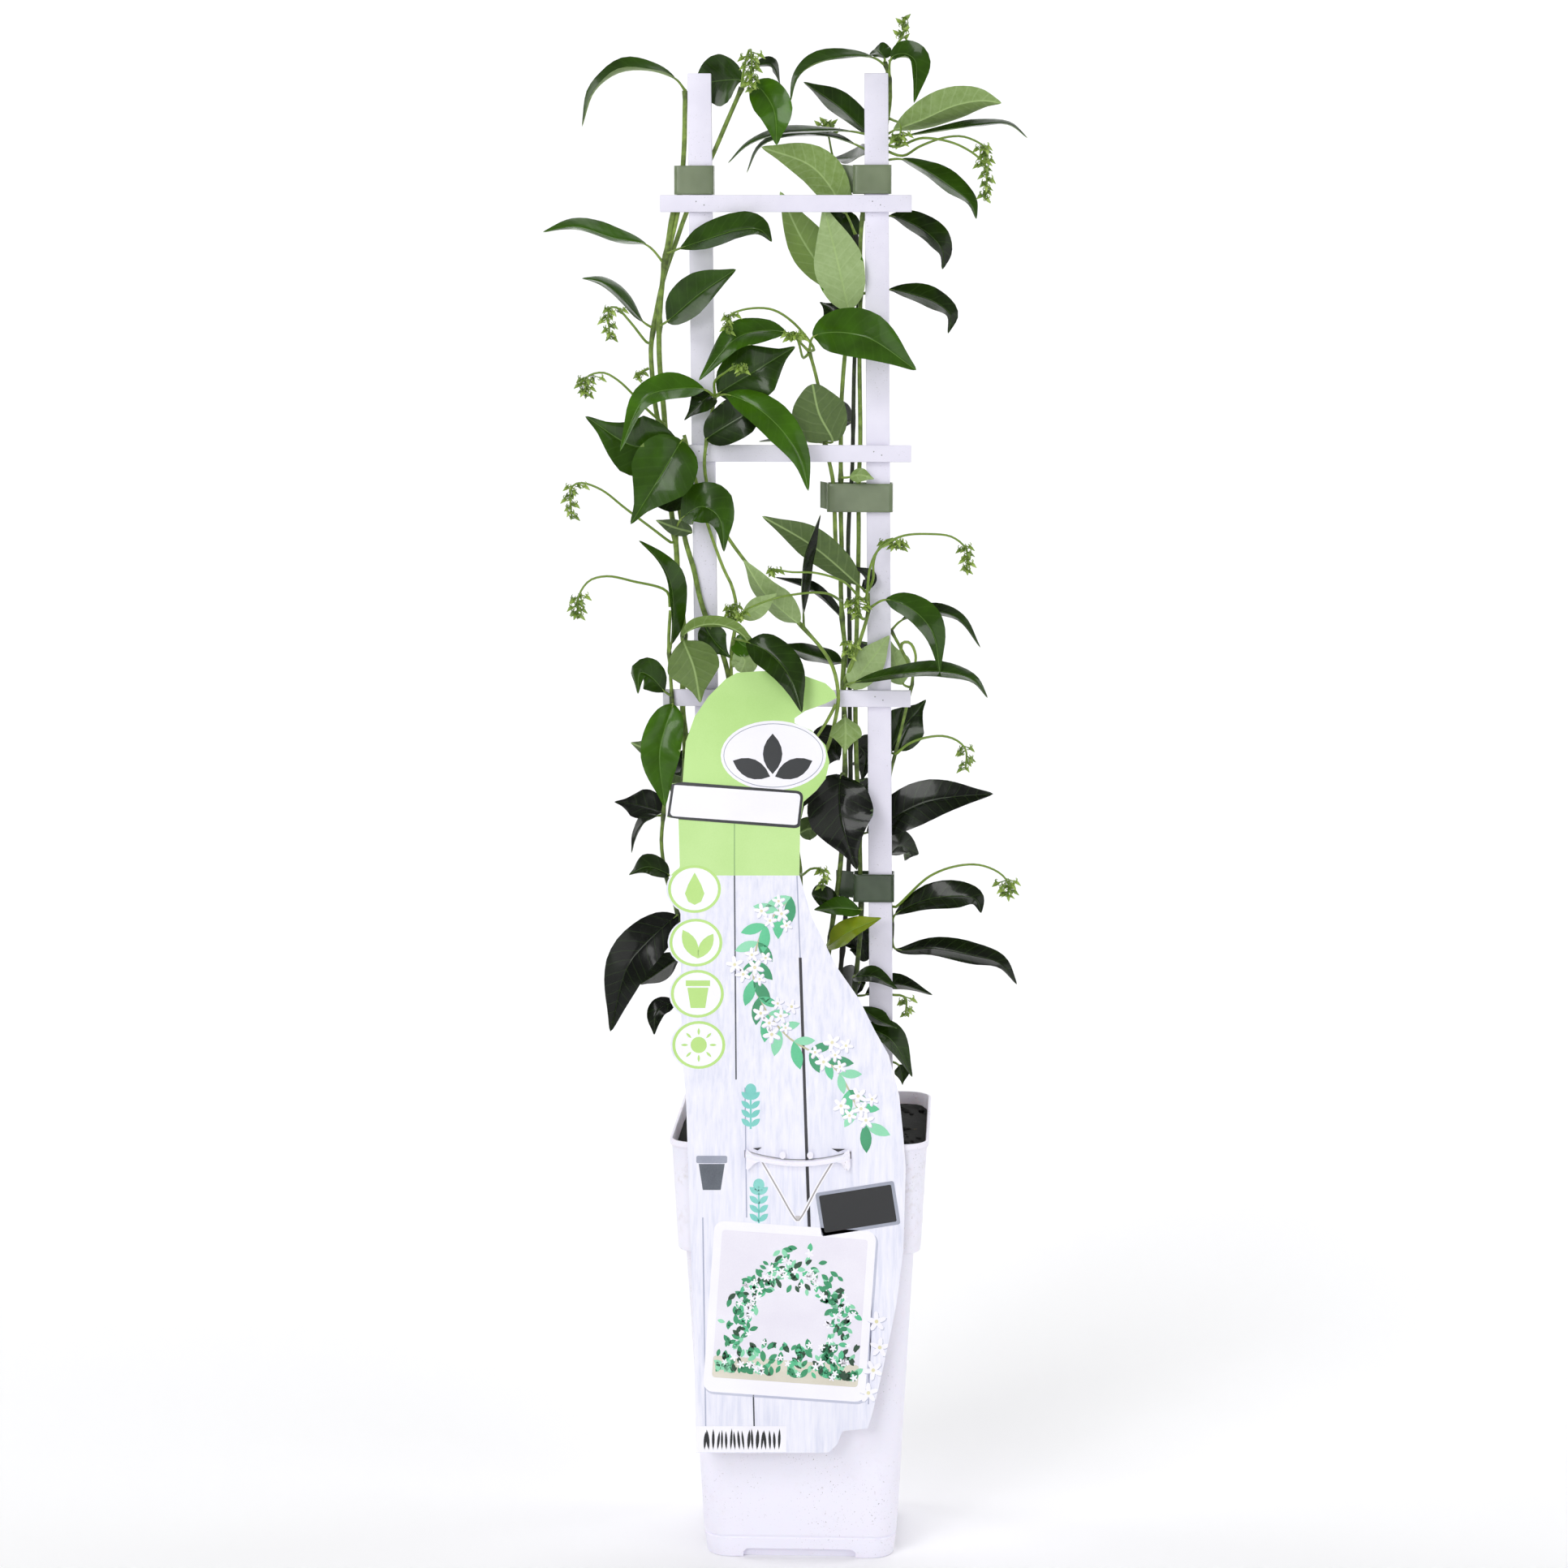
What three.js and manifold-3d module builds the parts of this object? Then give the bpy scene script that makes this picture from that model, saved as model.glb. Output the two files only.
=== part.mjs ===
// Star jasmine tied to a small white trellis, in a square tapered pot with its card label.
// Millimetres, +Z up. The origin is the middle of the pot's underside; the front faces -Y.
import * as THREE from 'three';
import { mergeVertices } from 'three/addons/utils/BufferGeometryUtils.js';
import Module from 'manifold-3d';

const wasm = await Module();
wasm.setup();

// ---- Driving dimensions -------------------------------------------------------------------------

const GAP = 0.35;                 // clearance between pieces that touch
const MERGE_BELOW = 0.06;         // details smaller than this are merged away in the plant

const POT_HEIGHT = 253;
const POT_WALL = 1.8;
const POT_FLOOR = 6;
const RIM_HALF = 75;              // half the width across the rim
const COLLAR_FOOT = 189;          // height where the collar ends
const COLLAR_FOOT_HALF = 70.6;
const BODY_TOP_HALF = 66.3;
const SEAM_HEIGHT = 13;
const SEAM_HALF = 56.8;
const BASE_HALF = 55;
const CORNER_RADIUS = 15;
const NOTCH_HALF = 33;            // half the width of the notch between two feet
const NOTCH_HEIGHT = 5.5;
const NOTCH_DEPTH = 4;

const CLIP_HALF = 30;             // label clip on the front of the collar
const CLIP_TOP = 249;
const CLIP_SAG = 5;
const CLIP_DEPTH = 5.6;
const SHELF_HEIGHT = 3.2;

const SOIL_LEVEL = 247;
const ROOT_DEPTH = 42;            // how far stems and uprights stand in the soil

const TRELLIS_TOP = 863;
const UPRIGHT_WIDTH = 13.7;
const UPRIGHT_THICKNESS = 4;
const UPRIGHTS = { left: { top: -60.4, foot: -54.8 }, right: { top: 41.2, foot: 46.2 } };
const SLAT_LENGTH = 145;
const SLAT_CENTRE = -10;
const SLAT_HEIGHT = 9.8;
const SLAT_THICKNESS = 3;
const SLAT_LEVELS = { top: 789, middle: 645.6, low: 502.9 };

const TIE_HEIGHT = 16.5;
const TIE_THICKNESS = 0.7;

const CARD_THICKNESS = 0.6;
const CARD_DEPTH = -77.4;         // depth of the card where it hangs against the collar
const CARD_BEND = 250;            // height above which it leans back onto the leaves
const CARD_TOP = 521;
const CARD_LEAN = 54;             // how far its top leans back
const SLOT_PLAY = 1.4;            // room round the clip's shelf in the card's slot

const LEAF_THICKNESS = 0.8;
const PETIOLE_HALF = 0.8;
const STALK_RADIUS = 0.6;
const PEDICEL_RADIUS = 0.45;
const BUD_TIP = 3.4;              // from a bud's waist to its point
const BUD_RADIUS = 1.5;
const HEAD_START = 3;             // buds start this far before the head
const GOLDEN_ANGLE = 2.4;

// ---- Front-view grid ----------------------------------------------------------------------------
// The plant grew by no rule, so its places are laid out by hand on a front-view grid: u counts to the
// right and v down, as seen by an eye in front of the pot, and the third number is the depth in mm,
// negative towards the front. spot() turns such a place into millimetres.

const GRID_CENTRE = 966;
const EYE_DISTANCE = 2374.8;
const EYE_REACH = 4984;           // grid units across at one distance unit from the eye
const EYE_AZIMUTH = THREE.MathUtils.degToRad(2.73);
const EYE_ELEVATION = THREE.MathUtils.degToRad(7.61);
const EYE_TARGET = new THREE.Vector3(-11.7, 0, 451.7);

const toEye = new THREE.Vector3(
  Math.sin(EYE_AZIMUTH) * Math.cos(EYE_ELEVATION),
  -Math.cos(EYE_AZIMUTH) * Math.cos(EYE_ELEVATION),
  Math.sin(EYE_ELEVATION));
const gridRight = new THREE.Vector3(Math.cos(EYE_AZIMUTH), Math.sin(EYE_AZIMUTH), 0);
const gridUp = toEye.clone().cross(gridRight);
const eye = EYE_TARGET.clone().addScaledVector(toEye, EYE_DISTANCE);

function spot([u, v, depth]) {
  const ray = toEye.clone().multiplyScalar(-EYE_REACH)
    .addScaledVector(gridRight, u - GRID_CENTRE)
    .addScaledVector(gridUp, GRID_CENTRE - v);
  return eye.clone().addScaledVector(ray, (depth - eye.y) / ray.y);
}

// ---- Solids -------------------------------------------------------------------------------------

// A closed triangle mesh becomes a solid; its faces are turned outwards first.
function toSolid(geometry) {
  const bare = geometry.clone();
  bare.deleteAttribute('normal');
  bare.deleteAttribute('uv');
  const merged = mergeVertices(bare, 1e-4);
  const vertProperties = new Float32Array(merged.attributes.position.array);
  const triVerts = new Uint32Array(merged.index.array);
  if (signedVolume(vertProperties, triVerts) < 0) {
    for (let i = 0; i < triVerts.length; i += 3) {
      [triVerts[i], triVerts[i + 1]] = [triVerts[i + 1], triVerts[i]];
    }
  }
  return new wasm.Manifold(new wasm.Mesh({ numProp: 3, vertProperties, triVerts }));
}

function signedVolume(points, triangles) {
  const corner = (i) => new THREE.Vector3().fromArray(points, 3 * i);
  let volume = 0;
  for (let i = 0; i < triangles.length; i += 3) {
    const [a, b, c] = [0, 1, 2].map((k) => corner(triangles[i + k]));
    volume += a.dot(b.cross(c)) / 6;
  }
  return volume;
}

function toGeometry(solid) {
  const mesh = solid.getMesh();
  const geometry = new THREE.BufferGeometry();
  geometry.setAttribute('position', new THREE.BufferAttribute(mesh.vertProperties, 3));
  geometry.setIndex(new THREE.BufferAttribute(mesh.triVerts, 1));
  return geometry;
}

function join(geometries) {
  return geometries.map(toSolid).reduce((whole, piece) => whole.add(piece)).asOriginal()
    .simplify(MERGE_BELOW);
}

// Keeps the largest body of a solid and drops loose scraps that a cut left behind.
function mainBody(solid) {
  return solid.decompose().reduce((a, b) => (a.volume() > b.volume() ? a : b));
}

function geometryFrom(points, triangles) {
  const geometry = new THREE.BufferGeometry();
  geometry.setAttribute('position', new THREE.Float32BufferAttribute(points.flatMap((p) => p.toArray()), 3));
  geometry.setIndex(triangles);
  return geometry;
}

// Rings of equal point counts, one above the other, closed into a solid by a fan at each end.
function loft(rings) {
  const count = rings[0].length;
  const points = rings.flat();
  const triangles = [];
  for (let r = 0; r + 1 < rings.length; r += 1) {
    for (let i = 0; i < count; i += 1) {
      const j = (i + 1) % count;
      const [a, b] = [r * count + i, r * count + j];
      triangles.push(a, b, b + count, a, b + count, a + count);
    }
  }
  const middleOf = (ring) => ring.reduce((sum, p) => sum.add(p), new THREE.Vector3()).divideScalar(count);
  const last = (rings.length - 1) * count;
  points.push(middleOf(rings[0]), middleOf(rings.at(-1)));
  for (let i = 0; i < count; i += 1) {
    const j = (i + 1) % count;
    triangles.push(points.length - 2, j, i);
    triangles.push(points.length - 1, last + i, last + j);
  }
  return geometryFrom(points, triangles);
}

// A thin sheet through rows of points, thickened by half each way along the normals. Both faces are
// split into triangles alike.
function sheet(rows, normals, thickness) {
  const across = rows[0].length;
  const half = rows.length * across;
  const points = [1, -1].flatMap((side) => rows.flatMap((row, r) => row.map(
    (p, c) => p.clone().addScaledVector(normals[r][c], side * thickness / 2))));
  const triangles = [];
  const wall = (a, b) => triangles.push(a, a + half, b, b, a + half, b + half);
  for (let r = 0; r + 1 < rows.length; r += 1) {
    for (let c = 0; c + 1 < across; c += 1) {
      const a = r * across + c;
      const [b, d, e] = [a + 1, a + across, a + across + 1];
      triangles.push(a, b, e, a, e, d);
      triangles.push(a + half, e + half, b + half, a + half, d + half, e + half);
    }
    wall((r + 1) * across, r * across);
    wall(r * across + across - 1, (r + 1) * across + across - 1);
  }
  for (let c = 0; c + 1 < across; c += 1) {
    wall(c, c + 1);
    wall(half - across + c + 1, half - across + c);
  }
  return geometryFrom(points, triangles);
}

function tube(curve, radius, steps, sides) {
  const section = new THREE.Shape();
  for (let i = 0; i < sides; i += 1) {
    const angle = 2 * Math.PI * i / sides;
    const [x, y] = [radius * Math.cos(angle), radius * Math.sin(angle)];
    if (i === 0) section.moveTo(x, y);
    else section.lineTo(x, y);
  }
  return new THREE.ExtrudeGeometry(section, { steps, extrudePath: curve, bevelEnabled: false });
}

function through(points) {
  return new THREE.CatmullRomCurve3(points, false, 'centripetal');
}

function box(width, depth, height, x, y, z) {
  return new THREE.BoxGeometry(width, depth, height).translate(x, y, z);
}

// A plane outline in X and Z, pushed back from depth y by the given thickness.
function plate(outline, y, thickness) {
  const shape = new THREE.Shape(outline.map(([x, z]) => new THREE.Vector2(x, z)));
  const geometry = new THREE.ExtrudeGeometry(shape, { depth: thickness, bevelEnabled: false });
  return geometry.rotateX(Math.PI / 2).translate(0, y + thickness, 0);
}

// A plane outline in X and Y, raised from height z.
function prism(shape, z, height) {
  return new THREE.ExtrudeGeometry(shape, { depth: height, bevelEnabled: false, curveSegments: 2 })
    .translate(0, 0, z);
}

// ---- Random numbers -----------------------------------------------------------------------------

function seeded(seed) {
  let state = seed;
  return () => {
    state = (state * 1664525 + 1013904223) % 4294967296;
    return state / 4294967296;
  };
}

// ---- Materials ----------------------------------------------------------------------------------

const materials = {
  pot: () => plastic(0xf0eef8, 0.42),
  soil: () => plastic(0x16150f, 0.98),
  trellis: () => plastic(0xf1effa, 0.4),
  tie: () => plastic(0x7b8a6a, 0.35),
  card: () => plastic(0xdcefd0, 0.35),
  leafy: () => plastic(0x2f5a17, 0.35),
  buds: () => plastic(0xa9c965, 0.5),
};

function plastic(color, roughness) {
  return new THREE.MeshStandardMaterial({ color, roughness, metalness: 0 });
}

const group = new THREE.Group();

function place(name, geometry, material) {
  const mesh = new THREE.Mesh(geometry, material());
  mesh.name = name;
  group.add(mesh);
}

// ---- Pot ----------------------------------------------------------------------------------------

function squareRing(half, radius, z) {
  const ring = [];
  const perCorner = 3;
  for (let corner = 0; corner < 4; corner += 1) {
    const [sx, sy] = [[1, 1], [-1, 1], [-1, -1], [1, -1]][corner];
    for (let i = 0; i <= perCorner; i += 1) {
      const angle = (corner + i / perCorner) * Math.PI / 2;
      ring.push(new THREE.Vector3(
        sx * (half - radius) + radius * Math.cos(angle),
        sy * (half - radius) + radius * Math.sin(angle), z));
    }
  }
  return ring;
}

function innerHalf(z) {
  if (z > COLLAR_FOOT) {
    const rise = (z - COLLAR_FOOT) / (POT_HEIGHT - COLLAR_FOOT);
    return THREE.MathUtils.lerp(COLLAR_FOOT_HALF, RIM_HALF, rise) - POT_WALL;
  }
  return THREE.MathUtils.lerp(SEAM_HALF, BODY_TOP_HALF, (z - SEAM_HEIGHT) / (COLLAR_FOOT - SEAM_HEIGHT))
    - POT_WALL;
}

function potShell() {
  const outside = loft([
    squareRing(BASE_HALF, CORNER_RADIUS - 1, 0),
    squareRing(SEAM_HALF - 0.3, CORNER_RADIUS, SEAM_HEIGHT - 1),
    squareRing(SEAM_HALF - 0.9, CORNER_RADIUS, SEAM_HEIGHT - 0.4),
    squareRing(SEAM_HALF, CORNER_RADIUS, SEAM_HEIGHT + 0.6),
    squareRing(BODY_TOP_HALF, CORNER_RADIUS, COLLAR_FOOT - 3.5),
    squareRing(COLLAR_FOOT_HALF - 0.8, CORNER_RADIUS, COLLAR_FOOT - 2.4),
    squareRing(COLLAR_FOOT_HALF, CORNER_RADIUS, COLLAR_FOOT),
    squareRing(RIM_HALF - 1.2, CORNER_RADIUS, POT_HEIGHT - 4),
    squareRing(RIM_HALF, CORNER_RADIUS, POT_HEIGHT - 3),
    squareRing(RIM_HALF, CORNER_RADIUS, POT_HEIGHT),
  ]);
  const inside = loft([POT_FLOOR, COLLAR_FOOT - 3, COLLAR_FOOT + 1, POT_HEIGHT + 5].map(
    (z) => squareRing(innerHalf(z), CORNER_RADIUS - POT_WALL, z)));
  return toSolid(outside).subtract(toSolid(inside));
}

// The arched shelf of the label clip, which passes through the card's slot.
function labelClip() {
  const front = CARD_DEPTH - CLIP_DEPTH + 2;
  const arch = [];
  const steps = 6;
  for (let i = 0; i <= steps; i += 1) {
    const part = 2 * i / steps - 1;
    arch.push([CLIP_HALF * part, CLIP_TOP - CLIP_SAG * (1 - part ** 2)]);
  }
  const under = arch.map(([x, z]) => [x, z - SHELF_HEIGHT]).reverse();
  return plate([...arch, ...under], front, -RIM_HALF + 1.6 - front);
}

function pot() {
  let body = potShell();
  for (let side = 0; side < 4; side += 1) {
    const notch = box(2 * NOTCH_HALF, 2 * NOTCH_DEPTH, 2 * NOTCH_HEIGHT, 0, -BASE_HALF, 0)
      .rotateZ(side * Math.PI / 2);
    body = body.subtract(toSolid(notch));
  }
  return body.add(toSolid(labelClip()));
}

// ---- Trellis ------------------------------------------------------------------------------------

const uprightFoot = SOIL_LEVEL - ROOT_DEPTH;

function uprightPlace(side, z) {
  const { top, foot } = UPRIGHTS[side];
  return THREE.MathUtils.lerp(foot, top, (z - SOIL_LEVEL) / (TRELLIS_TOP - SOIL_LEVEL));
}

function uprightGeometry(side, clearance = 0) {
  const half = UPRIGHT_WIDTH / 2 + clearance;
  const outline = [[uprightFoot - clearance, -half], [uprightFoot - clearance, half],
    [TRELLIS_TOP, half], [TRELLIS_TOP, -half]].map(([z, x]) => [uprightPlace(side, z) + x, z]);
  const thickness = UPRIGHT_THICKNESS + 2 * clearance;
  return plate(outline, -thickness / 2, thickness);
}

function slatGeometry(level) {
  const lean = (level - SLAT_LEVELS.low) * -0.002;
  const front = -UPRIGHT_THICKNESS / 2 - GAP - SLAT_THICKNESS;
  return box(SLAT_LENGTH, SLAT_THICKNESS, SLAT_HEIGHT, SLAT_CENTRE + lean,
    front + SLAT_THICKNESS / 2, level);
}

// ---- Ties ---------------------------------------------------------------------------------------
// Each tie is one turn of tape round an upright and the stems beside it: a flat oval band, and on
// three of them a free end that sticks out to the left.

const TIES = [
  { name: 'tape_tie_left_top', left: 827, right: 880, v: 222, front: -3, back: 9 },
  { name: 'tape_tie_right_top', left: 1051, right: 1098, v: 221, front: -3, back: 9.5, tail: 18 },
  { name: 'tape_tie_right_middle', left: 1019, right: 1100, v: 613, front: -4, back: 10, tail: 9 },
  { name: 'tape_tie_right_low', left: 1051, right: 1102, v: 1093.5, front: -3, back: 10.5, tail: 22 },
];
const GRID_UNIT = 0.472;          // millimetres per grid unit at the depth of the trellis

function roundedBand(x0, x1, y0, y1, radius) {
  const shape = new THREE.Shape();
  shape.moveTo(x0 + radius, y0);
  shape.lineTo(x1 - radius, y0);
  shape.absarc(x1 - radius, y0 + radius, radius, -Math.PI / 2, 0, false);
  shape.lineTo(x1, y1 - radius);
  shape.absarc(x1 - radius, y1 - radius, radius, 0, Math.PI / 2, false);
  shape.lineTo(x0 + radius, y1);
  shape.absarc(x0 + radius, y1 - radius, radius, Math.PI / 2, Math.PI, false);
  shape.lineTo(x0, y0 + radius);
  shape.absarc(x0 + radius, y0 + radius, radius, Math.PI, 1.5 * Math.PI, false);
  return shape;
}

function tieSolid({ left, right, v, front, back, tail }) {
  const middle = spot([(left + right) / 2, v, 0]);
  const half = (right - left) * GRID_UNIT / 2;
  const [x0, x1] = [middle.x - half, middle.x + half];
  const z = middle.z - TIE_HEIGHT / 2;
  const t = TIE_THICKNESS;
  const turn = roundedBand(x0, x1, front - t, back + t, 2.2);
  turn.holes.push(roundedBand(x0 + t, x1 - t, front, back, 1.5));
  let band = toSolid(prism(turn, z, TIE_HEIGHT));
  if (tail) {
    const reach = tail * GRID_UNIT;
    const end = plate([[x0 - reach, z + 1.5], [x0 + 1.4, z + 0.2], [x0 + 1.4, z + TIE_HEIGHT - 0.2],
      [x0 - reach + 1, z + TIE_HEIGHT + 0.8], [x0 - reach - 1, z + TIE_HEIGHT * 0.6]], back - 1.8, t);
    band = band.add(toSolid(end));
  }
  return band;
}

// ---- Card label ---------------------------------------------------------------------------------
// A die-cut card: domed head with a leaf-shaped lobe, straight sides that flare to the right, and
// four round tabs on the left edge. Edges are given on the grid as [v, u].

const CARD_LEFT = [[827, 936], [829, 908], [837, 894], [858, 873], [883, 856], [914, 845], [964, 841],
  [965.5, 828], [1007, 822], [1009, 836], [1080, 838], [1300, 840], [1345, 845], [1500, 850], [1680, 856],
  [1790, 858]];
const CARD_RIGHT = [[827, 950], [829, 978], [833, 992], [842, 1017], [852, 1028], [860, 1031],
  [867, 1017], [876, 992], [885, 979], [891, 979], [900, 1000], [918, 1017], [939, 1022], [960, 1017],
  [974, 1006], [988, 990], [1012, 986], [1078, 985], [1130, 1000], [1190, 1030], [1230, 1058],
  [1270, 1078], [1300, 1095], [1350, 1108], [1400, 1113], [1440, 1116], [1540, 1113], [1605, 1105],
  [1640, 1098], [1700, 1085], [1745, 1074], [1760, 1069], [1763, 1038], [1780, 1031],
  [1790, 1021]];
const TAB_CENTRES = [1095.5, 1161.5, 1224.5, 1287.5];
const TAB_MIDDLE = 854.7;
const TAB_SLANT = 0.028;          // each lower tab lies a little further right
const TAB_ACROSS = 33.8;
const TAB_UP = 30.4;

function cardDepth(z) {
  const rise = Math.max(0, (z - CARD_BEND) / (CARD_TOP - CARD_BEND));
  return CARD_DEPTH + CARD_LEAN * rise ** 1.3;
}

function onCard(u, v) {
  let depth = CARD_DEPTH;
  let point = spot([u, v, depth]);
  for (let i = 0; i < 6; i += 1) {
    depth = cardDepth(point.z);
    point = spot([u, v, depth]);
  }
  return point;
}

function edgeAt(edge, v) {
  const after = Math.max(1, edge.findIndex(([level]) => level >= v));
  const [[v0, u0], [v1, u1]] = [edge[after - 1], edge[after]];
  return THREE.MathUtils.lerp(u0, u1, (v - v0) / (v1 - v0));
}

function tabEdge(v) {
  const reaches = TAB_CENTRES.filter((centre) => Math.abs(v - centre) < TAB_UP).map((centre) => {
    const middle = TAB_MIDDLE + (centre - TAB_CENTRES[0]) * TAB_SLANT;
    return middle - TAB_ACROSS * Math.sqrt(1 - ((v - centre) / TAB_UP) ** 2);
  });
  return Math.min(Infinity, ...reaches);
}

function cardSolid() {
  const tabRows = TAB_CENTRES.flatMap((centre) => [-0.96, -0.65, 0, 0.65, 0.96].map(
    (part) => centre + part * TAB_UP));
  const levels = [...CARD_LEFT, ...CARD_RIGHT].map(([v]) => v).concat(tabRows);
  const rows = [...new Set(levels)].sort((a, b) => a - b);
  const points = rows.map((v) => {
    const left = Math.min(edgeAt(CARD_LEFT, v), tabEdge(v));
    return [onCard(left, v), onCard(edgeAt(CARD_RIGHT, v), v)];
  });
  const normals = points.map((row) => row.map((p) => {
    const slope = cardDepth(p.z + 1) - cardDepth(p.z);
    return new THREE.Vector3(0, -1, slope).normalize();
  }));
  const opening = CLIP_SAG + SHELF_HEIGHT;
  const slot = box(2 * CLIP_HALF + SLOT_PLAY, 8, opening + SLOT_PLAY, 0, CARD_DEPTH,
    CLIP_TOP - opening / 2);
  return toSolid(sheet(points, normals, CARD_THICKNESS)).subtract(toSolid(slot));
}

// ---- Leaves -------------------------------------------------------------------------------------
// A leaf is [places, width, roll, side, fold]. Its places are the base, middle and tip of the blade or,
// from four places on, its node on the stem and then the midrib from base to tip. Roll turns the blade
// about its midrib from facing the front, up for plus; side is 1 where the glossy upper face is in
// front and -1 where the pale underside is. Fold lifts the two halves towards the upper face.

// How far along the blade each row is, and its share of the full width.
const BLADE_ROWS = [[0, 0], [0.167, 0.7], [0.424, 1], [0.727, 0.58], [1, 0]];
const LONG_BLADE_ROWS = [[0, 0], [0.16, 0.68], [0.36, 0.98], [0.58, 0.88], [0.8, 0.42], [1, 0]];
const LONG_BLADE_PLACES = 5;
const DEFAULT_FOLD = 14;
const FLAT_BELOW = 21;            // narrower leaves are left flat

function leafGeometry(curves, [places, width, roll, side = 1, fold = DEFAULT_FOLD]) {
  const marks = places.map(spot);
  const node = nearestOn(curves, marks[0]);
  if (places.length > 3) marks.shift();
  const curve = through([node, ...marks]);
  const start = 1 / marks.length;
  const chord = marks.at(-1).clone().sub(marks[0]);
  const look = eye.clone().sub(marks[Math.floor(marks.length / 2)]).normalize();
  const upward = chord.clone().cross(look);
  const lean = Math.abs(upward.z) > 0.3 * upward.length() ? upward.z : upward.x;
  const turn = Math.sign(lean);
  const angle = THREE.MathUtils.degToRad(roll);
  const lift = Math.tan(THREE.MathUtils.degToRad(fold));
  const edges = width < FLAT_BELOW ? [-1, 1] : [-1, 0, 1];
  const blade = places.length < LONG_BLADE_PLACES ? BLADE_ROWS : LONG_BLADE_ROWS;
  const levels = blade.map(([part, share]) => [start + part * (1 - start), share]);
  const rows = [];
  const normals = [];
  for (const [t, share] of [[0, 0], ...levels]) {
    const point = curve.getPoint(t);
    const along = curve.getTangent(t);
    const across = along.clone().cross(look).normalize().multiplyScalar(turn);
    const facing = across.clone().cross(along).multiplyScalar(turn).normalize();
    if (facing.dot(look) < 0) facing.negate();
    const normal = facing.clone().multiplyScalar(Math.cos(angle)).addScaledVector(across, Math.sin(angle));
    const reach = along.clone().cross(normal).normalize();
    const half = Math.max(width * share / 2, PETIOLE_HALF);
    const rise = share > 0 ? half * lift * side : 0;
    rows.push(edges.map((edge) => point.clone().addScaledVector(reach, edge * half)
      .addScaledVector(normal, Math.abs(edge) * rise)));
    normals.push(edges.map((edge) => normal.clone().addScaledVector(reach, -edge * lift * side)
      .normalize()));
  }
  return sheet(rows, normals, LEAF_THICKNESS);
}

// ---- Leafy stems --------------------------------------------------------------------------------
// Each stem has its course from the soil up, any side shoots, and its leaves.

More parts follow.
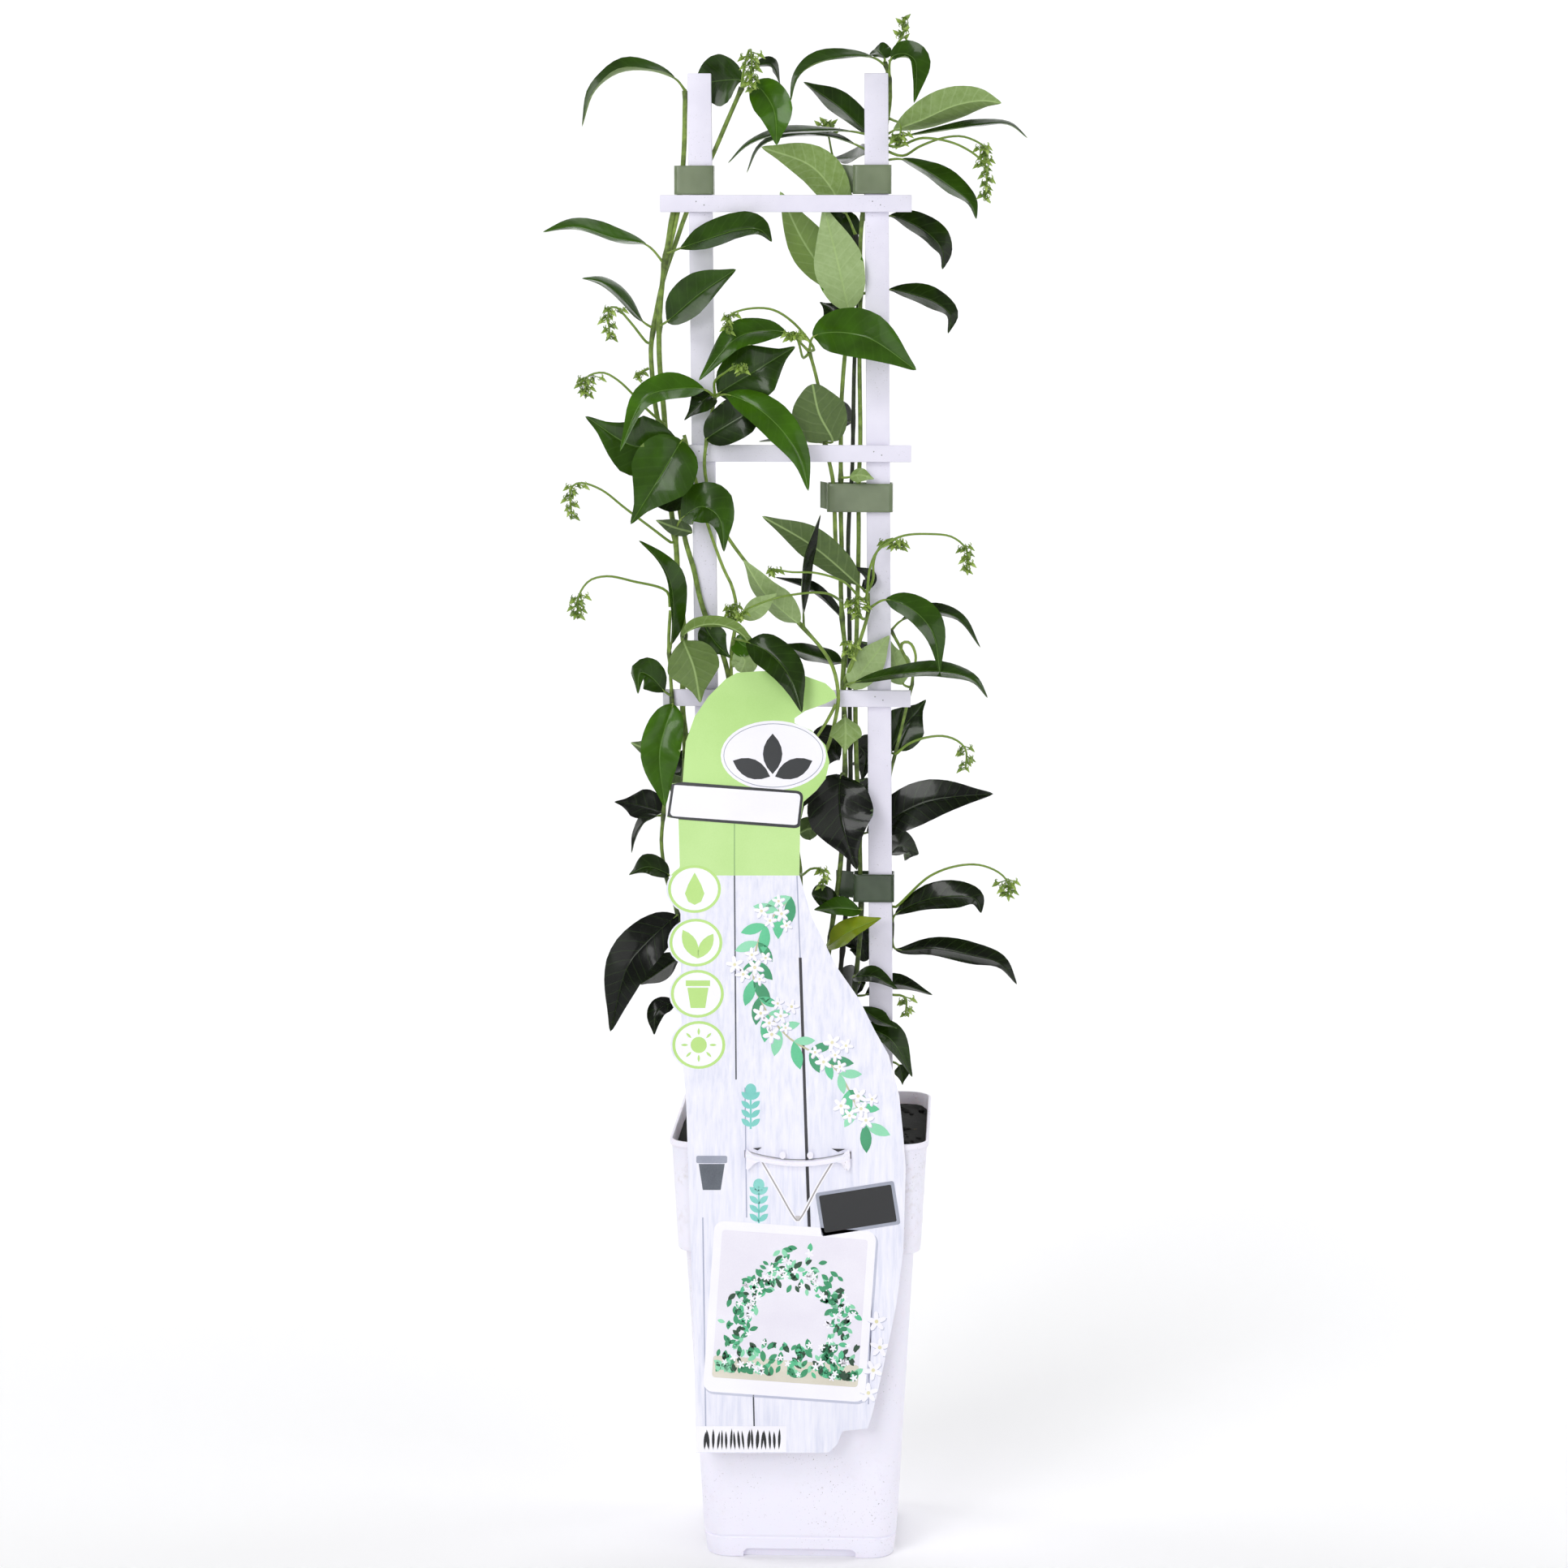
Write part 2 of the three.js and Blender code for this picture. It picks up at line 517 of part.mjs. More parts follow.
const STEMS = {
  leafy_stem_left_tall: {
    radius: 1.75,
    paths: [
      [[905, 1378, 6], [880, 1300, 5], [860, 1200, 4.6], [849, 1100, 4.2], [844, 1000, 3],
       [844, 908, 2], [841, 870, 2], [843, 800, 2], [842, 768, 1], [838, 735, 1], [835, 708, 1],
       [833, 672, 0], [826, 620, 2], [822, 560, 2], [818, 506, 0], [813, 451, 0], [812, 414, 0],
       [814, 372, 0], [818, 332, 0], [823, 300, 1], [829, 263, 3], [837, 243, 4], [840, 222, 4],
       [843, 180, 4], [844, 131, 4], [844.5, 112, 3]],
      [[819, 330, 0], [827, 296, 3], [835, 263, 4], [841, 228, 4]],
    ],
    leaves: [
      [[[843, 113, 1], [832, 97, -2], [800, 86, -8], [762, 89, -12], [732, 112, -12],
        [717, 156, -6]], 20, 74, 1, 20],
      [[[814, 326, -1], [797, 302, -4], [755, 293, -10], [708, 279, -16], [669, 286, -20]], 22, 66],
      [[[826, 312, -6], [838, 306, -10], [870, 295, -16], [910, 283, -20], [936, 283, -22],
        [951, 298, -22]], 24, 48, 1, 16],
      [[[818, 401, -4], [822, 396, -7], [862, 362, -17], [907, 332, -26]], 24, 26, 1, 22],
      [[[846, 800, -4], [841, 784, -8], [860, 771, -16], [886, 769, -21], [913, 780, -20],
        [935, 812, -15]], 14, -60, -1],
      [[[842, 789, -12], [855, 823, -22], [863, 866, -30]], 31, 0, -1, 10],
      [[[846, 652, -6], [840, 639, -15], [866, 624, -26], [886, 638, -29], [892, 680, -28]], 29, 30,
        1, 22],
      [[[852, 656, -5], [832, 650, -8], [808, 641, -12]], 10, -20, -1, 10],
      [[[846, 905, 4], [862, 930, 10], [884, 990, 12]], 24, 20],
      [[[850, 1080, 6], [875, 1110, 22], [905, 1170, 34]], 27, 15],
      [[[844, 830, 6], [852, 818, 28], [860, 834, 54]], 21, 20],
      [[[846, 960, 6], [838, 950, 32], [832, 985, 58]], 26, 20],
    ],
  },
  leafy_stem_left_side: {
    radius: 1.6,
    paths: [
      [[925, 1378, 10], [915, 1250, 9], [905, 1100, 8], [899, 950, 8], [899, 846, 3],
       [896, 826, -2], [889, 802, -5], [871, 763, -5], [862, 735, -4.6], [855, 702, -4],
       [845, 668, -2], [834, 610, 5], [817, 545, 7], [808, 503, 3], [804, 466, 2], [802, 430, 2],
       [804, 412, 3], [811, 372, 5], [820, 335, 6], [833, 298, 6.5], [845, 264, 6.5], [862, 225, 6],
       [879, 189, 5], [897, 147, 3], [914, 108, 0]],
    ],
    leaves: [
      [[[805, 406, 2], [793, 397, -1], [768, 369, -8], [742, 348, -12], [717, 343, -14]], 19, 68],
      [[[914, 100, 3], [890, 99, 12], [854, 106, 24]], 30, 2, 1, 24],
      [[[918, 96, 2], [930, 83, 5], [950, 80, 9], [961, 103, 13]], 12, 60],
      [[[928, 103, -4], [953, 134, -14], [957, 179, -14]], 22, 8, 1, 20],
      [[[869, 770, -6], [880, 790, -7], [900, 811, -6]], 17, 6],
      [[[903, 880, 12], [925, 905, 18], [958, 960, 20]], 26, 20],
      [[[908, 1010, 12], [893, 1040, 24], [872, 1100, 30]], 26, 20],
      [[[825, 575, 10], [800, 560, 32], [790, 590, 56]], 25, 40],
    ],
  },
  leafy_stem_outer_left: {
    radius: 1.2,
    paths: [
      [[885, 1378, -12], [868, 1300, -12], [850, 1200, -10], [836, 1130, -8], [822, 1085, -5],
       [815, 1041, -3], [817, 1008, -4], [823, 950, -6], [828, 870, -7.3], [826, 830, -7.3],
       [824, 790, -6], [826, 752, -5]],
    ],
    leaves: [
      [[[826, 806, -6], [827, 794, -10], [830, 757, -17], [826, 717, -19], [810, 688, -18],
        [787, 666, -16]], 18, 55, 1, 26],
      [[[826, 858, -8], [819, 852, -10], [802, 834, -14], [789, 829, -18], [786, 855, -21]], 19, 15,
        1, 20],
      [[[829, 868, -10], [813, 925, -17], [819, 994, -14]], 24, 6, 1, 18],
      [[[820, 935, 3], [800, 925, 8], [777, 915, 13]], 12, -20, -1],
      [[[817, 1001, 0], [789, 992, 8], [757, 988, 14]], 21, 30],
      [[[817, 1006, -5], [811, 1005, -6], [797, 1010, -8], [785, 1025, -11], [778, 1051, -12]], 11,
        66],
      [[[824, 1078, -8], [798, 1068, -12], [775, 1078, -14]], 15, 34, 1, 20],
      [[[834, 1128, -10], [777, 1184, -22], [752, 1271, -20]], 27, 10, 1, 18],
      [[[838, 1180, -4], [814, 1196, 2], [789, 1213, 6]], 17, 30],
      [[[834, 1234, -8], [810, 1246, -12], [806, 1275, -14]], 13, 30],
      [[[864, 1250, -17], [884, 1285, -26], [880, 1340, -36]], 26, 25],
      [[[870, 1300, -18], [900, 1290, -34], [930, 1320, -44]], 25, 40],
    ],
  },
  leafy_stem_twining: {
    radius: 1.2,
    paths: [
      [[965, 1378, 4], [977, 1250, 2], [986, 1120, 0], [986, 1070, 0], [982, 1040, 0],
       [985, 1008, -1], [1000, 960, -3], [1019, 922, -6], [1028, 892, -8], [1033, 861, -9],
       [1030, 835, -9], [1024, 817, -9], [1009, 795, -9], [992, 776, -9], [956, 736, -6],
       [917, 690, -7], [891, 652, -8], [875, 612, -9], [868, 575, -10], [871, 540, -11],
       [881, 489, -12]],
      [[1030, 868, -9], [1018, 890, -8], [1000, 918, -5]],
    ],
    leaves: [
      [[[984, 768, -12], [946, 735, -17], [916, 690, -19]], 24, -48, -1],
      [[[991, 772, -10], [990, 757, -16], [989, 716, -32], [997, 672, -37], [1011, 634, -37]], 15,
        66, 1, 24],
      [[[870, 541, -13], [912, 514, -16], [952, 494, -14]], 25, 12],
      [[[876, 487, -14], [868, 480, -18], [832, 479, -25], [795, 490, -28], [764, 556, -28]], 23, 46],
      [[[881, 487, -14], [894, 486, -19], [926, 498, -27], [958, 524, -32], [985, 562, -35],
        [996, 605, -35]], 22, 26],
      [[[885, 485, -14], [932, 456, -19], [980, 427, -16]], 33, 4, 1, 12],
      [[[876, 487, -12], [866, 494, -16], [843, 518, -12]], 17, 30],
      [[[985, 1026, -3], [996, 1021, -2], [1010, 1022, 0]], 14, 0, -1],
      [[[984, 1130, 4], [958, 1150, 22], [930, 1200, 36]], 27, 15],
      [[[980, 1200, -4], [1000, 1225, -22], [1005, 1290, -32]], 26, 20],
      [[[1000, 965, -8], [968, 985, -16], [935, 1040, -18]], 25, 30],
    ],
  },
  leafy_stem_middle: {
    radius: 1.1,
    paths: [
      [[945, 1378, -8], [938, 1250, -6], [922, 1100, -5], [908, 950, 0], [903, 885, 1],
       [902, 848, 1.3], [901, 810, -3.4], [906, 770, -6], [907, 745, -7], [901, 720, -6],
       [893, 704, -5], [880, 670, -4.6], [867, 630, -4.8], [858, 595, -6.5], [850, 562, -8.4],
       [843, 536, -9]],
    ],
    leaves: [
      [[[840, 543, -17], [814, 586, -26], [777, 646, -30]], 38, 2, 1, 24],
      [[[836, 545, -11], [783, 550, -13], [721, 513, -16]], 36, 6, 1, 16],
      [[[853, 605, -6], [826, 613, -9], [787, 616, -11]], 21, 25],
      [[[906, 788, -4], [915, 795, -5], [928, 801, -6]], 14, 8],
      [[[914, 760, -18], [934, 748, -28], [957, 731, -30]], 12, 10, -1],
      [[[908, 789, -7], [920, 791, -23], [946, 803, -30], [973, 834, -38], [988, 878, -43]], 24, 26],
      [[[905, 803, -6], [918, 814, -8], [913, 829, -9]], 16, 10, -1],
      [[[905, 890, -8], [885, 900, -14], [872, 940, -14]], 22, 30],
      [[[925, 1130, -10], [890, 1150, -20], [880, 1210, -24]], 26, 20],
    ],
  },
  leafy_stem_right_main: {
    radius: 1.5,
    paths: [
      [[1000, 1378, 10], [1012, 1250, 8], [1024, 1150, 6], [1036, 1060, 5], [1041, 960, 3],
       [1041, 930, 3], [1040, 871, 3], [1038, 845, 2], [1041, 799, 2], [1038, 767, 1],
       [1036, 720, 1], [1037, 680, 1], [1036, 630, 1], [1036, 590, 1], [1036, 545, 1],
       [1037, 492, 0], [1041, 438, 0], [1045, 405, 1], [1047, 388, 0]],
      [[1036, 715, 1], [1031, 690, 0], [1029, 655, 0], [1028, 620, 0], [1026, 590, 0],
       [1021, 566, 0.5], [1014, 532, -1], [1009, 480, -6], [1002, 450, -9], [997, 433, -11]],
      [[1040, 868, 3], [1040, 845, -3], [1050, 817, -7], [1061, 785, -8], [1070, 752, -8],
       [1069, 731, -8]],
    ],
    leaves: [
      [[[1046, 384, -3], [1032, 322, -8], [1015, 254, 2]], 29, -6, -1, 12],
      [[[1038, 402, 3], [1026, 384, 8], [1010, 372, 12]], 13, 20],
      [[[1002, 415, -13], [1064, 414, -27], [1129, 456, -27]], 29, 12, 1, 18],
      [[[969, 410, -20], [912, 414, -30], [861, 469, -30]], 22, 44],
      [[[1026, 544, -5], [1009, 509, -12], [1001, 473, -14]], 32, 0, -1, 8],
      [[[1010, 545, 5], [975, 542, 6], [935, 544, 7]], 18, 76],
      [[[1046, 588, -6], [1060, 585, -10], [1077, 590, -13]], 9, 20, -1],
      [[[1058, 721, -13], [1002, 673, -23], [939, 636, -28]], 22, -30, -1],
      [[[1070, 750, -9], [1091, 739, -14], [1123, 750, -22], [1149, 779, -27], [1158, 829, -28]],
        21, 38],
      [[[1044, 848, -6], [1052, 841, -13], [1100, 831, -21], [1158, 827, -26], [1198, 837, -28],
        [1217, 860, -28]], 17, 58],
      [[[1046, 846, -7], [1070, 817, -5.5], [1096, 783, -7]], 19, -4, -1, 4],
      [[[1064, 727, -9], [1071, 712, -10], [1052, 698, -12]], 10, 40],
      [[[1036, 760, 9], [1003, 727, 15], [955, 711, 17]], 13, 62],
      [[[1037, 817, 6], [1000, 807, 9], [962, 794, 10]], 19, 56],
      [[[1041, 883, -9], [1042, 904, -17], [1041, 929, -18]], 19, 0, -1, 30],
      [[[1036, 955, -6], [1036, 1008, -19], [1056, 1072, -24]], 39, 4],
      [[[1037, 905, 8], [1020, 920, 14], [1008, 957, 18]], 24, 20],
      [[[1030, 1116, 2], [1014, 1107, -2], [1000, 1101, -6]], 17, 40],
      [[[1020, 1165, -4], [1048, 1147, -14], [1086, 1131, -18]], 17, 40],
      [[[1012, 1200, 12], [1012, 1230, 34], [1004, 1290, 46]], 27, 15],
      [[[1036, 694, 4], [1014, 684, 28], [992, 668, 52]], 16, -30],
    ],
  },
  leafy_stem_right_dark: {
    radius: 1.4,
    paths: [
      [[1018, 1378, 20], [1030, 1250, 17], [1040, 1150, 14], [1046, 1060, 11], [1048, 960, 9],
       [1047, 871, 9], [1047, 800, 8], [1046, 720, 7.5], [1045, 680, 7], [1046, 640, 7],
       [1050, 580, 6.5], [1051, 540, 6], [1053, 440, 6], [1056, 400, 7], [1058, 340, 8],
       [1056, 300, 8], [1054, 289, 8]],
    ],
    leaves: [
      [[[1043, 264, 5], [1003, 207, 2], [938, 181, 0]], 26, -28, -1],
      [[[1036, 354, 9], [993, 302, 10], [961, 236, 9]], 25, -24, -1],
      [[[1050, 300, 12], [1032, 280, 30], [1030, 300, 54]], 24, 30],
      [[[1050, 520, 10], [1022, 512, 32], [1002, 500, 56]], 22, 20],
      [[[1048, 1000, 14], [1066, 985, 36], [1074, 1010, 58]], 26, 25],
      [[[1052, 915, 13], [1066, 930, 20], [1062, 962, 24]], 22, 20],
      [[[1052, 830, 14], [1066, 815, 34], [1072, 835, 58]], 26, 30],
      [[[1040, 1165, 16], [1055, 1155, 18], [1068, 1184, 20]], 22, 30],
    ],
  },
  leafy_stem_right_tall: {
    radius: 1.4,
    paths: [
      [[1030, 1378, 14], [1043, 1290, 11], [1055, 1200, 8], [1061, 1130, 5.5], [1060, 1080, 5],
       [1058, 1000, 4.5], [1055, 930, 4.5], [1054, 871, 4.5], [1055, 800, 4.5], [1057, 720, 4],
       [1058, 660, 3], [1058, 600, 2.5], [1060, 545, 2], [1059, 440, 2], [1060, 380, 3],
       [1060, 320, 3], [1061, 285, 4], [1065, 250, 5], [1074, 215, 6], [1086, 180, 6],
       [1093, 150, 6], [1097, 118, 5], [1096, 100, 5], [1094, 88, 4.6], [1090, 77, 3]],
    ],
    leaves: [
      [[[1087, 84, 2], [1076, 71, -2], [1045, 69, -8], [1005, 78, -14], [983, 94, -17],
        [974, 125, -16]], 18, 70],
      [[[1096, 96, 3], [1098, 72, -2], [1113, 66, -8], [1127, 74, -14], [1129, 96, -19],
        [1126, 127, -22]], 16, 36, 1, 30],
      [[[1090, 72, 4], [1084, 64, 9], [1077, 61, 14]], 13, 30],
      [[[1076, 168, 12], [1035, 132, 16], [990, 101, 20]], 23, 52],
      [[[1062, 164, 7], [1050, 162, 6], [1005, 161, 3], [962, 164, 0], [922, 178, -3],
        [897, 201, -4]], 16, 74],
      [[[1066, 188, 9], [1054, 178, 9], [1020, 167, 11], [972, 167, 12], [937, 180, 12],
        [920, 213, 12]], 13, 72],
      [[[1094, 170, 5], [1101, 161, 2], [1137, 147, -7], [1176, 130, -14], [1209, 124, -17],
        [1234, 127, -18]], 23, -34, -1],
      [[[1094, 174, 4], [1116, 167, -1], [1162, 160, -8], [1205, 154, -13], [1243, 153, -16],
        [1266, 170, -18]], 13, 74],
      [[[1093, 205, 3.5], [1110, 196, 1], [1142, 210, -9], [1172, 230, -15], [1195, 249, -19],
        [1203, 270, -20]], 19, 54],
      [[[1072, 272, 6], [1096, 266, 8], [1124, 275, 9], [1150, 293, 9], [1162, 311, 8],
        [1161, 332, 6]], 20, 46],
      [[[1070, 360, 5], [1095, 357, 9], [1124, 362, 10], [1152, 372, 10], [1171, 388, 8],
        [1168, 411, 6]], 18, 48],
      [[[1068, 1026, 12], [1140, 988, 12], [1224, 978, 2]], 26, 16],
      [[[1052, 1204, -4], [1077, 1203, -13], [1106, 1219, -16]], 14, 46],
      [[[1066, 1226, 12], [1102, 1212, 18], [1149, 1226, 10]], 15, 50],
      [[[1060, 1240, -7], [1082, 1256, -12], [1105, 1267, -15]], 14, 50],
      [[[1062, 1264, -8], [1097, 1280, -13], [1124, 1327, -16]], 20, 46],
      [[[1060, 1121, -5], [1033, 1119, -12], [1003, 1121, -16]], 15, 40],
      [[[1060, 1210, 12], [1050, 1218, 40], [1040, 1250, 62]], 26, 25],
      [[[1060, 425, 6], [1070, 418, 28], [1090, 428, 50]], 20, 14],
      [[[1070, 190, 9], [1050, 194, 38], [1024, 196, 60]], 16, 60],
    ],
  },
  leafy_stem_outer_right: {
    radius: 1.1,
    paths: [
      [[1052, 1378, 4], [1062, 1345, 5], [1080, 1300, 6], [1092, 1210, 7], [1098, 1165, 6],
       [1099, 1135, 6], [1092, 1060, 7], [1093, 1000, 7], [1096, 959, 6], [1102, 933, 4],
       [1109, 905, 3], [1117, 871, 2], [1122, 850, 2], [1125, 838, 1], [1122, 824, 0],
       [1110, 799, 1], [1098, 777, 4]],
      [[1110, 801, 1], [1112, 792, -1], [1121, 792, -2], [1128, 806, -2], [1127, 824, -1]],
    ],
    leaves: [
      [[[1099, 776, 5], [1110, 765, 8], [1146, 753, 8], [1181, 762, 5], [1208, 798, 2]], 13, 58],
      [[[1113, 843, 5], [1104, 817, 6], [1096, 788, 7]], 17, 0, -1, 4],
      [[[1098, 926, 8], [1116, 893, 11], [1141, 862, 15]], 25, 0],
      [[[1099, 1138, 5], [1103, 1127, 2], [1140, 1109, -7], [1180, 1104, -12], [1202, 1108, -14],
        [1209, 1125, -14]], 20, 36, 1, 16],
      [[[1099, 1155, 5], [1103, 1169, 2], [1150, 1168, -8], [1199, 1177, -14], [1233, 1187, -17],
        [1253, 1213, -18]], 18, 44, 1, 16],
      [[[1107, 1312, 5], [1111, 1323, 3], [1112, 1337, 0]], 9, 10],
      [[[1096, 1052, 12], [1110, 1042, 34], [1132, 1052, 50]], 19, 14],
    ],
  },
};

function stemCourse(places) {
  const points = places.map(spot);
  return through(points);
}

// The main course goes straight down into the soil from its first place.
function mainCourse(places) {
  const points = places.map(spot);
  const mouth = new THREE.Vector3(points[0].x, points[0].y, SOIL_LEVEL + 1);
  const foot = mouth.clone().setZ(SOIL_LEVEL - ROOT_DEPTH);
  return through([foot, mouth, ...points.slice(1)]);
}

function nearestOn(curves, point) {
  let best = null;
  for (const curve of curves) {
    for (const candidate of curve.getPoints(260)) {
      const distance = candidate.distanceTo(point);
      if (!best || distance < best.distance) best = { distance, candidate };
    }
  }
  return best.candidate;
}

function stemCurves({ paths }) {
  return [mainCourse(paths[0]), ...paths.slice(1).map(stemCourse)];
}

function leafyStem(stem) {
  const curves = stemCurves(stem);
  const shoots = curves.map((curve, i) => tube(curve, i ? stem.radius * 0.8 : stem.radius,
    Math.ceil(curve.getLength() / 36), 5));
  const leaves = stem.leaves.map((leaf) => leafGeometry(curves, leaf));
  return join([...shoots, ...leaves]);
}

// ---- Soil ---------------------------------------------------------------------------------------

function soilSolid() {
  const random = seeded(11);
  const edge = (z) => squareRing(innerHalf(z) - GAP, CORNER_RADIUS - POT_WALL, z);
  const rings = [POT_FLOOR + GAP, COLLAR_FOOT - 3, COLLAR_FOOT + 1, SOIL_LEVEL - 2].map(edge);
  for (const scale of [0.93, 0.72, 0.48, 0.22]) {
    rings.push(edge(SOIL_LEVEL).map((p) => new THREE.Vector3(p.x * scale, p.y * scale,
      SOIL_LEVEL - 2.2 + 2.6 * random())));
  }
  let soil = toSolid(loft(rings));
  for (const side of ['left', 'right']) soil = soil.subtract(toSolid(uprightGeometry(side, GAP)));
  for (const stem of Object.values(STEMS)) {
    const mouth = spot(stem.paths[0][0]);
    const hole = new THREE.CylinderGeometry(stem.radius + 1.5, stem.radius + 1.5, 2 * ROOT_DEPTH, 6)
      .rotateX(Math.PI / 2).translate(mouth.x, mouth.y, SOIL_LEVEL - 2);
    soil = soil.subtract(toSolid(hole));
  }
  return soil;
}

// ---- Flower bud sprays --------------------------------------------------------------------------
// A spray is a thin arching stalk that ends in a loose head of pointed star-shaped buds. Each has
// the stem it grows on, the course of its stalk, the number of buds, and the spread and drop of the
// head in mm.

const SPRAYS = {
  bud_spray_top_centre: ['leafy_stem_left_side', [[914, 104, -6], [918, 78, -8], [924, 60, -10],
    [926, 72, -16]], 12, 13, 20],
  bud_spray_top_tip: ['leafy_stem_right_tall', [[1098, 75, 3], [1104, 57, 5], [1113, 42, 4]], 6, 8,
    -11],
  bud_spray_top_left: ['leafy_stem_right_tall', [[1062, 262, 8], [1042, 228, 22], [1027, 196, 25],
    [1021, 168, 24], [1019, 160, 23]], 7, 14, -5],
  bud_spray_right_upper: ['leafy_stem_right_tall', [[1104, 181, 3.4], [1139, 170, -14],
    [1184, 180, -18], [1214, 205, -20]], 11, 9, 22],
  bud_spray_right_outer: ['leafy_stem_right_tall', [[1112, 192, 0], [1134, 180, -8], [1166, 169, -10],
    [1190, 169, -11], [1214, 183, -12]], 7, 10, 9],
  bud_spray_right_inner: ['leafy_stem_right_tall', [[1100, 148, 0], [1108, 152, -8], [1110, 162, -13],
    [1108, 168, -14]], 7, 12, 5],
  bud_spray_left_upper: ['leafy_stem_left_side', [[796, 421, -6], [776, 396, -12], [758, 378, -14],
    [751, 380, -14]], 9, 13, 20],
  bud_spray_left_middle: ['leafy_stem_left_tall', [[818, 522, -4], [800, 507, -6], [762, 469, -10],
    [742, 459, -12], [722, 466, -12]], 9, 14, 11],
  bud_spray_left_small: ['leafy_stem_left_side', [[799, 454, 0], [793, 457, -2], [787, 461, -2]], 3,
    5, 4],
  bud_spray_centre_dark: ['leafy_stem_right_main', [[1003, 430, -20], [978, 398, -28],
    [950, 381, -33], [914, 382, -36], [897, 391, -37]], 6, 7, 10],
  bud_spray_centre_head: ['leafy_stem_right_main', [[990, 441, -18], [984, 422, -33],
    [978, 408, -38]], 10, 14, 4],
  bud_spray_centre_front: ['leafy_stem_twining', [[880, 472, -20], [886, 464, -28], [895, 458, -33],
    [903, 452, -35], [914, 451, -35]], 7, 9, 4],
  bud_spray_left_lower: ['leafy_stem_left_tall', [[828, 669, -4], [802, 650, -9], [770, 626, -12],
    [740, 603, -12], [714, 595, -12], [704, 601, -12]], 9, 11, 20],
  bud_spray_left_arch: ['leafy_stem_outer_left', [[822, 729, -6], [779, 716, -8], [748, 710, -12],
    [727, 715, -12], [716, 728, -12], [712, 740, -12]], 9, 12, 11],
  bud_spray_right_middle: ['leafy_stem_right_main', [[1076, 712, -17], [1076, 696, -18],
    [1080, 681, -18], [1090, 667, -16], [1104, 664, -15]], 9, 18, 5],
  bud_spray_right_long: ['leafy_stem_right_main', [[1067, 742, -14], [1069, 725, -23],
    [1072, 700, -25], [1082, 678, -25], [1110, 661, -23], [1144, 658, -22], [1174, 662, -20],
    [1191, 678, -20]], 8, 10, 14],
  bud_spray_right_cluster: ['leafy_stem_right_main', [[1062, 762, -14], [1057, 748, -18],
    [1054, 734, -19]], 9, 15, 14],
  bud_spray_right_inner_low: ['leafy_stem_right_main', [[1052, 808, -12], [1050, 798, -15],
    [1046, 788, -16]], 6, 10, 12],
  bud_spray_crossing: ['leafy_stem_right_main', [[1036, 740, -8], [1018, 731, -26], [990, 731, -39],
    [949, 739, -42], [912, 757, -38]], 4, 6, 4],
  bud_spray_left_heart: ['leafy_stem_middle', [[906, 745, -11], [903, 745, -14], [901, 751, -14]], 8,
    9, 7],
  bud_spray_right_low: ['leafy_stem_outer_right', [[1103, 930, 0], [1119, 917, -4], [1140, 909, -6],
    [1163, 907, -7], [1180, 913, -8], [1190, 924, -8]], 5, 13, 13],
  bud_spray_right_foot: ['leafy_stem_outer_right', [[1103, 1118, 3], [1145, 1080, -8],
    [1179, 1067, -12], [1208, 1066, -13], [1232, 1076, -14], [1242, 1088, -14]], 8, 14, 8],
  bud_spray_label_side: ['leafy_stem_twining', [[989, 1078, -8], [1001, 1070, -16],
    [1014, 1072, -19]], 5, 9, 12],
  bud_spray_right_bottom: ['leafy_stem_outer_right', [[1099, 1226, 3], [1108, 1226, 2],
    [1116, 1230, 0]], 4, 14, 12],
  bud_spray_crossing_upper: ['leafy_stem_right_main', [[1062, 738, -18], [1038, 716, -38],
    [1005, 706, -44], [975, 705, -44], [950, 702, -42]], 4, 7, 3],
};

// A bud: a narrow tube from its root to the waist, and from there drawn out to a point.
function budGeometry(root, waist, tip) {
  const direction = tip.clone().sub(root).normalize();
  const side = new THREE.Vector3(0.3, 1, 0.2).cross(direction).normalize();
  const other = direction.clone().cross(side);
  const ring = (centre, radius) => [0, 1, 2].map((i) => centre.clone()
    .addScaledVector(side, radius * Math.cos(i * 2 * Math.PI / 3))
    .addScaledVector(other, radius * Math.sin(i * 2 * Math.PI / 3)));
  const points = [...ring(root, PEDICEL_RADIUS), ...ring(waist, BUD_RADIUS), tip];
  const triangles = [0, 2, 1];
  for (let i = 0; i < 3; i += 1) {
    const j = (i + 1) % 3;
    triangles.push(i, j, j + 3, i, j + 3, i + 3, 3 + i, 3 + j, 6);
  }
  return geometryFrom(points, triangles);
}

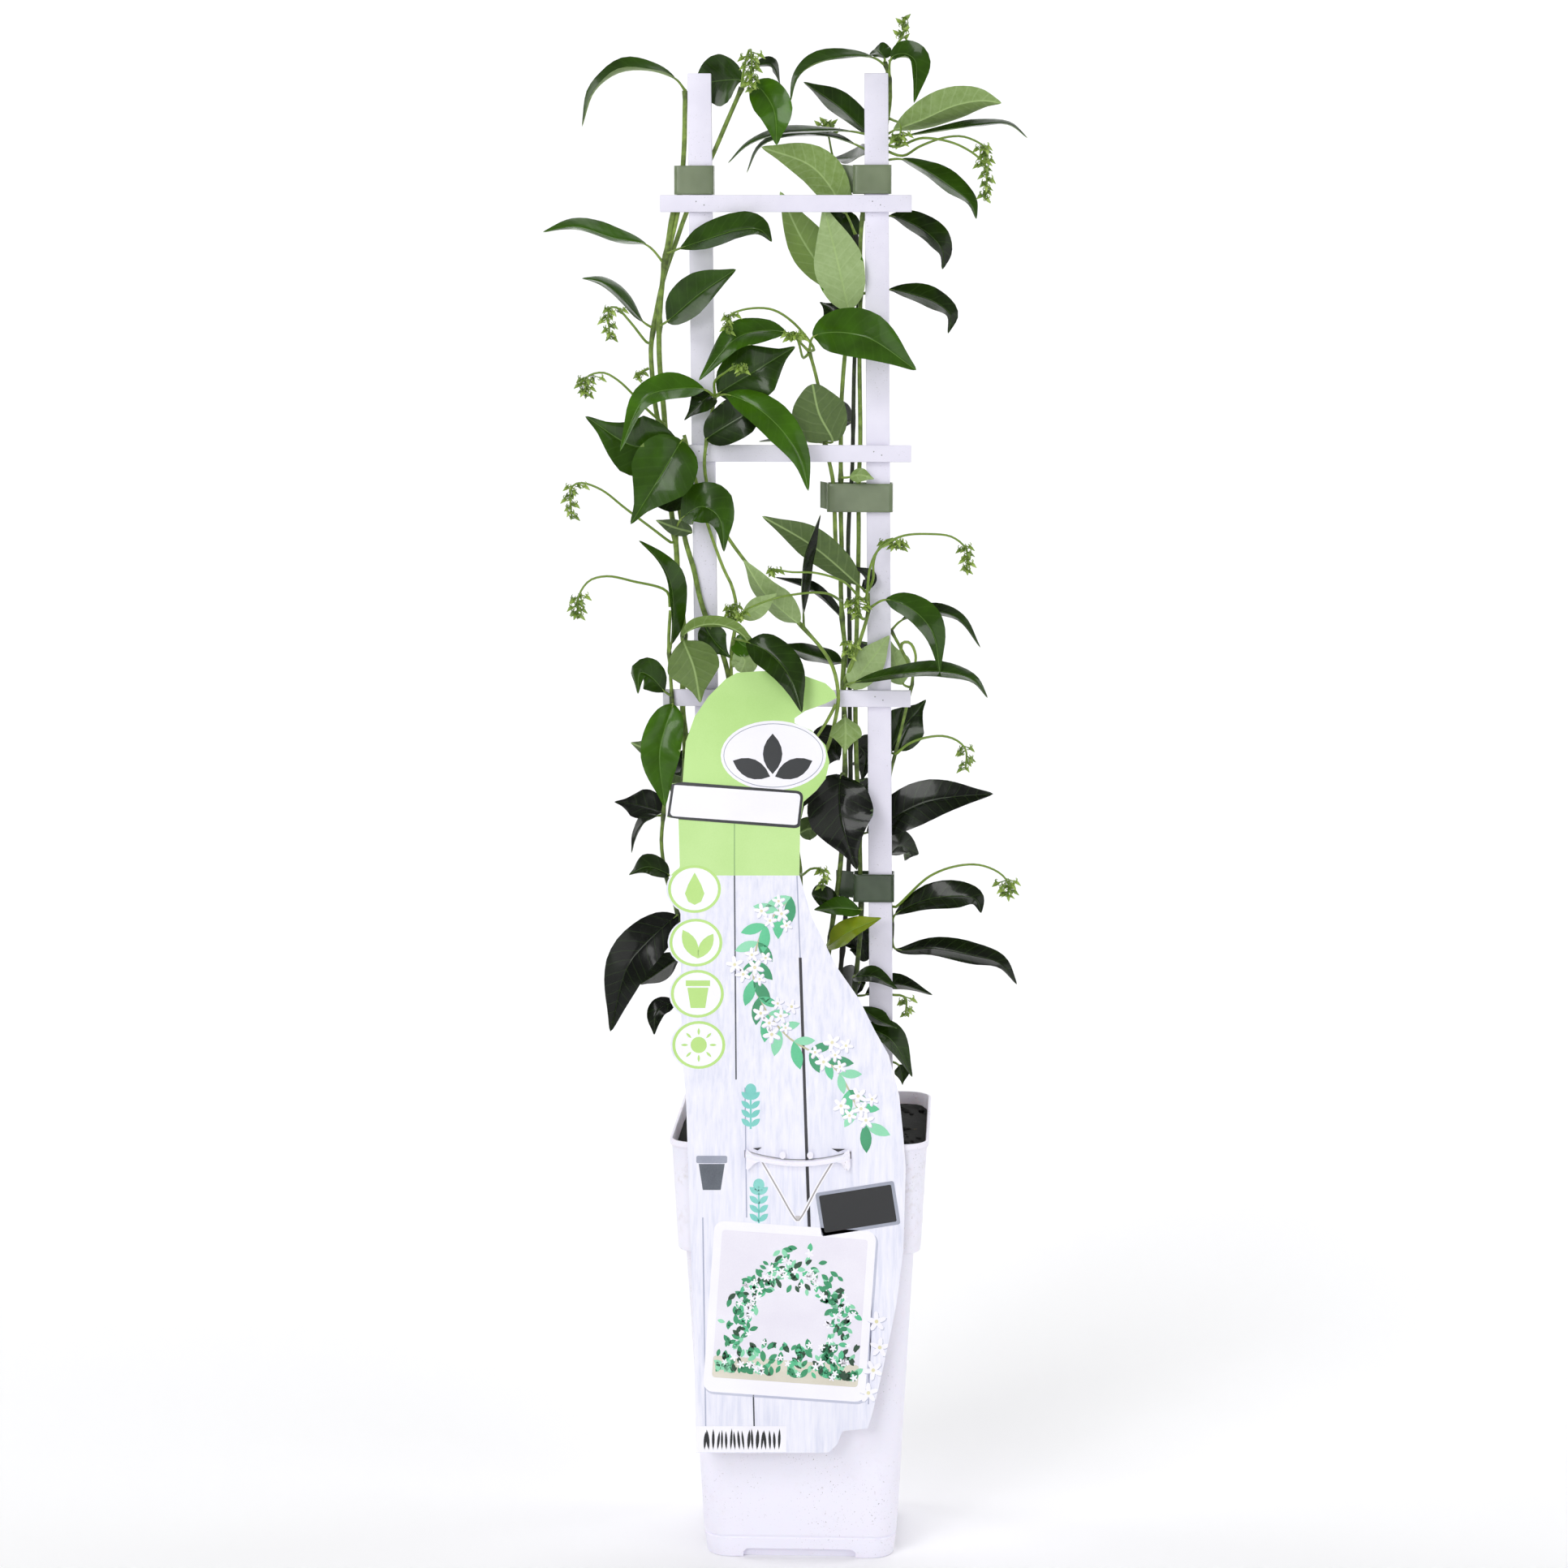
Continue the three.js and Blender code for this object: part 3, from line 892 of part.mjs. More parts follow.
function spraySolid(name) {
  const [stemName, places, count, spread, drop] = SPRAYS[name];
  const random = seeded(name.length * 97 + count * 13 + Math.round(spread));
  const stem = STEMS[stemName];
  const points = places.map(spot);
  const rootCentre = nearestOn(stemCurves(stem), points[0]);
  const outward = points[0].clone().sub(rootCentre).normalize();
  const clear = stem.radius + GAP + 0.5;
  if (rootCentre.distanceTo(points[0]) > clear + 1) {
    points.unshift(rootCentre.clone().addScaledVector(outward, clear));
  }
  points.push(points.at(-1).clone().add(new THREE.Vector3(0, 0, -0.85 * drop)));
  const curve = through(points);
  const length = curve.getLength();
  const head = Math.abs(drop) + HEAD_START;
  const pieces = [tube(curve, STALK_RADIUS, Math.max(3, Math.ceil(length / 12)), 3)];
  for (let i = 0; i < count; i += 1) {
    const level = (i + 0.6) / count;
    const angle = i * GOLDEN_ANGLE + 0.6 * random();
    const root = curve.getPointAt(Math.max(0.2, 1 - head / length * (1 - level)));
    const reach = spread / 2 * (0.75 + 0.25 * random()) * (1 - 0.4 * level);
    const side = new THREE.Vector3(Math.cos(angle), 0.8 * Math.sin(angle), -0.35 * Math.sign(drop));
    const waist = root.clone().addScaledVector(side, reach);
    const direction = side.setZ(side.z * 2.4).normalize();
    pieces.push(budGeometry(root, waist, waist.clone().addScaledVector(direction, BUD_TIP)));
  }
  return join(pieces);
}

// ---- Assembly -----------------------------------------------------------------------------------

place('pot', toGeometry(pot()), materials.pot);
place('soil', toGeometry(mainBody(soilSolid())), materials.soil);
for (const side of ['left', 'right']) {
  place(`trellis_upright_${side}`, uprightGeometry(side), materials.trellis);
}
for (const [name, level] of Object.entries(SLAT_LEVELS)) {
  place(`trellis_slat_${name}`, slatGeometry(level), materials.trellis);
}
for (const tie of TIES) place(tie.name, toGeometry(tieSolid(tie)), materials.tie);
place('card_label', toGeometry(cardSolid()), materials.card);
for (const [name, stem] of Object.entries(STEMS)) {
  place(name, toGeometry(mainBody(leafyStem(stem))), materials.leafy);
}
for (const name of Object.keys(SPRAYS)) {
  place(name, toGeometry(mainBody(spraySolid(name))), materials.buds);
}

export default group;
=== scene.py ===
# Star jasmine tied to a white trellis in a square pot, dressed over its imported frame.
# Sizes in the tables are millimetres, and MM turns them into the frame's metres.
import math
import random

import bmesh
import bpy
from bpy.props import FloatProperty, FloatVectorProperty, IntProperty, PointerProperty
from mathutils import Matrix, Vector, noise


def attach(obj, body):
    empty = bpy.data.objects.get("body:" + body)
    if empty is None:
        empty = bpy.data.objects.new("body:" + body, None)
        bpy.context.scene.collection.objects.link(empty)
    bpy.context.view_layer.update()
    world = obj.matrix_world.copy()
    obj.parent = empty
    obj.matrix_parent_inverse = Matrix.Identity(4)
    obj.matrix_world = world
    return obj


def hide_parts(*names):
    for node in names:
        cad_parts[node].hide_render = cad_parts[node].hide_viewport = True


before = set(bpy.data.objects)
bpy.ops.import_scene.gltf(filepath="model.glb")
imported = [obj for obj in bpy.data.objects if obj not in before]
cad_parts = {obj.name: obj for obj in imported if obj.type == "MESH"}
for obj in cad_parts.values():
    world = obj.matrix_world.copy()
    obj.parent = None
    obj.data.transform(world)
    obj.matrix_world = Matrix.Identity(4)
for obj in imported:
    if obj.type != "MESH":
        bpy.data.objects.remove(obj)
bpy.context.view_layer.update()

bl_info = {
    "name": "Star jasmine in a trellis pot",
    "version": (1, 0, 0),
    "blender": (4, 5, 0),
    "location": "View3D > Sidebar > Jasmine",
    "description": "Builds a potted star jasmine on its trellis with a card label",
    "category": "Add Mesh",
}

MM = 0.001

# ---- Sizes that the pieces share ----------------------------------------------------------------

POT_HEIGHT = 253.0
RIM_HALF = 75.0
COLLAR_FOOT = 189.0
COLLAR_FOOT_HALF = 70.6
BODY_TOP_HALF = 66.3
SEAM_HEIGHT = 13.0
SEAM_HALF = 56.8
BASE_HALF = 55.0
CORNER_RADIUS = 15.0
POT_WALL = 1.8
POT_FLOOR = 6.0
SOIL_LEVEL = 247.0
SOIL_PLAY = 0.4                   # between the soil and the pot's wall
CRUMB_COUNT = 340
ROOT_DEPTH = 42.0

CLIP_HALF = 30.0
CLIP_TOP = 249.0
CLIP_SAG = 5.0
CLIP_FRONT = -81.0
STRAP_HEIGHT = 3.2

TRELLIS_TOP = 863.0
UPRIGHT_WIDTH = 13.7
UPRIGHT_THICKNESS = 4.0
UPRIGHTS = {"left": (-60.4, -54.8), "right": (41.2, 46.2)}      # centre at the top and at the soil
SLATS = {"top": 789.0, "middle": 645.6, "low": 502.9}
SLAT_LENGTH = 145.0
SLAT_CENTRE = -10.0
SLAT_HEIGHT = 9.8
SLAT_THICKNESS = 3.0
SLAT_GAP = 0.35

CARD_THICKNESS = 0.6
CARD_DEPTH = -77.4
CARD_BEND = 250.0
CARD_TOP = 521.0
CARD_LEAN = 54.0

LEAF_THICKNESS = 0.5
VEIN_SPACING = 6.5                # between the side veins of a leaf

# ---- Front-view grid ----------------------------------------------------------------------------
# The plant's places are laid out on a front-view grid: u to the right, v down, and a depth
# in millimetres that is negative towards the front.

GRID_CENTRE = 966.0
EYE_DISTANCE = 2374.8
EYE_REACH = 4984.0                # grid steps from the eye to the grid
EYE_LENS = 92.87
EYE_SENSOR = 36.0
EYE_AZIMUTH = math.radians(2.73)
EYE_ELEVATION = math.radians(7.61)
EYE_TARGET = Vector((-11.7, 0.0, 451.7))

TO_EYE = Vector((
    math.sin(EYE_AZIMUTH) * math.cos(EYE_ELEVATION),
    -math.cos(EYE_AZIMUTH) * math.cos(EYE_ELEVATION),
    math.sin(EYE_ELEVATION)))
GRID_RIGHT = Vector((math.cos(EYE_AZIMUTH), math.sin(EYE_AZIMUTH), 0.0))
GRID_UP = TO_EYE.cross(GRID_RIGHT)
EYE = EYE_TARGET + TO_EYE * EYE_DISTANCE


def spot(place):
    """A place on the front-view grid, in millimetres."""
    u, v, depth = place
    ray = GRID_RIGHT * (u - GRID_CENTRE) + GRID_UP * (GRID_CENTRE - v) - TO_EYE * EYE_REACH
    return EYE + ray * ((depth - EYE.y) / ray.y)


# ---- The plant's layout -------------------------------------------------------------------------
# A leaf is base, middle and tip places, width, roll about its midrib, side (1: glossy face in
# front), fold of its halves in degrees, and tone from dark to bright or yellowing: partly the leaf's
# age, and partly painted shade, as leaves that sit in shadow are given darker tones. A spray is its
# stem, bud count, spread and drop of the head in millimetres, and its stalk's places.

STEMS = {
    "leafy_stem_left_tall": dict(radius=1.75, age=0.25, paths=[
        [(905, 1378, 6), (880, 1300, 5), (860, 1200, 4.6), (849, 1100, 4.2), (844, 1000, 3),
         (844, 908, 2), (841, 870, 2), (843, 800, 2), (842, 768, 1), (838, 735, 1), (835, 708, 1),
         (833, 672, 0), (826, 620, 2), (822, 560, 2), (818, 506, 0), (813, 451, 0), (812, 414, 0),
         (814, 372, 0), (818, 332, 0), (823, 300, 1), (829, 263, 3), (837, 243, 4), (840, 222, 4),
         (843, 180, 4), (844, 131, 4), (844.5, 112, 3)],
        [(819, 330, 0), (827, 296, 3), (835, 263, 4), (841, 228, 4)],
    ], leaves=[
        ([(843, 113, 1), (832, 97, -2), (800, 86, -8), (762, 89, -12), (732, 112, -12), (717, 156, -6)],
          20, 74, 1, 20, 0.55),
        ([(814, 326, -1), (797, 302, -4), (755, 293, -10), (708, 279, -16), (669, 286, -20)],
          22, 66, 1, 14, 0.7),
        ([(826, 312, -6), (838, 306, -10), (870, 295, -16), (910, 283, -20), (936, 283, -22),
          (951, 298, -22)], 24, 48, 1, 16, 0.55),
        ([(818, 401, -4), (822, 396, -7), (862, 362, -17), (907, 332, -26)], 24, 26, 1, 22, 0.55),
        ([(846, 800, -4), (841, 784, -8), (860, 771, -16), (886, 769, -21), (913, 780, -20),
          (935, 812, -15)], 14, -60, -1, 14, 0.7),
        ([(842, 789, -12), (855, 823, -22), (863, 866, -30)], 31, 0, -1, 10, 0.45),
        ([(846, 652, -6), (840, 639, -15), (866, 624, -26), (886, 638, -29), (892, 680, -28)],
          29, 30, 1, 22, 0.6),
        ([(852, 656, -5), (832, 650, -8), (808, 641, -12)], 10, -20, -1, 10, 0.15),
        ([(846, 905, 4), (862, 930, 10), (884, 990, 12)], 24, 20, 1, 14, 0.3),
        ([(850, 1080, 6), (875, 1110, 22), (905, 1170, 34)], 27, 15, 1, 14, 0.2),
        ([(844, 830, 6), (852, 818, 28), (860, 834, 54)], 21, 20, 1, 14, 0.3),
        ([(846, 960, 6), (838, 950, 32), (832, 985, 58)], 26, 20, 1, 14, 0.3),
    ]),
    "leafy_stem_left_side": dict(radius=1.6, age=0.3, paths=[
        [(925, 1378, 10), (915, 1250, 9), (905, 1100, 8), (899, 950, 8), (899, 846, 3), (896, 826, -2),
         (889, 802, -5), (871, 763, -5), (862, 735, -4.6), (855, 702, -4), (845, 668, -2),
         (834, 610, 5), (817, 545, 7), (808, 503, 3), (804, 466, 2), (802, 430, 2), (804, 412, 3),
         (811, 372, 5), (820, 335, 6), (833, 298, 6.5), (845, 264, 6.5), (862, 225, 6), (879, 189, 5),
         (897, 147, 3), (914, 108, 0)],
    ], leaves=[
        ([(805, 406, 2), (793, 397, -1), (768, 369, -8), (742, 348, -12), (717, 343, -14)],
          19, 68, 1, 14, 0.6),
        ([(914, 100, 3), (890, 99, 12), (854, 106, 24)], 30, 2, 1, 24, 0.5),
        ([(918, 96, 2), (930, 83, 5), (950, 80, 9), (961, 103, 13)], 12, 60, 1, 14, 0.35),
        ([(928, 103, -4), (953, 134, -14), (957, 179, -14)], 22, 8, 1, 20, 0.8),
        ([(869, 770, -6), (880, 790, -7), (900, 811, -6)], 17, 6, 1, 14, 0.45),
        ([(903, 880, 12), (925, 905, 18), (958, 960, 20)], 26, 20, 1, 14, 0.3),
        ([(908, 1010, 12), (893, 1040, 24), (872, 1100, 30)], 26, 20, 1, 14, 0.25),
        ([(825, 575, 10), (800, 560, 32), (790, 590, 56)], 25, 40, 1, 14, 0.4),
    ]),
    "leafy_stem_outer_left": dict(radius=1.2, age=0.2, paths=[
        [(885, 1378, -12), (868, 1300, -12), (850, 1200, -10), (836, 1130, -8), (822, 1085, -5),
         (815, 1041, -3), (817, 1008, -4), (823, 950, -6), (828, 870, -7.3), (826, 830, -7.3),
         (824, 790, -6), (826, 752, -5)],
    ], leaves=[
        ([(826, 806, -6), (827, 794, -10), (830, 757, -17), (826, 717, -19), (810, 688, -18),
          (787, 666, -16)], 18, 55, 1, 26, 0.55),
        ([(826, 858, -8), (819, 852, -10), (802, 834, -14), (789, 829, -18), (786, 855, -21)],
          19, 15, 1, 20, 0.5),
        ([(829, 868, -10), (813, 925, -17), (819, 994, -14)], 24, 6, 1, 18, 0.8),
        ([(820, 935, 3), (800, 925, 8), (777, 915, 13)], 12, -20, -1, 14, 0.25),
        ([(817, 1001, 0), (789, 992, 8), (757, 988, 14)], 21, 30, 1, 14, 0.05),
        ([(817, 1006, -5), (811, 1005, -6), (797, 1010, -8), (785, 1025, -11), (778, 1051, -12)],
          11, 66, 1, 14, 0.15),
        ([(824, 1078, -8), (798, 1068, -12), (775, 1078, -14)], 15, 34, 1, 20, 0.35),
        ([(834, 1128, -10), (777, 1184, -22), (752, 1271, -20)], 27, 10, 1, 18, 0.05),
        ([(838, 1180, -4), (814, 1196, 2), (789, 1213, 6)], 17, 30, 1, 14, 0.2),
        ([(834, 1234, -8), (810, 1246, -12), (806, 1275, -14)], 13, 30, 1, 14, 0.05),
        ([(864, 1250, -17), (884, 1285, -26), (880, 1340, -36)], 26, 25, 1, 14, 0.25),
        ([(870, 1300, -18), (900, 1290, -34), (930, 1320, -44)], 25, 40, 1, 14, 0.25),
    ]),
    "leafy_stem_twining": dict(radius=1.2, age=0.15, paths=[
        [(965, 1378, 4), (977, 1250, 2), (986, 1120, 0), (986, 1070, 0), (982, 1040, 0),
         (985, 1008, -1), (1000, 960, -3), (1019, 922, -6), (1028, 892, -8), (1033, 861, -9),
         (1030, 835, -9), (1024, 817, -9), (1009, 795, -9), (992, 776, -9), (956, 736, -6),
         (917, 690, -7), (891, 652, -8), (875, 612, -9), (868, 575, -10), (871, 540, -11),
         (881, 489, -12)],
        [(1030, 868, -9), (1018, 890, -8), (1000, 918, -5)],
    ], leaves=[
        ([(984, 768, -12), (946, 735, -17), (916, 690, -19)], 24, -48, -1, 14, 0.9),
        ([(991, 772, -10), (990, 757, -16), (989, 716, -32), (997, 672, -37), (1011, 634, -37)],
          15, 66, 1, 24, 0.15),
        ([(870, 541, -13), (912, 514, -16), (952, 494, -14)], 25, 12, 1, 14, 0.35),
        ([(876, 487, -14), (868, 480, -18), (832, 479, -25), (795, 490, -28), (764, 556, -28)],
          23, 46, 1, 14, 0.8),
        ([(881, 487, -14), (894, 486, -19), (926, 498, -27), (958, 524, -32), (985, 562, -35),
          (996, 605, -35)], 22, 26, 1, 14, 0.75),
        ([(885, 485, -14), (932, 456, -19), (980, 427, -16)], 33, 4, 1, 12, 0.5),
        ([(876, 487, -12), (866, 494, -16), (843, 518, -12)], 17, 30, 1, 14, 0.3),
        ([(985, 1026, -3), (996, 1021, -2), (1010, 1022, 0)], 14, 0, -1, 14, 0.3),
        ([(984, 1130, 4), (958, 1150, 22), (930, 1200, 36)], 27, 15, 1, 14, 0.2),
        ([(980, 1200, -4), (1000, 1225, -22), (1005, 1290, -32)], 26, 20, 1, 14, 0.2),
        ([(1000, 965, -8), (968, 985, -16), (935, 1040, -18)], 25, 30, 1, 14, 0.2),
    ]),
    "leafy_stem_middle": dict(radius=1.1, age=0.1, paths=[
        [(945, 1378, -8), (938, 1250, -6), (922, 1100, -5), (908, 950, 0), (903, 885, 1),
         (902, 848, 1.3), (901, 810, -3.4), (906, 770, -6), (907, 745, -7), (901, 720, -6),
         (893, 704, -5), (880, 670, -4.6), (867, 630, -4.8), (858, 595, -6.5), (850, 562, -8.4),
         (843, 536, -9)],
    ], leaves=[
        ([(840, 543, -17), (814, 586, -26), (777, 646, -30)], 38, 2, 1, 24, 0.62),
        ([(836, 545, -11), (783, 550, -13), (721, 513, -16)], 36, 6, 1, 16, 0.58),
        ([(853, 605, -6), (826, 613, -9), (787, 616, -11)], 21, 25, 1, 14, 0.35),
        ([(906, 788, -4), (915, 795, -5), (928, 801, -6)], 14, 8, 1, 14, 0.8),
        ([(914, 760, -18), (934, 748, -28), (957, 731, -30)], 12, 10, -1, 14, 0.9),
        ([(908, 789, -7), (920, 791, -23), (946, 803, -30), (973, 834, -38), (988, 878, -43)],
          24, 26, 1, 14, 0.4),
        ([(905, 803, -6), (918, 814, -8), (913, 829, -9)], 16, 10, -1, 14, 0.9),
        ([(905, 890, -8), (885, 900, -14), (872, 940, -14)], 22, 30, 1, 14, 0.3),
        ([(925, 1130, -10), (890, 1150, -20), (880, 1210, -24)], 26, 20, 1, 14, 0.25),
    ]),
    "leafy_stem_right_main": dict(radius=1.5, age=0.3, paths=[
        [(1000, 1378, 10), (1012, 1250, 8), (1024, 1150, 6), (1036, 1060, 5), (1041, 960, 3),
         (1041, 930, 3), (1040, 871, 3), (1038, 845, 2), (1041, 799, 2), (1038, 767, 1), (1036, 720, 1),
         (1037, 680, 1), (1036, 630, 1), (1036, 590, 1), (1036, 545, 1), (1037, 492, 0), (1041, 438, 0),
         (1045, 405, 1), (1047, 388, 0)],
        [(1036, 715, 1), (1031, 690, 0), (1029, 655, 0), (1028, 620, 0), (1026, 590, 0),
         (1021, 566, 0.5), (1014, 532, -1), (1009, 480, -6), (1002, 450, -9), (997, 433, -11)],
        [(1040, 868, 3), (1040, 845, -3), (1050, 817, -7), (1061, 785, -8), (1070, 752, -8),
         (1069, 731, -8)],
    ], leaves=[
        ([(1046, 384, -3), (1032, 322, -8), (1015, 254, 2)], 29, -6, -1, 12, 0.95),
        ([(1038, 402, 3), (1026, 384, 8), (1010, 372, 12)], 13, 20, 1, 14, 0.2),
        ([(1002, 415, -13), (1064, 414, -27), (1129, 456, -27)], 29, 12, 1, 18, 0.7),
        ([(969, 410, -20), (912, 414, -30), (861, 469, -30)], 22, 44, 1, 14, 0.65),
        ([(1026, 544, -5), (1009, 509, -12), (1001, 473, -14)], 32, 0, -1, 8, 0.3),
        ([(1010, 545, 5), (975, 542, 6), (935, 544, 7)], 18, 76, 1, 14, 0.5),
        ([(1046, 588, -6), (1060, 585, -10), (1077, 590, -13)], 9, 20, -1, 14, 0.8),
        ([(1058, 721, -13), (1002, 673, -23), (939, 636, -28)], 22, -30, -1, 14, 0.3),
        ([(1070, 750, -9), (1091, 739, -14), (1123, 750, -22), (1149, 779, -27), (1158, 829, -28)],
          21, 38, 1, 14, 0.6),
        ([(1044, 848, -6), (1052, 841, -13), (1100, 831, -21), (1158, 827, -26), (1198, 837, -28),
          (1217, 860, -28)], 17, 58, 1, 14, 0.45),
        ([(1046, 846, -7), (1070, 817, -5.5), (1096, 783, -7)], 19, -4, -1, 4, 0.95),
        ([(1064, 727, -9), (1071, 712, -10), (1052, 698, -12)], 10, 40, 1, 14, 0.15),
        ([(1036, 760, 9), (1003, 727, 15), (955, 711, 17)], 13, 62, 1, 14, 0.15),
        ([(1037, 817, 6), (1000, 807, 9), (962, 794, 10)], 19, 56, 1, 14, 0.35),
        ([(1041, 883, -9), (1042, 904, -17), (1041, 929, -18)], 19, 0, -1, 30, 0.8),
        ([(1036, 955, -6), (1036, 1008, -19), (1056, 1072, -24)], 39, 4, 1, 14, 0.05),
        ([(1037, 905, 8), (1020, 920, 14), (1008, 957, 18)], 24, 20, 1, 14, 0.15),
        ([(1030, 1116, 2), (1014, 1107, -2), (1000, 1101, -6)], 17, 40, 1, 14, 0.3),
        ([(1020, 1165, -4), (1048, 1147, -14), (1086, 1131, -18)], 17, 40, 1, 14, 1.3),
        ([(1012, 1200, 12), (1012, 1230, 34), (1004, 1290, 46)], 27, 15, 1, 14, 0.2),
        ([(1036, 694, 4), (1014, 684, 28), (992, 668, 52)], 16, -30, 1, 14, 0.3),
    ]),
    "leafy_stem_right_dark": dict(radius=1.4, age=0.75, paths=[
        [(1018, 1378, 20), (1030, 1250, 17), (1040, 1150, 14), (1046, 1060, 11), (1048, 960, 9),
         (1047, 871, 9), (1047, 800, 8), (1046, 720, 7.5), (1045, 680, 7), (1046, 640, 7),
         (1050, 580, 6.5), (1051, 540, 6), (1053, 440, 6), (1056, 400, 7), (1058, 340, 8),
         (1056, 300, 8), (1054, 289, 8)],
    ], leaves=[
        ([(1043, 264, 5), (1003, 207, 2), (938, 181, 0)], 26, -28, -1, 14, 0.75),
        ([(1036, 354, 9), (993, 302, 10), (961, 236, 9)], 25, -24, -1, 14, 0.65),
        ([(1050, 300, 12), (1032, 280, 30), (1030, 300, 54)], 24, 30, 1, 14, 0.35),
        ([(1050, 520, 10), (1022, 512, 32), (1002, 500, 56)], 22, 20, 1, 14, 0.3),
        ([(1048, 1000, 14), (1066, 985, 36), (1074, 1010, 58)], 26, 25, 1, 14, 0.2),
        ([(1052, 915, 13), (1066, 930, 20), (1062, 962, 24)], 22, 20, 1, 14, 0.15),
        ([(1052, 830, 14), (1066, 815, 34), (1072, 835, 58)], 26, 30, 1, 14, 0.2),
        ([(1040, 1165, 16), (1055, 1155, 18), (1068, 1184, 20)], 22, 30, 1, 14, 0.15),
    ]),
    "leafy_stem_right_tall": dict(radius=1.4, age=0.3, paths=[
        [(1030, 1378, 14), (1043, 1290, 11), (1055, 1200, 8), (1061, 1130, 5.5), (1060, 1080, 5),
         (1058, 1000, 4.5), (1055, 930, 4.5), (1054, 871, 4.5), (1055, 800, 4.5), (1057, 720, 4),
         (1058, 660, 3), (1058, 600, 2.5), (1060, 545, 2), (1059, 440, 2), (1060, 380, 3),
         (1060, 320, 3), (1061, 285, 4), (1065, 250, 5), (1074, 215, 6), (1086, 180, 6), (1093, 150, 6),
         (1097, 118, 5), (1096, 100, 5), (1094, 88, 4.6), (1090, 77, 3)],
    ], leaves=[
        ([(1087, 84, 2), (1076, 71, -2), (1045, 69, -8), (1005, 78, -14), (983, 94, -17),
          (974, 125, -16)], 18, 70, 1, 14, 0.55),
        ([(1096, 96, 3), (1098, 72, -2), (1113, 66, -8), (1127, 74, -14), (1129, 96, -19),
          (1126, 127, -22)], 16, 36, 1, 30, 0.6),
        ([(1090, 72, 4), (1084, 64, 9), (1077, 61, 14)], 13, 30, 1, 14, 0.5),
        ([(1076, 168, 12), (1035, 132, 16), (990, 101, 20)], 23, 52, 1, 14, 0.45),
        ([(1062, 164, 7), (1050, 162, 6), (1005, 161, 3), (962, 164, 0), (922, 178, -3),
          (897, 201, -4)], 16, 74, 1, 14, 0.5),
        ([(1066, 188, 9), (1054, 178, 9), (1020, 167, 11), (972, 167, 12), (937, 180, 12),
          (920, 213, 12)], 13, 72, 1, 14, 0.45),
        ([(1094, 170, 5), (1101, 161, 2), (1137, 147, -7), (1176, 130, -14), (1209, 124, -17),
          (1234, 127, -18)], 23, -34, -1, 14, 0.8),
        ([(1094, 174, 4), (1116, 167, -1), (1162, 160, -8), (1205, 154, -13), (1243, 153, -16),
          (1266, 170, -18)], 13, 74, 1, 14, 0.45),
        ([(1093, 205, 3.5), (1110, 196, 1), (1142, 210, -9), (1172, 230, -15), (1195, 249, -19),
          (1203, 270, -20)], 19, 54, 1, 14, 0.55),
        ([(1072, 272, 6), (1096, 266, 8), (1124, 275, 9), (1150, 293, 9), (1162, 311, 8),
          (1161, 332, 6)], 20, 46, 1, 14, 0.3),
        ([(1070, 360, 5), (1095, 357, 9), (1124, 362, 10), (1152, 372, 10), (1171, 388, 8),
          (1168, 411, 6)], 18, 48, 1, 14, 0.3),
        ([(1068, 1026, 12), (1140, 988, 12), (1224, 978, 2)], 26, 16, 1, 14, 0.1),
        ([(1052, 1204, -4), (1077, 1203, -13), (1106, 1219, -16)], 14, 46, 1, 14, 0.3),
        ([(1066, 1226, 12), (1102, 1212, 18), (1149, 1226, 10)], 15, 50, 1, 14, 0.25),
        ([(1060, 1240, -7), (1082, 1256, -12), (1105, 1267, -15)], 14, 50, 1, 14, 0.4),
        ([(1062, 1264, -8), (1097, 1280, -13), (1124, 1327, -16)], 20, 46, 1, 14, 0.4),
        ([(1060, 1121, -5), (1033, 1119, -12), (1003, 1121, -16)], 15, 40, 1, 14, 0.6),
        ([(1060, 1210, 12), (1050, 1218, 40), (1040, 1250, 62)], 26, 25, 1, 14, 0.2),
        ([(1060, 425, 6), (1070, 418, 28), (1090, 428, 50)], 20, 14, 1, 14, 0.35),
        ([(1070, 190, 9), (1050, 194, 38), (1024, 196, 60)], 16, 60, 1, 14, 0.35),
    ]),
    "leafy_stem_outer_right": dict(radius=1.1, age=0.3, paths=[
        [(1052, 1378, 4), (1062, 1345, 5), (1080, 1300, 6), (1092, 1210, 7), (1098, 1165, 6),
         (1099, 1135, 6), (1092, 1060, 7), (1093, 1000, 7), (1096, 959, 6), (1102, 933, 4),
         (1109, 905, 3), (1117, 871, 2), (1122, 850, 2), (1125, 838, 1), (1122, 824, 0), (1110, 799, 1),
         (1098, 777, 4)],
        [(1110, 801, 1), (1112, 792, -1), (1121, 792, -2), (1128, 806, -2), (1127, 824, -1)],
    ], leaves=[
        ([(1099, 776, 5), (1110, 765, 8), (1146, 753, 8), (1181, 762, 5), (1208, 798, 2)],
          13, 58, 1, 14, 0.35),
        ([(1113, 843, 5), (1104, 817, 6), (1096, 788, 7)], 17, 0, -1, 4, 0.9),
        ([(1098, 926, 8), (1116, 893, 11), (1141, 862, 15)], 25, 0, 1, 14, 0.3),
        ([(1099, 1138, 5), (1103, 1127, 2), (1140, 1109, -7), (1180, 1104, -12), (1202, 1108, -14),
          (1209, 1125, -14)], 20, 36, 1, 16, 0.2),
        ([(1099, 1155, 5), (1103, 1169, 2), (1150, 1168, -8), (1199, 1177, -14), (1233, 1187, -17),
          (1253, 1213, -18)], 18, 44, 1, 16, 0.15),
        ([(1107, 1312, 5), (1111, 1323, 3), (1112, 1337, 0)], 9, 10, 1, 14, 0.3),
        ([(1096, 1052, 12), (1110, 1042, 34), (1132, 1052, 50)], 19, 14, 1, 14, 0.2),
    ]),
}

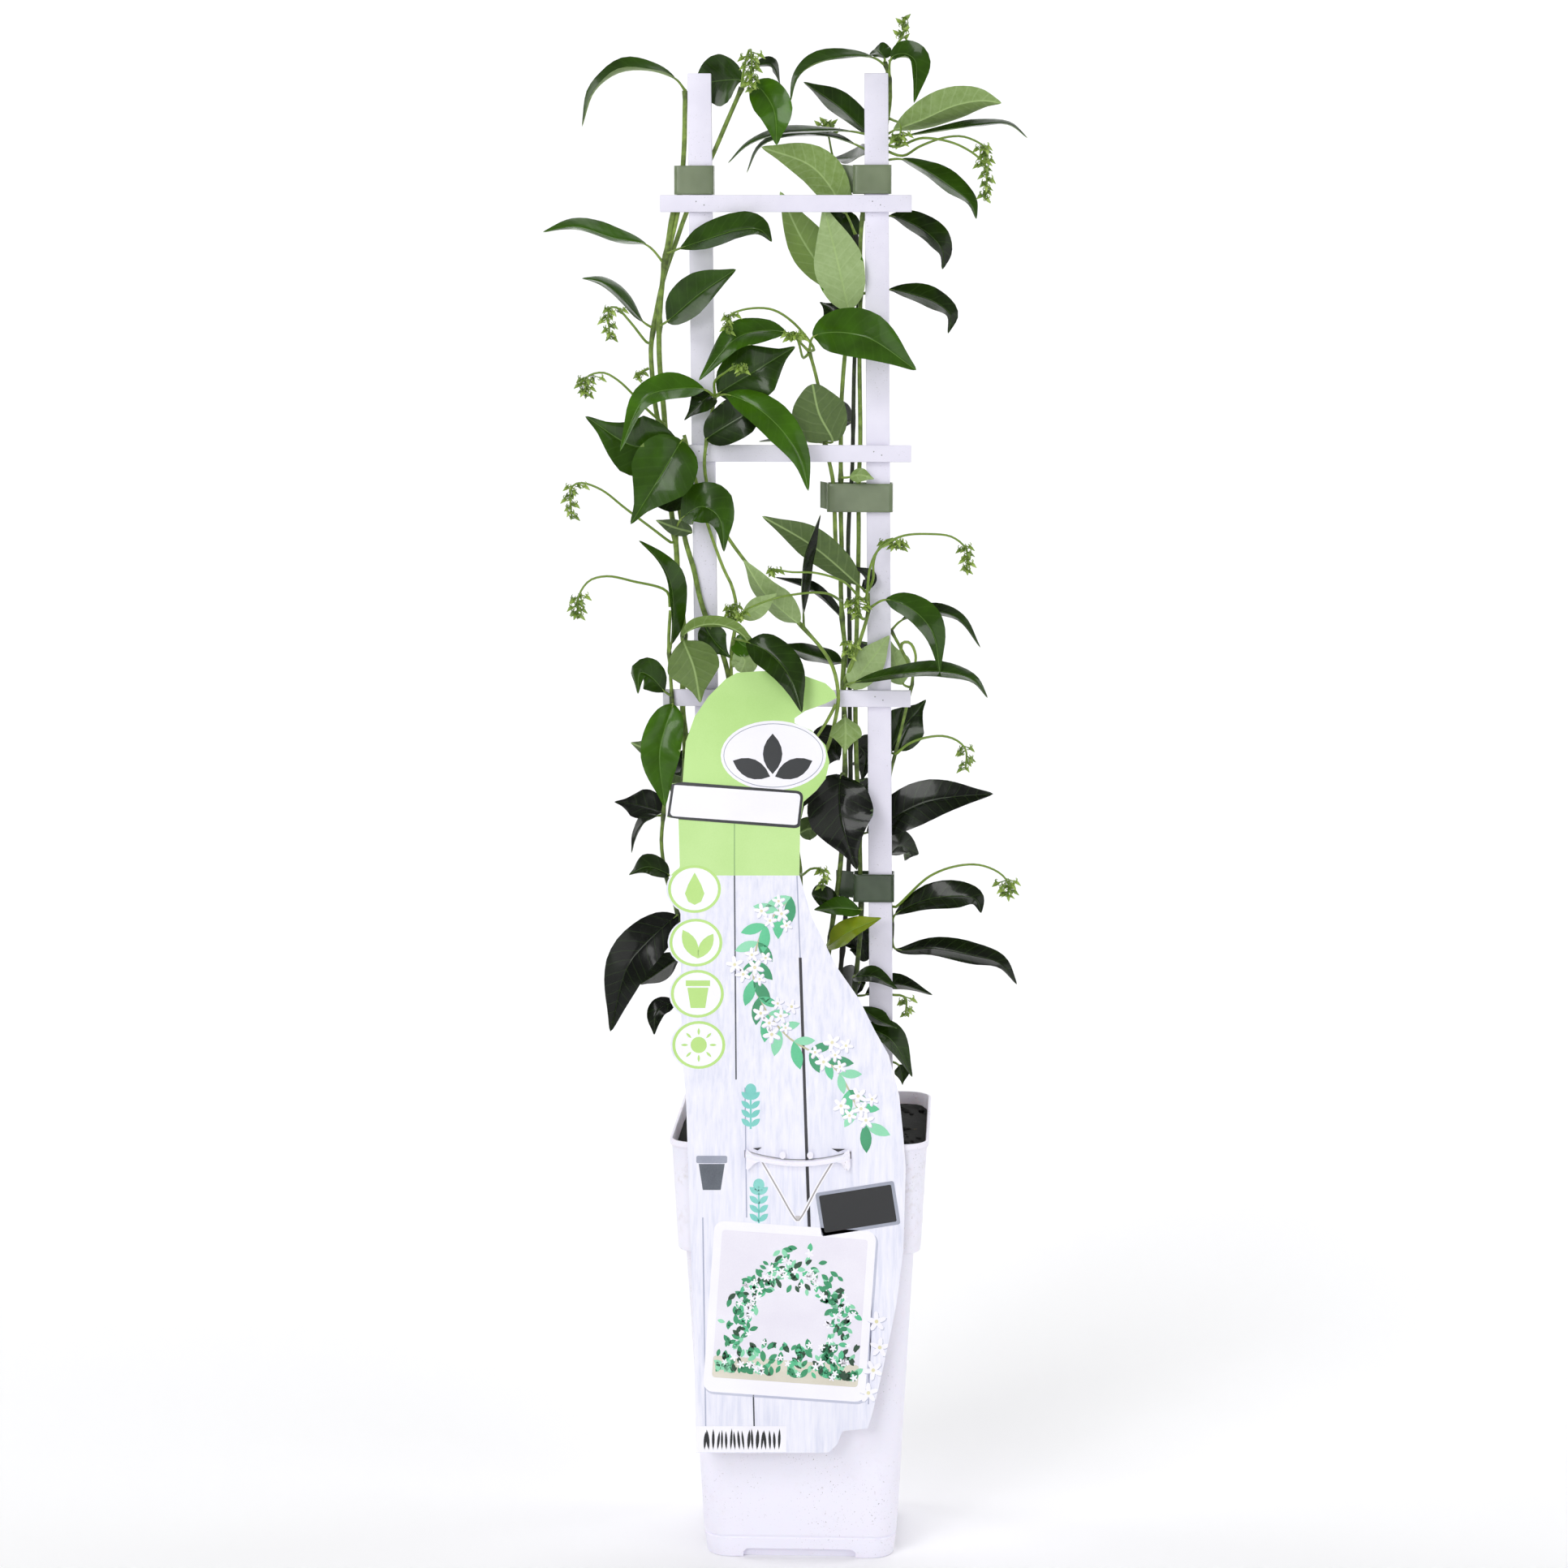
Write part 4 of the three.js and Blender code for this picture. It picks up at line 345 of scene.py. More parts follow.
SPRAYS = {
    "bud_spray_top_centre": ("leafy_stem_left_side", 12, 13, 20, [
        (914, 104, -6), (918, 78, -8), (924, 60, -10), (926, 72, -16)]),
    "bud_spray_top_tip": ("leafy_stem_right_tall", 6, 8, -11, [
        (1098, 75, 3), (1104, 57, 5), (1113, 42, 4)]),
    "bud_spray_top_left": ("leafy_stem_right_tall", 7, 14, -5, [
        (1062, 262, 8), (1042, 228, 22), (1027, 196, 25), (1021, 168, 24), (1019, 160, 23)]),
    "bud_spray_right_upper": ("leafy_stem_right_tall", 11, 9, 22, [
        (1104, 181, 3.4), (1139, 170, -14), (1184, 180, -18), (1214, 205, -20)]),
    "bud_spray_right_outer": ("leafy_stem_right_tall", 7, 10, 9, [
        (1112, 192, 0), (1134, 180, -8), (1166, 169, -10), (1190, 169, -11), (1214, 183, -12)]),
    "bud_spray_right_inner": ("leafy_stem_right_tall", 7, 12, 5, [
        (1100, 148, 0), (1108, 152, -8), (1110, 162, -13), (1108, 168, -14)]),
    "bud_spray_left_upper": ("leafy_stem_left_side", 9, 13, 20, [
        (796, 421, -6), (776, 396, -12), (758, 378, -14), (751, 380, -14)]),
    "bud_spray_left_middle": ("leafy_stem_left_tall", 9, 14, 11, [
        (818, 522, -4), (800, 507, -6), (762, 469, -10), (742, 459, -12), (722, 466, -12)]),
    "bud_spray_left_small": ("leafy_stem_left_side", 3, 5, 4, [
        (799, 454, 0), (793, 457, -2), (787, 461, -2)]),
    "bud_spray_centre_dark": ("leafy_stem_right_main", 6, 7, 10, [
        (1003, 430, -20), (978, 398, -28), (950, 381, -33), (914, 382, -36), (897, 391, -37)]),
    "bud_spray_centre_head": ("leafy_stem_right_main", 10, 14, 4, [
        (990, 441, -18), (984, 422, -33), (978, 408, -38)]),
    "bud_spray_centre_front": ("leafy_stem_twining", 7, 9, 4, [
        (880, 472, -20), (886, 464, -28), (895, 458, -33), (903, 452, -35), (914, 451, -35)]),
    "bud_spray_left_lower": ("leafy_stem_left_tall", 9, 11, 20, [
        (828, 669, -4), (802, 650, -9), (770, 626, -12), (740, 603, -12), (714, 595, -12),
        (704, 601, -12)]),
    "bud_spray_left_arch": ("leafy_stem_outer_left", 9, 12, 11, [
        (822, 729, -6), (779, 716, -8), (748, 710, -12), (727, 715, -12), (716, 728, -12),
        (712, 740, -12)]),
    "bud_spray_right_middle": ("leafy_stem_right_main", 9, 18, 5, [
        (1076, 712, -17), (1076, 696, -18), (1080, 681, -18), (1090, 667, -16), (1104, 664, -15)]),
    "bud_spray_right_long": ("leafy_stem_right_main", 8, 10, 14, [
        (1067, 742, -14), (1069, 725, -23), (1072, 700, -25), (1082, 678, -25), (1110, 661, -23),
        (1144, 658, -22), (1174, 662, -20), (1191, 678, -20)]),
    "bud_spray_right_cluster": ("leafy_stem_right_main", 9, 15, 14, [
        (1062, 762, -14), (1057, 748, -18), (1054, 734, -19)]),
    "bud_spray_right_inner_low": ("leafy_stem_right_main", 6, 10, 12, [
        (1052, 808, -12), (1050, 798, -15), (1046, 788, -16)]),
    "bud_spray_crossing": ("leafy_stem_right_main", 4, 6, 4, [
        (1036, 740, -8), (1018, 731, -26), (990, 731, -39), (949, 739, -42), (912, 757, -38)]),
    "bud_spray_left_heart": ("leafy_stem_middle", 8, 9, 7, [
        (906, 745, -11), (903, 745, -14), (901, 751, -14)]),
    "bud_spray_right_low": ("leafy_stem_outer_right", 5, 13, 13, [
        (1103, 930, 0), (1119, 917, -4), (1140, 909, -6), (1163, 907, -7), (1180, 913, -8),
        (1190, 924, -8)]),
    "bud_spray_right_foot": ("leafy_stem_outer_right", 8, 14, 8, [
        (1103, 1118, 3), (1145, 1080, -8), (1179, 1067, -12), (1208, 1066, -13), (1232, 1076, -14),
        (1242, 1088, -14)]),
    "bud_spray_label_side": ("leafy_stem_twining", 5, 9, 12, [
        (989, 1078, -8), (1001, 1070, -16), (1014, 1072, -19)]),
    "bud_spray_right_bottom": ("leafy_stem_outer_right", 4, 14, 12, [
        (1099, 1226, 3), (1108, 1226, 2), (1116, 1230, 0)]),
    "bud_spray_crossing_upper": ("leafy_stem_right_main", 4, 7, 3, [
        (1062, 738, -18), (1038, 716, -38), (1005, 706, -44), (975, 705, -44), (950, 702, -42)]),
}

# ---- Shaping tools ------------------------------------------------------------------------------


def linear(hex_colour):
    """An sRGB hex colour as linear RGBA."""
    channels = [int(hex_colour[i:i + 2], 16) / 255 for i in (1, 3, 5)]
    return tuple(c / 12.92 if c <= 0.04045 else ((c + 0.055) / 1.055) ** 2.4 for c in channels) + (1.0,)


def add(tree, kind, inputs=(), output=0, stops=(), **settings):
    """Adds a shader node with its settings, links and colour stops; returns an output, or the node.

    inputs go to the first sockets in order, or by name or number where it is a dict.
    """
    node = tree.nodes.new("ShaderNode" + kind)
    for name, value in settings.items():
        setattr(node, name, value)
    for key, value in inputs.items() if isinstance(inputs, dict) else enumerate(inputs):
        if isinstance(value, bpy.types.NodeSocket):
            tree.links.new(value, node.inputs[key])
        else:
            node.inputs[key].default_value = value
    if stops:
        elements = node.color_ramp.elements
        while len(elements) < len(stops):
            elements.new(1.0)
        for element, (position, colour) in zip(elements, stops):
            element.position = position
            element.color = linear(colour)
    return node if output is None else node.outputs[output]


def new_material(name, **inputs):
    """A material with an empty Principled surface; inputs are the values set on it."""
    material = bpy.data.materials.new(name)
    material.use_nodes = True
    tree = material.node_tree
    surface = tree.nodes["Principled BSDF"]
    for key, value in inputs.items():
        surface.inputs[key.replace("_", " ")].default_value = value
    return material, tree, surface


def place_mesh(name, mesh):
    """An object for the mesh, linked into the scene."""
    piece = bpy.data.objects.new(name, mesh)
    bpy.context.collection.objects.link(piece)
    return piece


def piece_from(shape, name, materials, sharp_deg=None):
    """A mesh object out of a finished bmesh, shaded smooth up to sharp_deg where it is given."""
    mesh = bpy.data.meshes.new(name)
    shape.to_mesh(mesh)
    shape.free()
    for material in materials:
        mesh.materials.append(material)
    if sharp_deg:
        mesh.shade_smooth()
        mesh.set_sharp_from_angle(angle=math.radians(sharp_deg))
    return place_mesh(name, mesh)


class Surface:
    """Collects points in millimetres and faces, and makes one mesh object of them."""

    def __init__(self):
        self.points = []
        self.faces = []
        self.slots = []
        self.uvs = []
        self.tones = []

    def point(self, place, tone=0.5):
        self.points.append(Vector(place))
        self.tones.append(tone)
        return len(self.points) - 1

    def face(self, corners, slot=0, uv=None):
        self.faces.append(corners)
        self.slots.append(slot)
        self.uvs.append(uv or [(0.0, 0.0)] * len(corners))

    def grid(self, rows, slot=0, uv=None, tone=0.5, closed=False):
        """Faces between rows of places; closed joins the last column to the first."""
        made = [[self.point(p, tone) for p in row] for row in rows]
        count = len(rows[0])
        for r in range(len(made) - 1):
            for c in range(count if closed else count - 1):
                d = (c + 1) % count
                corners = [made[r][c], made[r][d], made[r + 1][d], made[r + 1][c]]
                marks = [uv(r, c), uv(r, c + 1), uv(r + 1, c + 1), uv(r + 1, c)] if uv else None
                self.face(corners, slot, marks)
        return made

    def solid(self, rows, slot=0, uv=None, tone=0.5):
        """A closed skin over rows of places: its sides all round, and a cap at each end."""
        made = self.grid(rows, slot, uv, tone, closed=True)
        self.face(made[0][::-1], slot)
        self.face(made[-1], slot)
        return made

    def build(self, name, materials, smooth=True, sharp_deg=40.0):
        mesh = bpy.data.meshes.new(name)
        mesh.from_pydata([p * MM for p in self.points], [], self.faces)
        for material in materials:
            mesh.materials.append(material)
        mesh.polygons.foreach_set("material_index", self.slots)
        layer = mesh.uv_layers.new(name="surface")
        layer.data.foreach_set("uv", [x for uv in self.uvs for mark in uv for x in mark])
        tone = mesh.attributes.new("tone", "FLOAT", "POINT")
        tone.data.foreach_set("value", self.tones)
        mesh.validate()
        if smooth:
            mesh.shade_smooth()
            mesh.set_sharp_from_angle(angle=math.radians(sharp_deg))
        return place_mesh(name, mesh)


def settle(piece, slot, *nodes):
    """The piece stands for these CAD nodes and rides with the object; slot is not used."""
    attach(piece, "root")
    if nodes:
        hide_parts(*nodes)
    return piece


def apply_modifiers(piece):
    """The piece's mesh becomes what its modifiers make of it."""
    depsgraph = bpy.context.evaluated_depsgraph_get()
    mesh = bpy.data.meshes.new_from_object(piece.evaluated_get(depsgraph))
    piece.modifiers.clear()
    piece.data = mesh


def fix_normals(piece):
    shape = bmesh.new()
    shape.from_mesh(piece.data)
    bmesh.ops.recalc_face_normals(shape, faces=shape.faces)
    shape.to_mesh(piece.data)
    shape.free()


def cut_away(piece, cutter):
    """Takes the cutter's solids out of the piece."""
    fix_normals(piece)
    fix_normals(cutter)
    cut = piece.modifiers.new("cut", "BOOLEAN")
    cut.operation, cut.solver, cut.object = "DIFFERENCE", "EXACT", cutter
    apply_modifiers(piece)
    bpy.data.objects.remove(cutter)


def weld(name, parts, materials, sharp_deg):
    """One mesh object out of several; each keeps its own shells."""
    shape = bmesh.new()
    for part in parts:
        shape.from_mesh(part.data)
        bpy.data.objects.remove(part)
    return piece_from(shape, name, materials, sharp_deg)


def bevelled_bar(name, corners, thickness, front, bevel, materials):
    """A flat bar from its outline in X and Z, with softened edges."""
    shape = bmesh.new()
    face = shape.faces.new([shape.verts.new((x * MM, front * MM, z * MM)) for x, z in corners])
    grown = bmesh.ops.extrude_face_region(shape, geom=[face])
    moved = [v for v in grown["geom"] if isinstance(v, bmesh.types.BMVert)]
    bmesh.ops.translate(shape, verts=moved, vec=(0, thickness * MM, 0))
    bmesh.ops.recalc_face_normals(shape, faces=shape.faces)
    bmesh.ops.bevel(shape, geom=shape.edges[:], offset=bevel * MM, segments=3, affect="EDGES",
                    profile=0.6)
    return piece_from(shape, name, materials, sharp_deg=35)


class Course:
    """A smooth centripetal curve through places, as a stem, a stalk or a midrib runs."""

    def __init__(self, points):
        self.points = [Vector(p) for p in points]

    def at(self, t):
        points = self.points
        last = len(points) - 1
        place = min(max(t, 0.0), 1.0) * last
        i = min(int(place), last - 1)
        x = place - i
        p1, p2 = points[i], points[i + 1]
        p0 = points[i - 1] if i else p1 * 2 - p2
        p3 = points[i + 2] if i + 2 <= last else p2 * 2 - p1
        d0, d1, d2 = (math.sqrt((b - a).length) for a, b in ((p0, p1), (p1, p2), (p2, p3)))
        d1 = d1 if d1 > 1e-4 else 1.0
        d0 = d0 if d0 > 1e-4 else d1
        d2 = d2 if d2 > 1e-4 else d1
        start = ((p1 - p0) / d0 - (p2 - p0) / (d0 + d1) + (p2 - p1) / d1) * d1
        end = ((p2 - p1) / d1 - (p3 - p1) / (d1 + d2) + (p3 - p2) / d2) * d1
        return p1 + start * x + (p1 * -3 + p2 * 3 - start * 2 - end) * x ** 2 \
            + (p1 * 2 - p2 * 2 + start + end) * x ** 3

    def along(self, t):
        step = 1e-4
        return (self.at(t + step) - self.at(t - step)).normalized()

    def distances(self):
        """Distances from the start to many places along the course."""
        fine = 60 * (len(self.points) - 1)
        places = [self.at(i / fine) for i in range(fine + 1)]
        reach = [0.0]
        for a, b in zip(places, places[1:]):
            reach.append(reach[-1] + (b - a).length)
        return reach

    @property
    def length(self):
        return self.distances()[-1]

    def evenly(self, count):
        """Parameters of count + 1 places at equal distances along the course."""
        reach = self.distances()
        fine = len(reach) - 1
        marks, i = [], 0
        for k in range(count + 1):
            wanted = reach[-1] * k / count
            while i < fine - 1 and reach[i + 1] < wanted:
                i += 1
            span = reach[i + 1] - reach[i] or 1.0
            marks.append((i + (wanted - reach[i]) / span) / fine)
        return marks


def tube(surface, course, marks, radii, sides, slot=0, tone=0.5):
    """Adds a round tube along the course; radii holds one radius for each mark."""
    rows, side = [], None
    for t, radius in zip(marks, radii):
        along = course.along(t)
        if side is None:
            side = along.orthogonal().normalized()
        side = (side - along * side.dot(along)).normalized()
        other = along.cross(side)
        middle = course.at(t)
        rows.append([middle + (side * math.cos(a) + other * math.sin(a)) * radius
                     for a in (2 * math.pi * k / sides for k in range(sides))])
    length = (rows[-1][0] - rows[0][0]).length
    surface.solid(rows, slot, lambda r, c: (c / sides, length * 0.01 * r / len(rows)), tone)


# ---- Finishes -----------------------------------------------------------------------------------


def grain(tree, scale_mm, detail=2.0, roughness=0.5):
    """Noise whose features are about scale_mm across."""
    place = add(tree, "TexCoord", output="Object")
    return add(tree, "TexNoise",
               {"Vector": place, "Scale": 1000 / scale_mm, "Detail": detail, "Roughness": roughness},
               output="Fac")


def varied(tree, value, pattern, low, high):
    """The value raised or lowered from place to place by a grain pattern."""
    shift = add(tree, "MapRange", (pattern, 0.3, 0.7, low, high))
    return add(tree, "Math", (value, shift), operation="ADD")


def layered(tree, ground, *coats):
    """A ground colour with coats over it; each coat is the map of its share, and its hex colour."""
    for share, colour in coats:
        ground = add(tree, "Mix", {0: share, 6: ground, 7: linear(colour)}, output=2, data_type="RGBA")
    return ground


def dress(tree, surface, colour, height, strength, relief_mm):
    """Gives a surface its colour, and a fine relief from a height pattern."""
    tree.links.new(colour, surface.inputs["Base Color"])
    bump = add(tree, "Bump", {"Height": height, "Strength": strength, "Distance": relief_mm * MM})
    tree.links.new(bump, surface.inputs["Normal"])


def leaf_veins(tree):
    """Distances on a blade from its midrib and from its side veins, in millimetres."""
    place = add(tree, "UVMap", uv_map="surface")
    parts = add(tree, "SeparateXYZ", (place,), output=None)
    off_midrib = add(tree, "Math", (parts.outputs["Y"],), operation="ABSOLUTE")
    bend = add(tree, "Math", (off_midrib, 0.75), operation="MULTIPLY")
    swept = add(tree, "Math", (parts.outputs["X"], bend), operation="SUBTRACT")
    wander = add(tree, "Math", (grain(tree, 9), 2.2), operation="MULTIPLY")
    swept = add(tree, "Math", (swept, wander), operation="ADD")
    off_vein = add(tree, "Math", (swept, VEIN_SPACING / 2), operation="PINGPONG")
    return off_midrib, off_vein


def leaf_upper_finish(look):
    """Waxy cuticle of star jasmine: a deep green gloss with a paler sunk midrib and faint side veins."""
    material, tree, surface = new_material("Waxy leaf cuticle", Roughness=look.leaf_roughness,
                                           IOR=1.42, Specular_IOR_Level=0.2,
                                           Coat_Weight=0.2, Coat_Roughness=0.07)
    tone = add(tree, "Attribute", attribute_name="tone", output="Fac")
    # each leaf keeps its own tone: partly its age (old ones almost black, young ones bright, a few
    # yellowing) and partly painted shade, darker for leaves that sit in shadow
    shade = varied(tree, tone, grain(tree, 16, detail=3.0), -0.13, 0.09)
    share = add(tree, "Math", (shade, 1.3), operation="DIVIDE")
    green = add(tree, "ValToRGB", (share,), stops=(
        (0.0, "#080C07"), (0.16, "#121C09"), (0.3, "#1F3408"), (0.46, "#2E4D0A"), (0.62, "#3C650D"),
        (0.78, "#508111"), (1.0, "#7D8E1C")))
    off_midrib, off_vein = leaf_veins(tree)
    side_vein = add(tree, "MapRange", (off_vein, 0.0, 0.7, 0.04, 0.0))
    line = add(tree, "MapRange", (off_midrib, 0.1, 0.4, 1.0, 0.0))
    clear = add(tree, "MapRange", (tone, 0.1, 0.7, 0.05, 0.4))
    midrib = add(tree, "Math", (line, clear), operation="MULTIPLY")
    # the blade puckers between its side veins, which breaks up the window-like gloss
    pucker = add(tree, "MapRange", (off_vein, 0.0, 3.2))
    pucker = add(tree, "Math", (pucker, 0.35), operation="MULTIPLY")
    crinkle = grain(tree, 2.6, detail=3.0, roughness=0.6)
    crinkle = add(tree, "Math", (crinkle, 0.6), operation="MULTIPLY")
    height = add(tree, "Math", (pucker, crinkle), operation="ADD")
    colour = layered(tree, green, (side_vein, "#7BA650"), (midrib, "#7FA653"))
    dress(tree, surface, colour, height, 0.3, 0.3)
    return material


def leaf_under_finish():
    """Matt pale underside, where the raised midrib and vein net show lighter."""
    material, tree, surface = new_material("Matt leaf underside", Roughness=0.55, IOR=1.4)
    tone = add(tree, "Attribute", attribute_name="tone", output="Fac")
    shade = varied(tree, tone, grain(tree, 3.2, detail=4.0, roughness=0.65), -0.06, 0.06)
    green = add(tree, "ValToRGB", (shade,), stops=(
        (0.0, "#35452F"), (0.35, "#576D39"), (0.7, "#728D42"), (1.0, "#9DB47C")))
    off_midrib, off_vein = leaf_veins(tree)
    vein = add(tree, "MapRange", (off_vein, 0.0, 0.7, 1.0, 0.0))
    clear = add(tree, "MapRange", (tone, 0.6, 0.95, 0.1, 0.45))
    net = add(tree, "Math", (vein, clear), operation="MULTIPLY")
    midrib = add(tree, "MapRange", (off_midrib, 0.25, 0.8, 0.65, 0.0))
    colour = layered(tree, green, (net, "#A9BF88"), (midrib, "#A6C07C"))
    dress(tree, surface, colour, add(tree, "MapRange", (off_vein, 0.0, 1.5, 1.0, 0.0)), 0.4, 0.3)
    return material


def shoot_finish():
    """Skin of the twining shoots: green when young, brown-black and slightly rough with age."""
    material, tree, surface = new_material("Twining shoot bark", Roughness=0.55)
    age = add(tree, "Attribute", attribute_name="tone", output="Fac")
    shade = varied(tree, age, grain(tree, 5, detail=4.0, roughness=0.65), -0.2, 0.2)
    bark = add(tree, "ValToRGB", (shade,), stops=(
        (0.0, "#8FAA4A"), (0.3, "#6B8434"), (0.5, "#4C5E24"), (0.7, "#2B381B"), (1.0, "#181711")))
    dress(tree, surface, bark, grain(tree, 1.2, detail=3.0), 0.5, 0.3)
    return material


def bud_finish():
    """Soft skin of unopened buds and their stalks: fresh green, darker in the folds."""
    material, tree, surface = new_material("Jasmine bud skin", Roughness=0.42, Subsurface_Weight=0.03,
                                           Subsurface_Scale=0.002, Subsurface_Radius=(0.6, 1.0, 0.3))
    tone = add(tree, "Attribute", attribute_name="tone", output="Fac")
    shade = varied(tree, tone, grain(tree, 2.5), -0.08, 0.08)
    green = add(tree, "ValToRGB", (shade,), stops=(
        (0.0, "#3A5016"), (0.35, "#5B7824"), (0.7, "#84A03A"), (1.0, "#B0C868")))
    dress(tree, surface, green, grain(tree, 0.9), 0.3, 0.15)
    return material


def soil_specks(tree, size_mm, strength):
    """Sparse specks of soil, thicker in some patches than in others."""
    patch = add(tree, "MapRange", (grain(tree, 45), 0.4, 0.65, 0.0, strength))
    speck = add(tree, "MapRange", (grain(tree, size_mm), 0.66, 0.72))
    return add(tree, "Math", (patch, speck), operation="MULTIPLY")


def pot_finish(look):
    """Injection-moulded white polypropylene: faint satin grain, a little soil dust on the collar."""
    material, tree, surface = new_material("Moulded white polypropylene", Roughness=0.42, IOR=1.49,
                                           Subsurface_Weight=0.06, Subsurface_Scale=0.004)
    place = add(tree, "TexCoord", output="Object")
    height = add(tree, "SeparateXYZ", (place,), output="Z")
    cloud = add(tree, "MapRange", (grain(tree, 28, detail=5.0, roughness=0.62), 0.52, 0.78))
    satin = grain(tree, 3.5, detail=3.0)
    dusty = add(tree, "Math", (cloud, add(tree, "MapRange", (satin, 0.45, 0.7))), operation="MULTIPLY")
    rising = add(tree, "MapRange", (height, 0.186, 0.24, 0.08, 0.55))
    wash = add(tree, "Math", (dusty, rising), operation="MULTIPLY")
    colour = layered(tree, tuple(look.pot_colour) + (1.0,), (wash, "#A9977C"),
                     (soil_specks(tree, 1.0, 0.55), "#5E574C"))
    dress(tree, surface, colour, grain(tree, 0.7), 0.18, 0.08)
    tree.links.new(add(tree, "MapRange", (satin, 0.35, 0.65, 0.38, 0.47)), surface.inputs["Roughness"])
    return material


def trellis_finish():
    """White extruded trellis plastic, glossier than the pot, with a fine lengthwise draw grain."""
    material, tree, surface = new_material("White trellis plastic", Roughness=0.36, IOR=1.49)
    white = add(tree, "ValToRGB", (grain(tree, 14, detail=4.0),), stops=(
        (0.35, "#E4E1F1"), (0.65, "#E9E6F5")))
    colour = layered(tree, white, (soil_specks(tree, 0.9, 0.5), "#6E6A62"))
    dress(tree, surface, colour, grain(tree, 1.1), 0.2, 0.1)
    return material


def soil_finish():
    """Peat potting mix: near-black matt crumbs with lighter fibre and bark flecks."""
    material, tree, surface = new_material("Peat potting mix", Roughness=0.95)
    crumb = grain(tree, 2.2, detail=6.0, roughness=0.7)
    dark = add(tree, "ValToRGB", (crumb,), stops=(
        (0.3, "#090B08"), (0.6, "#13140F"), (0.8, "#221D16")))
    fleck = add(tree, "MapRange", (grain(tree, 4.5), 0.7, 0.76))
    dress(tree, surface, layered(tree, dark, (fleck, "#453726")), crumb, 0.9, 1.4)
    return material


def tape_finish(name, light, dark):
    """Thin garden tape, smooth, shiny and faintly see-through where it lies flat."""
    material, tree, surface = new_material(name, Roughness=0.24, IOR=1.5, Transmission_Weight=0.3)
    green = add(tree, "ValToRGB", (grain(tree, 16),), stops=((0.3, dark), (0.7, light)))
    dress(tree, surface, green, grain(tree, 12.0, detail=1.0), 0.2, 0.5)
    return material


def card_finish(name, light, dark):
    """Coated card: an even printed ink with a trace of mottle under a satin varnish."""
    material, tree, surface = new_material(name, Roughness=0.34, IOR=1.5, Coat_Weight=0.3,
                                           Coat_Roughness=0.15)
    wash = add(tree, "Math", (grain(tree, 40, detail=3.0), 0.8), operation="MULTIPLY")
    speckle = add(tree, "Math", (grain(tree, 0.8), 0.2), operation="MULTIPLY")
    mixed = add(tree, "Math", (wash, speckle), operation="ADD")
    ink = add(tree, "ValToRGB", (mixed,), stops=((0.35, dark), (0.65, light)))
    dress(tree, surface, ink, grain(tree, 0.5), 0.06, 0.03)
    return material


def plank_finish():
    """Printed pale boards: lilac-white, with soft streaks of wood grain that run up and down."""
    material, tree, surface = new_material("Card printed as pale boards", Roughness=0.34, IOR=1.5,
                                           Coat_Weight=0.3, Coat_Roughness=0.15)
    place = add(tree, "TexCoord", output="Object")
    stretched = add(tree, "Mapping", {"Vector": place, "Scale": (1.0, 1.0, 0.1)})
    # streaks 2.4 mm wide, and broad bands of 14 mm
    streak = add(tree, "TexNoise",
                 {"Vector": stretched, "Scale": 420.0, "Detail": 5.0, "Roughness": 0.6}, output="Fac")
    broad = add(tree, "TexNoise", {"Vector": stretched, "Scale": 70.0, "Detail": 3.0}, output="Fac")
    wood = add(tree, "ValToRGB", (streak,), stops=((0.3, "#DDDFF1"), (0.5, "#ECECF9"), (0.75, "#F6F5FD")))
    band = add(tree, "MapRange", (broad, 0.5, 0.75, 0.0, 0.35))
    dress(tree, surface, layered(tree, wood, (band, "#D2D5EA")), streak, 0.06, 0.03)
    return material


# ---- Pot and soil -------------------------------------------------------------------------------


def mix(a, b, part):
    return a + (b - a) * part


def square_ring(half, radius, z):
    """A rounded square of side 2 * half, with points along its sides as well."""
    per_corner, per_side = 9, 8
    ring = []
    for corner in range(4):
        sx, sy = ((1, 1), (-1, 1), (-1, -1), (1, -1))[corner]
        for i in range(per_corner + 1):
            angle = (corner + i / per_corner) * math.pi / 2
            ring.append((sx * (half - radius) + radius * math.cos(angle),
                         sy * (half - radius) + radius * math.sin(angle), z))
        tx, ty = ((-1, 0), (0, -1), (1, 0), (0, 1))[corner]
        x, y, _ = ring[-1]
        reach = 2 * (half - radius)
        ring += [(x + tx * reach * k / per_side, y + ty * reach * k / per_side, z)
                 for k in range(1, per_side)]
    return ring


def inner_half(z):
    if z > COLLAR_FOOT:
        rise = (z - COLLAR_FOOT) / (POT_HEIGHT - COLLAR_FOOT)
        return mix(COLLAR_FOOT_HALF, RIM_HALF, rise) - POT_WALL
    return mix(SEAM_HALF, BODY_TOP_HALF, (z - SEAM_HEIGHT) / (COLLAR_FOOT - SEAM_HEIGHT)) - POT_WALL


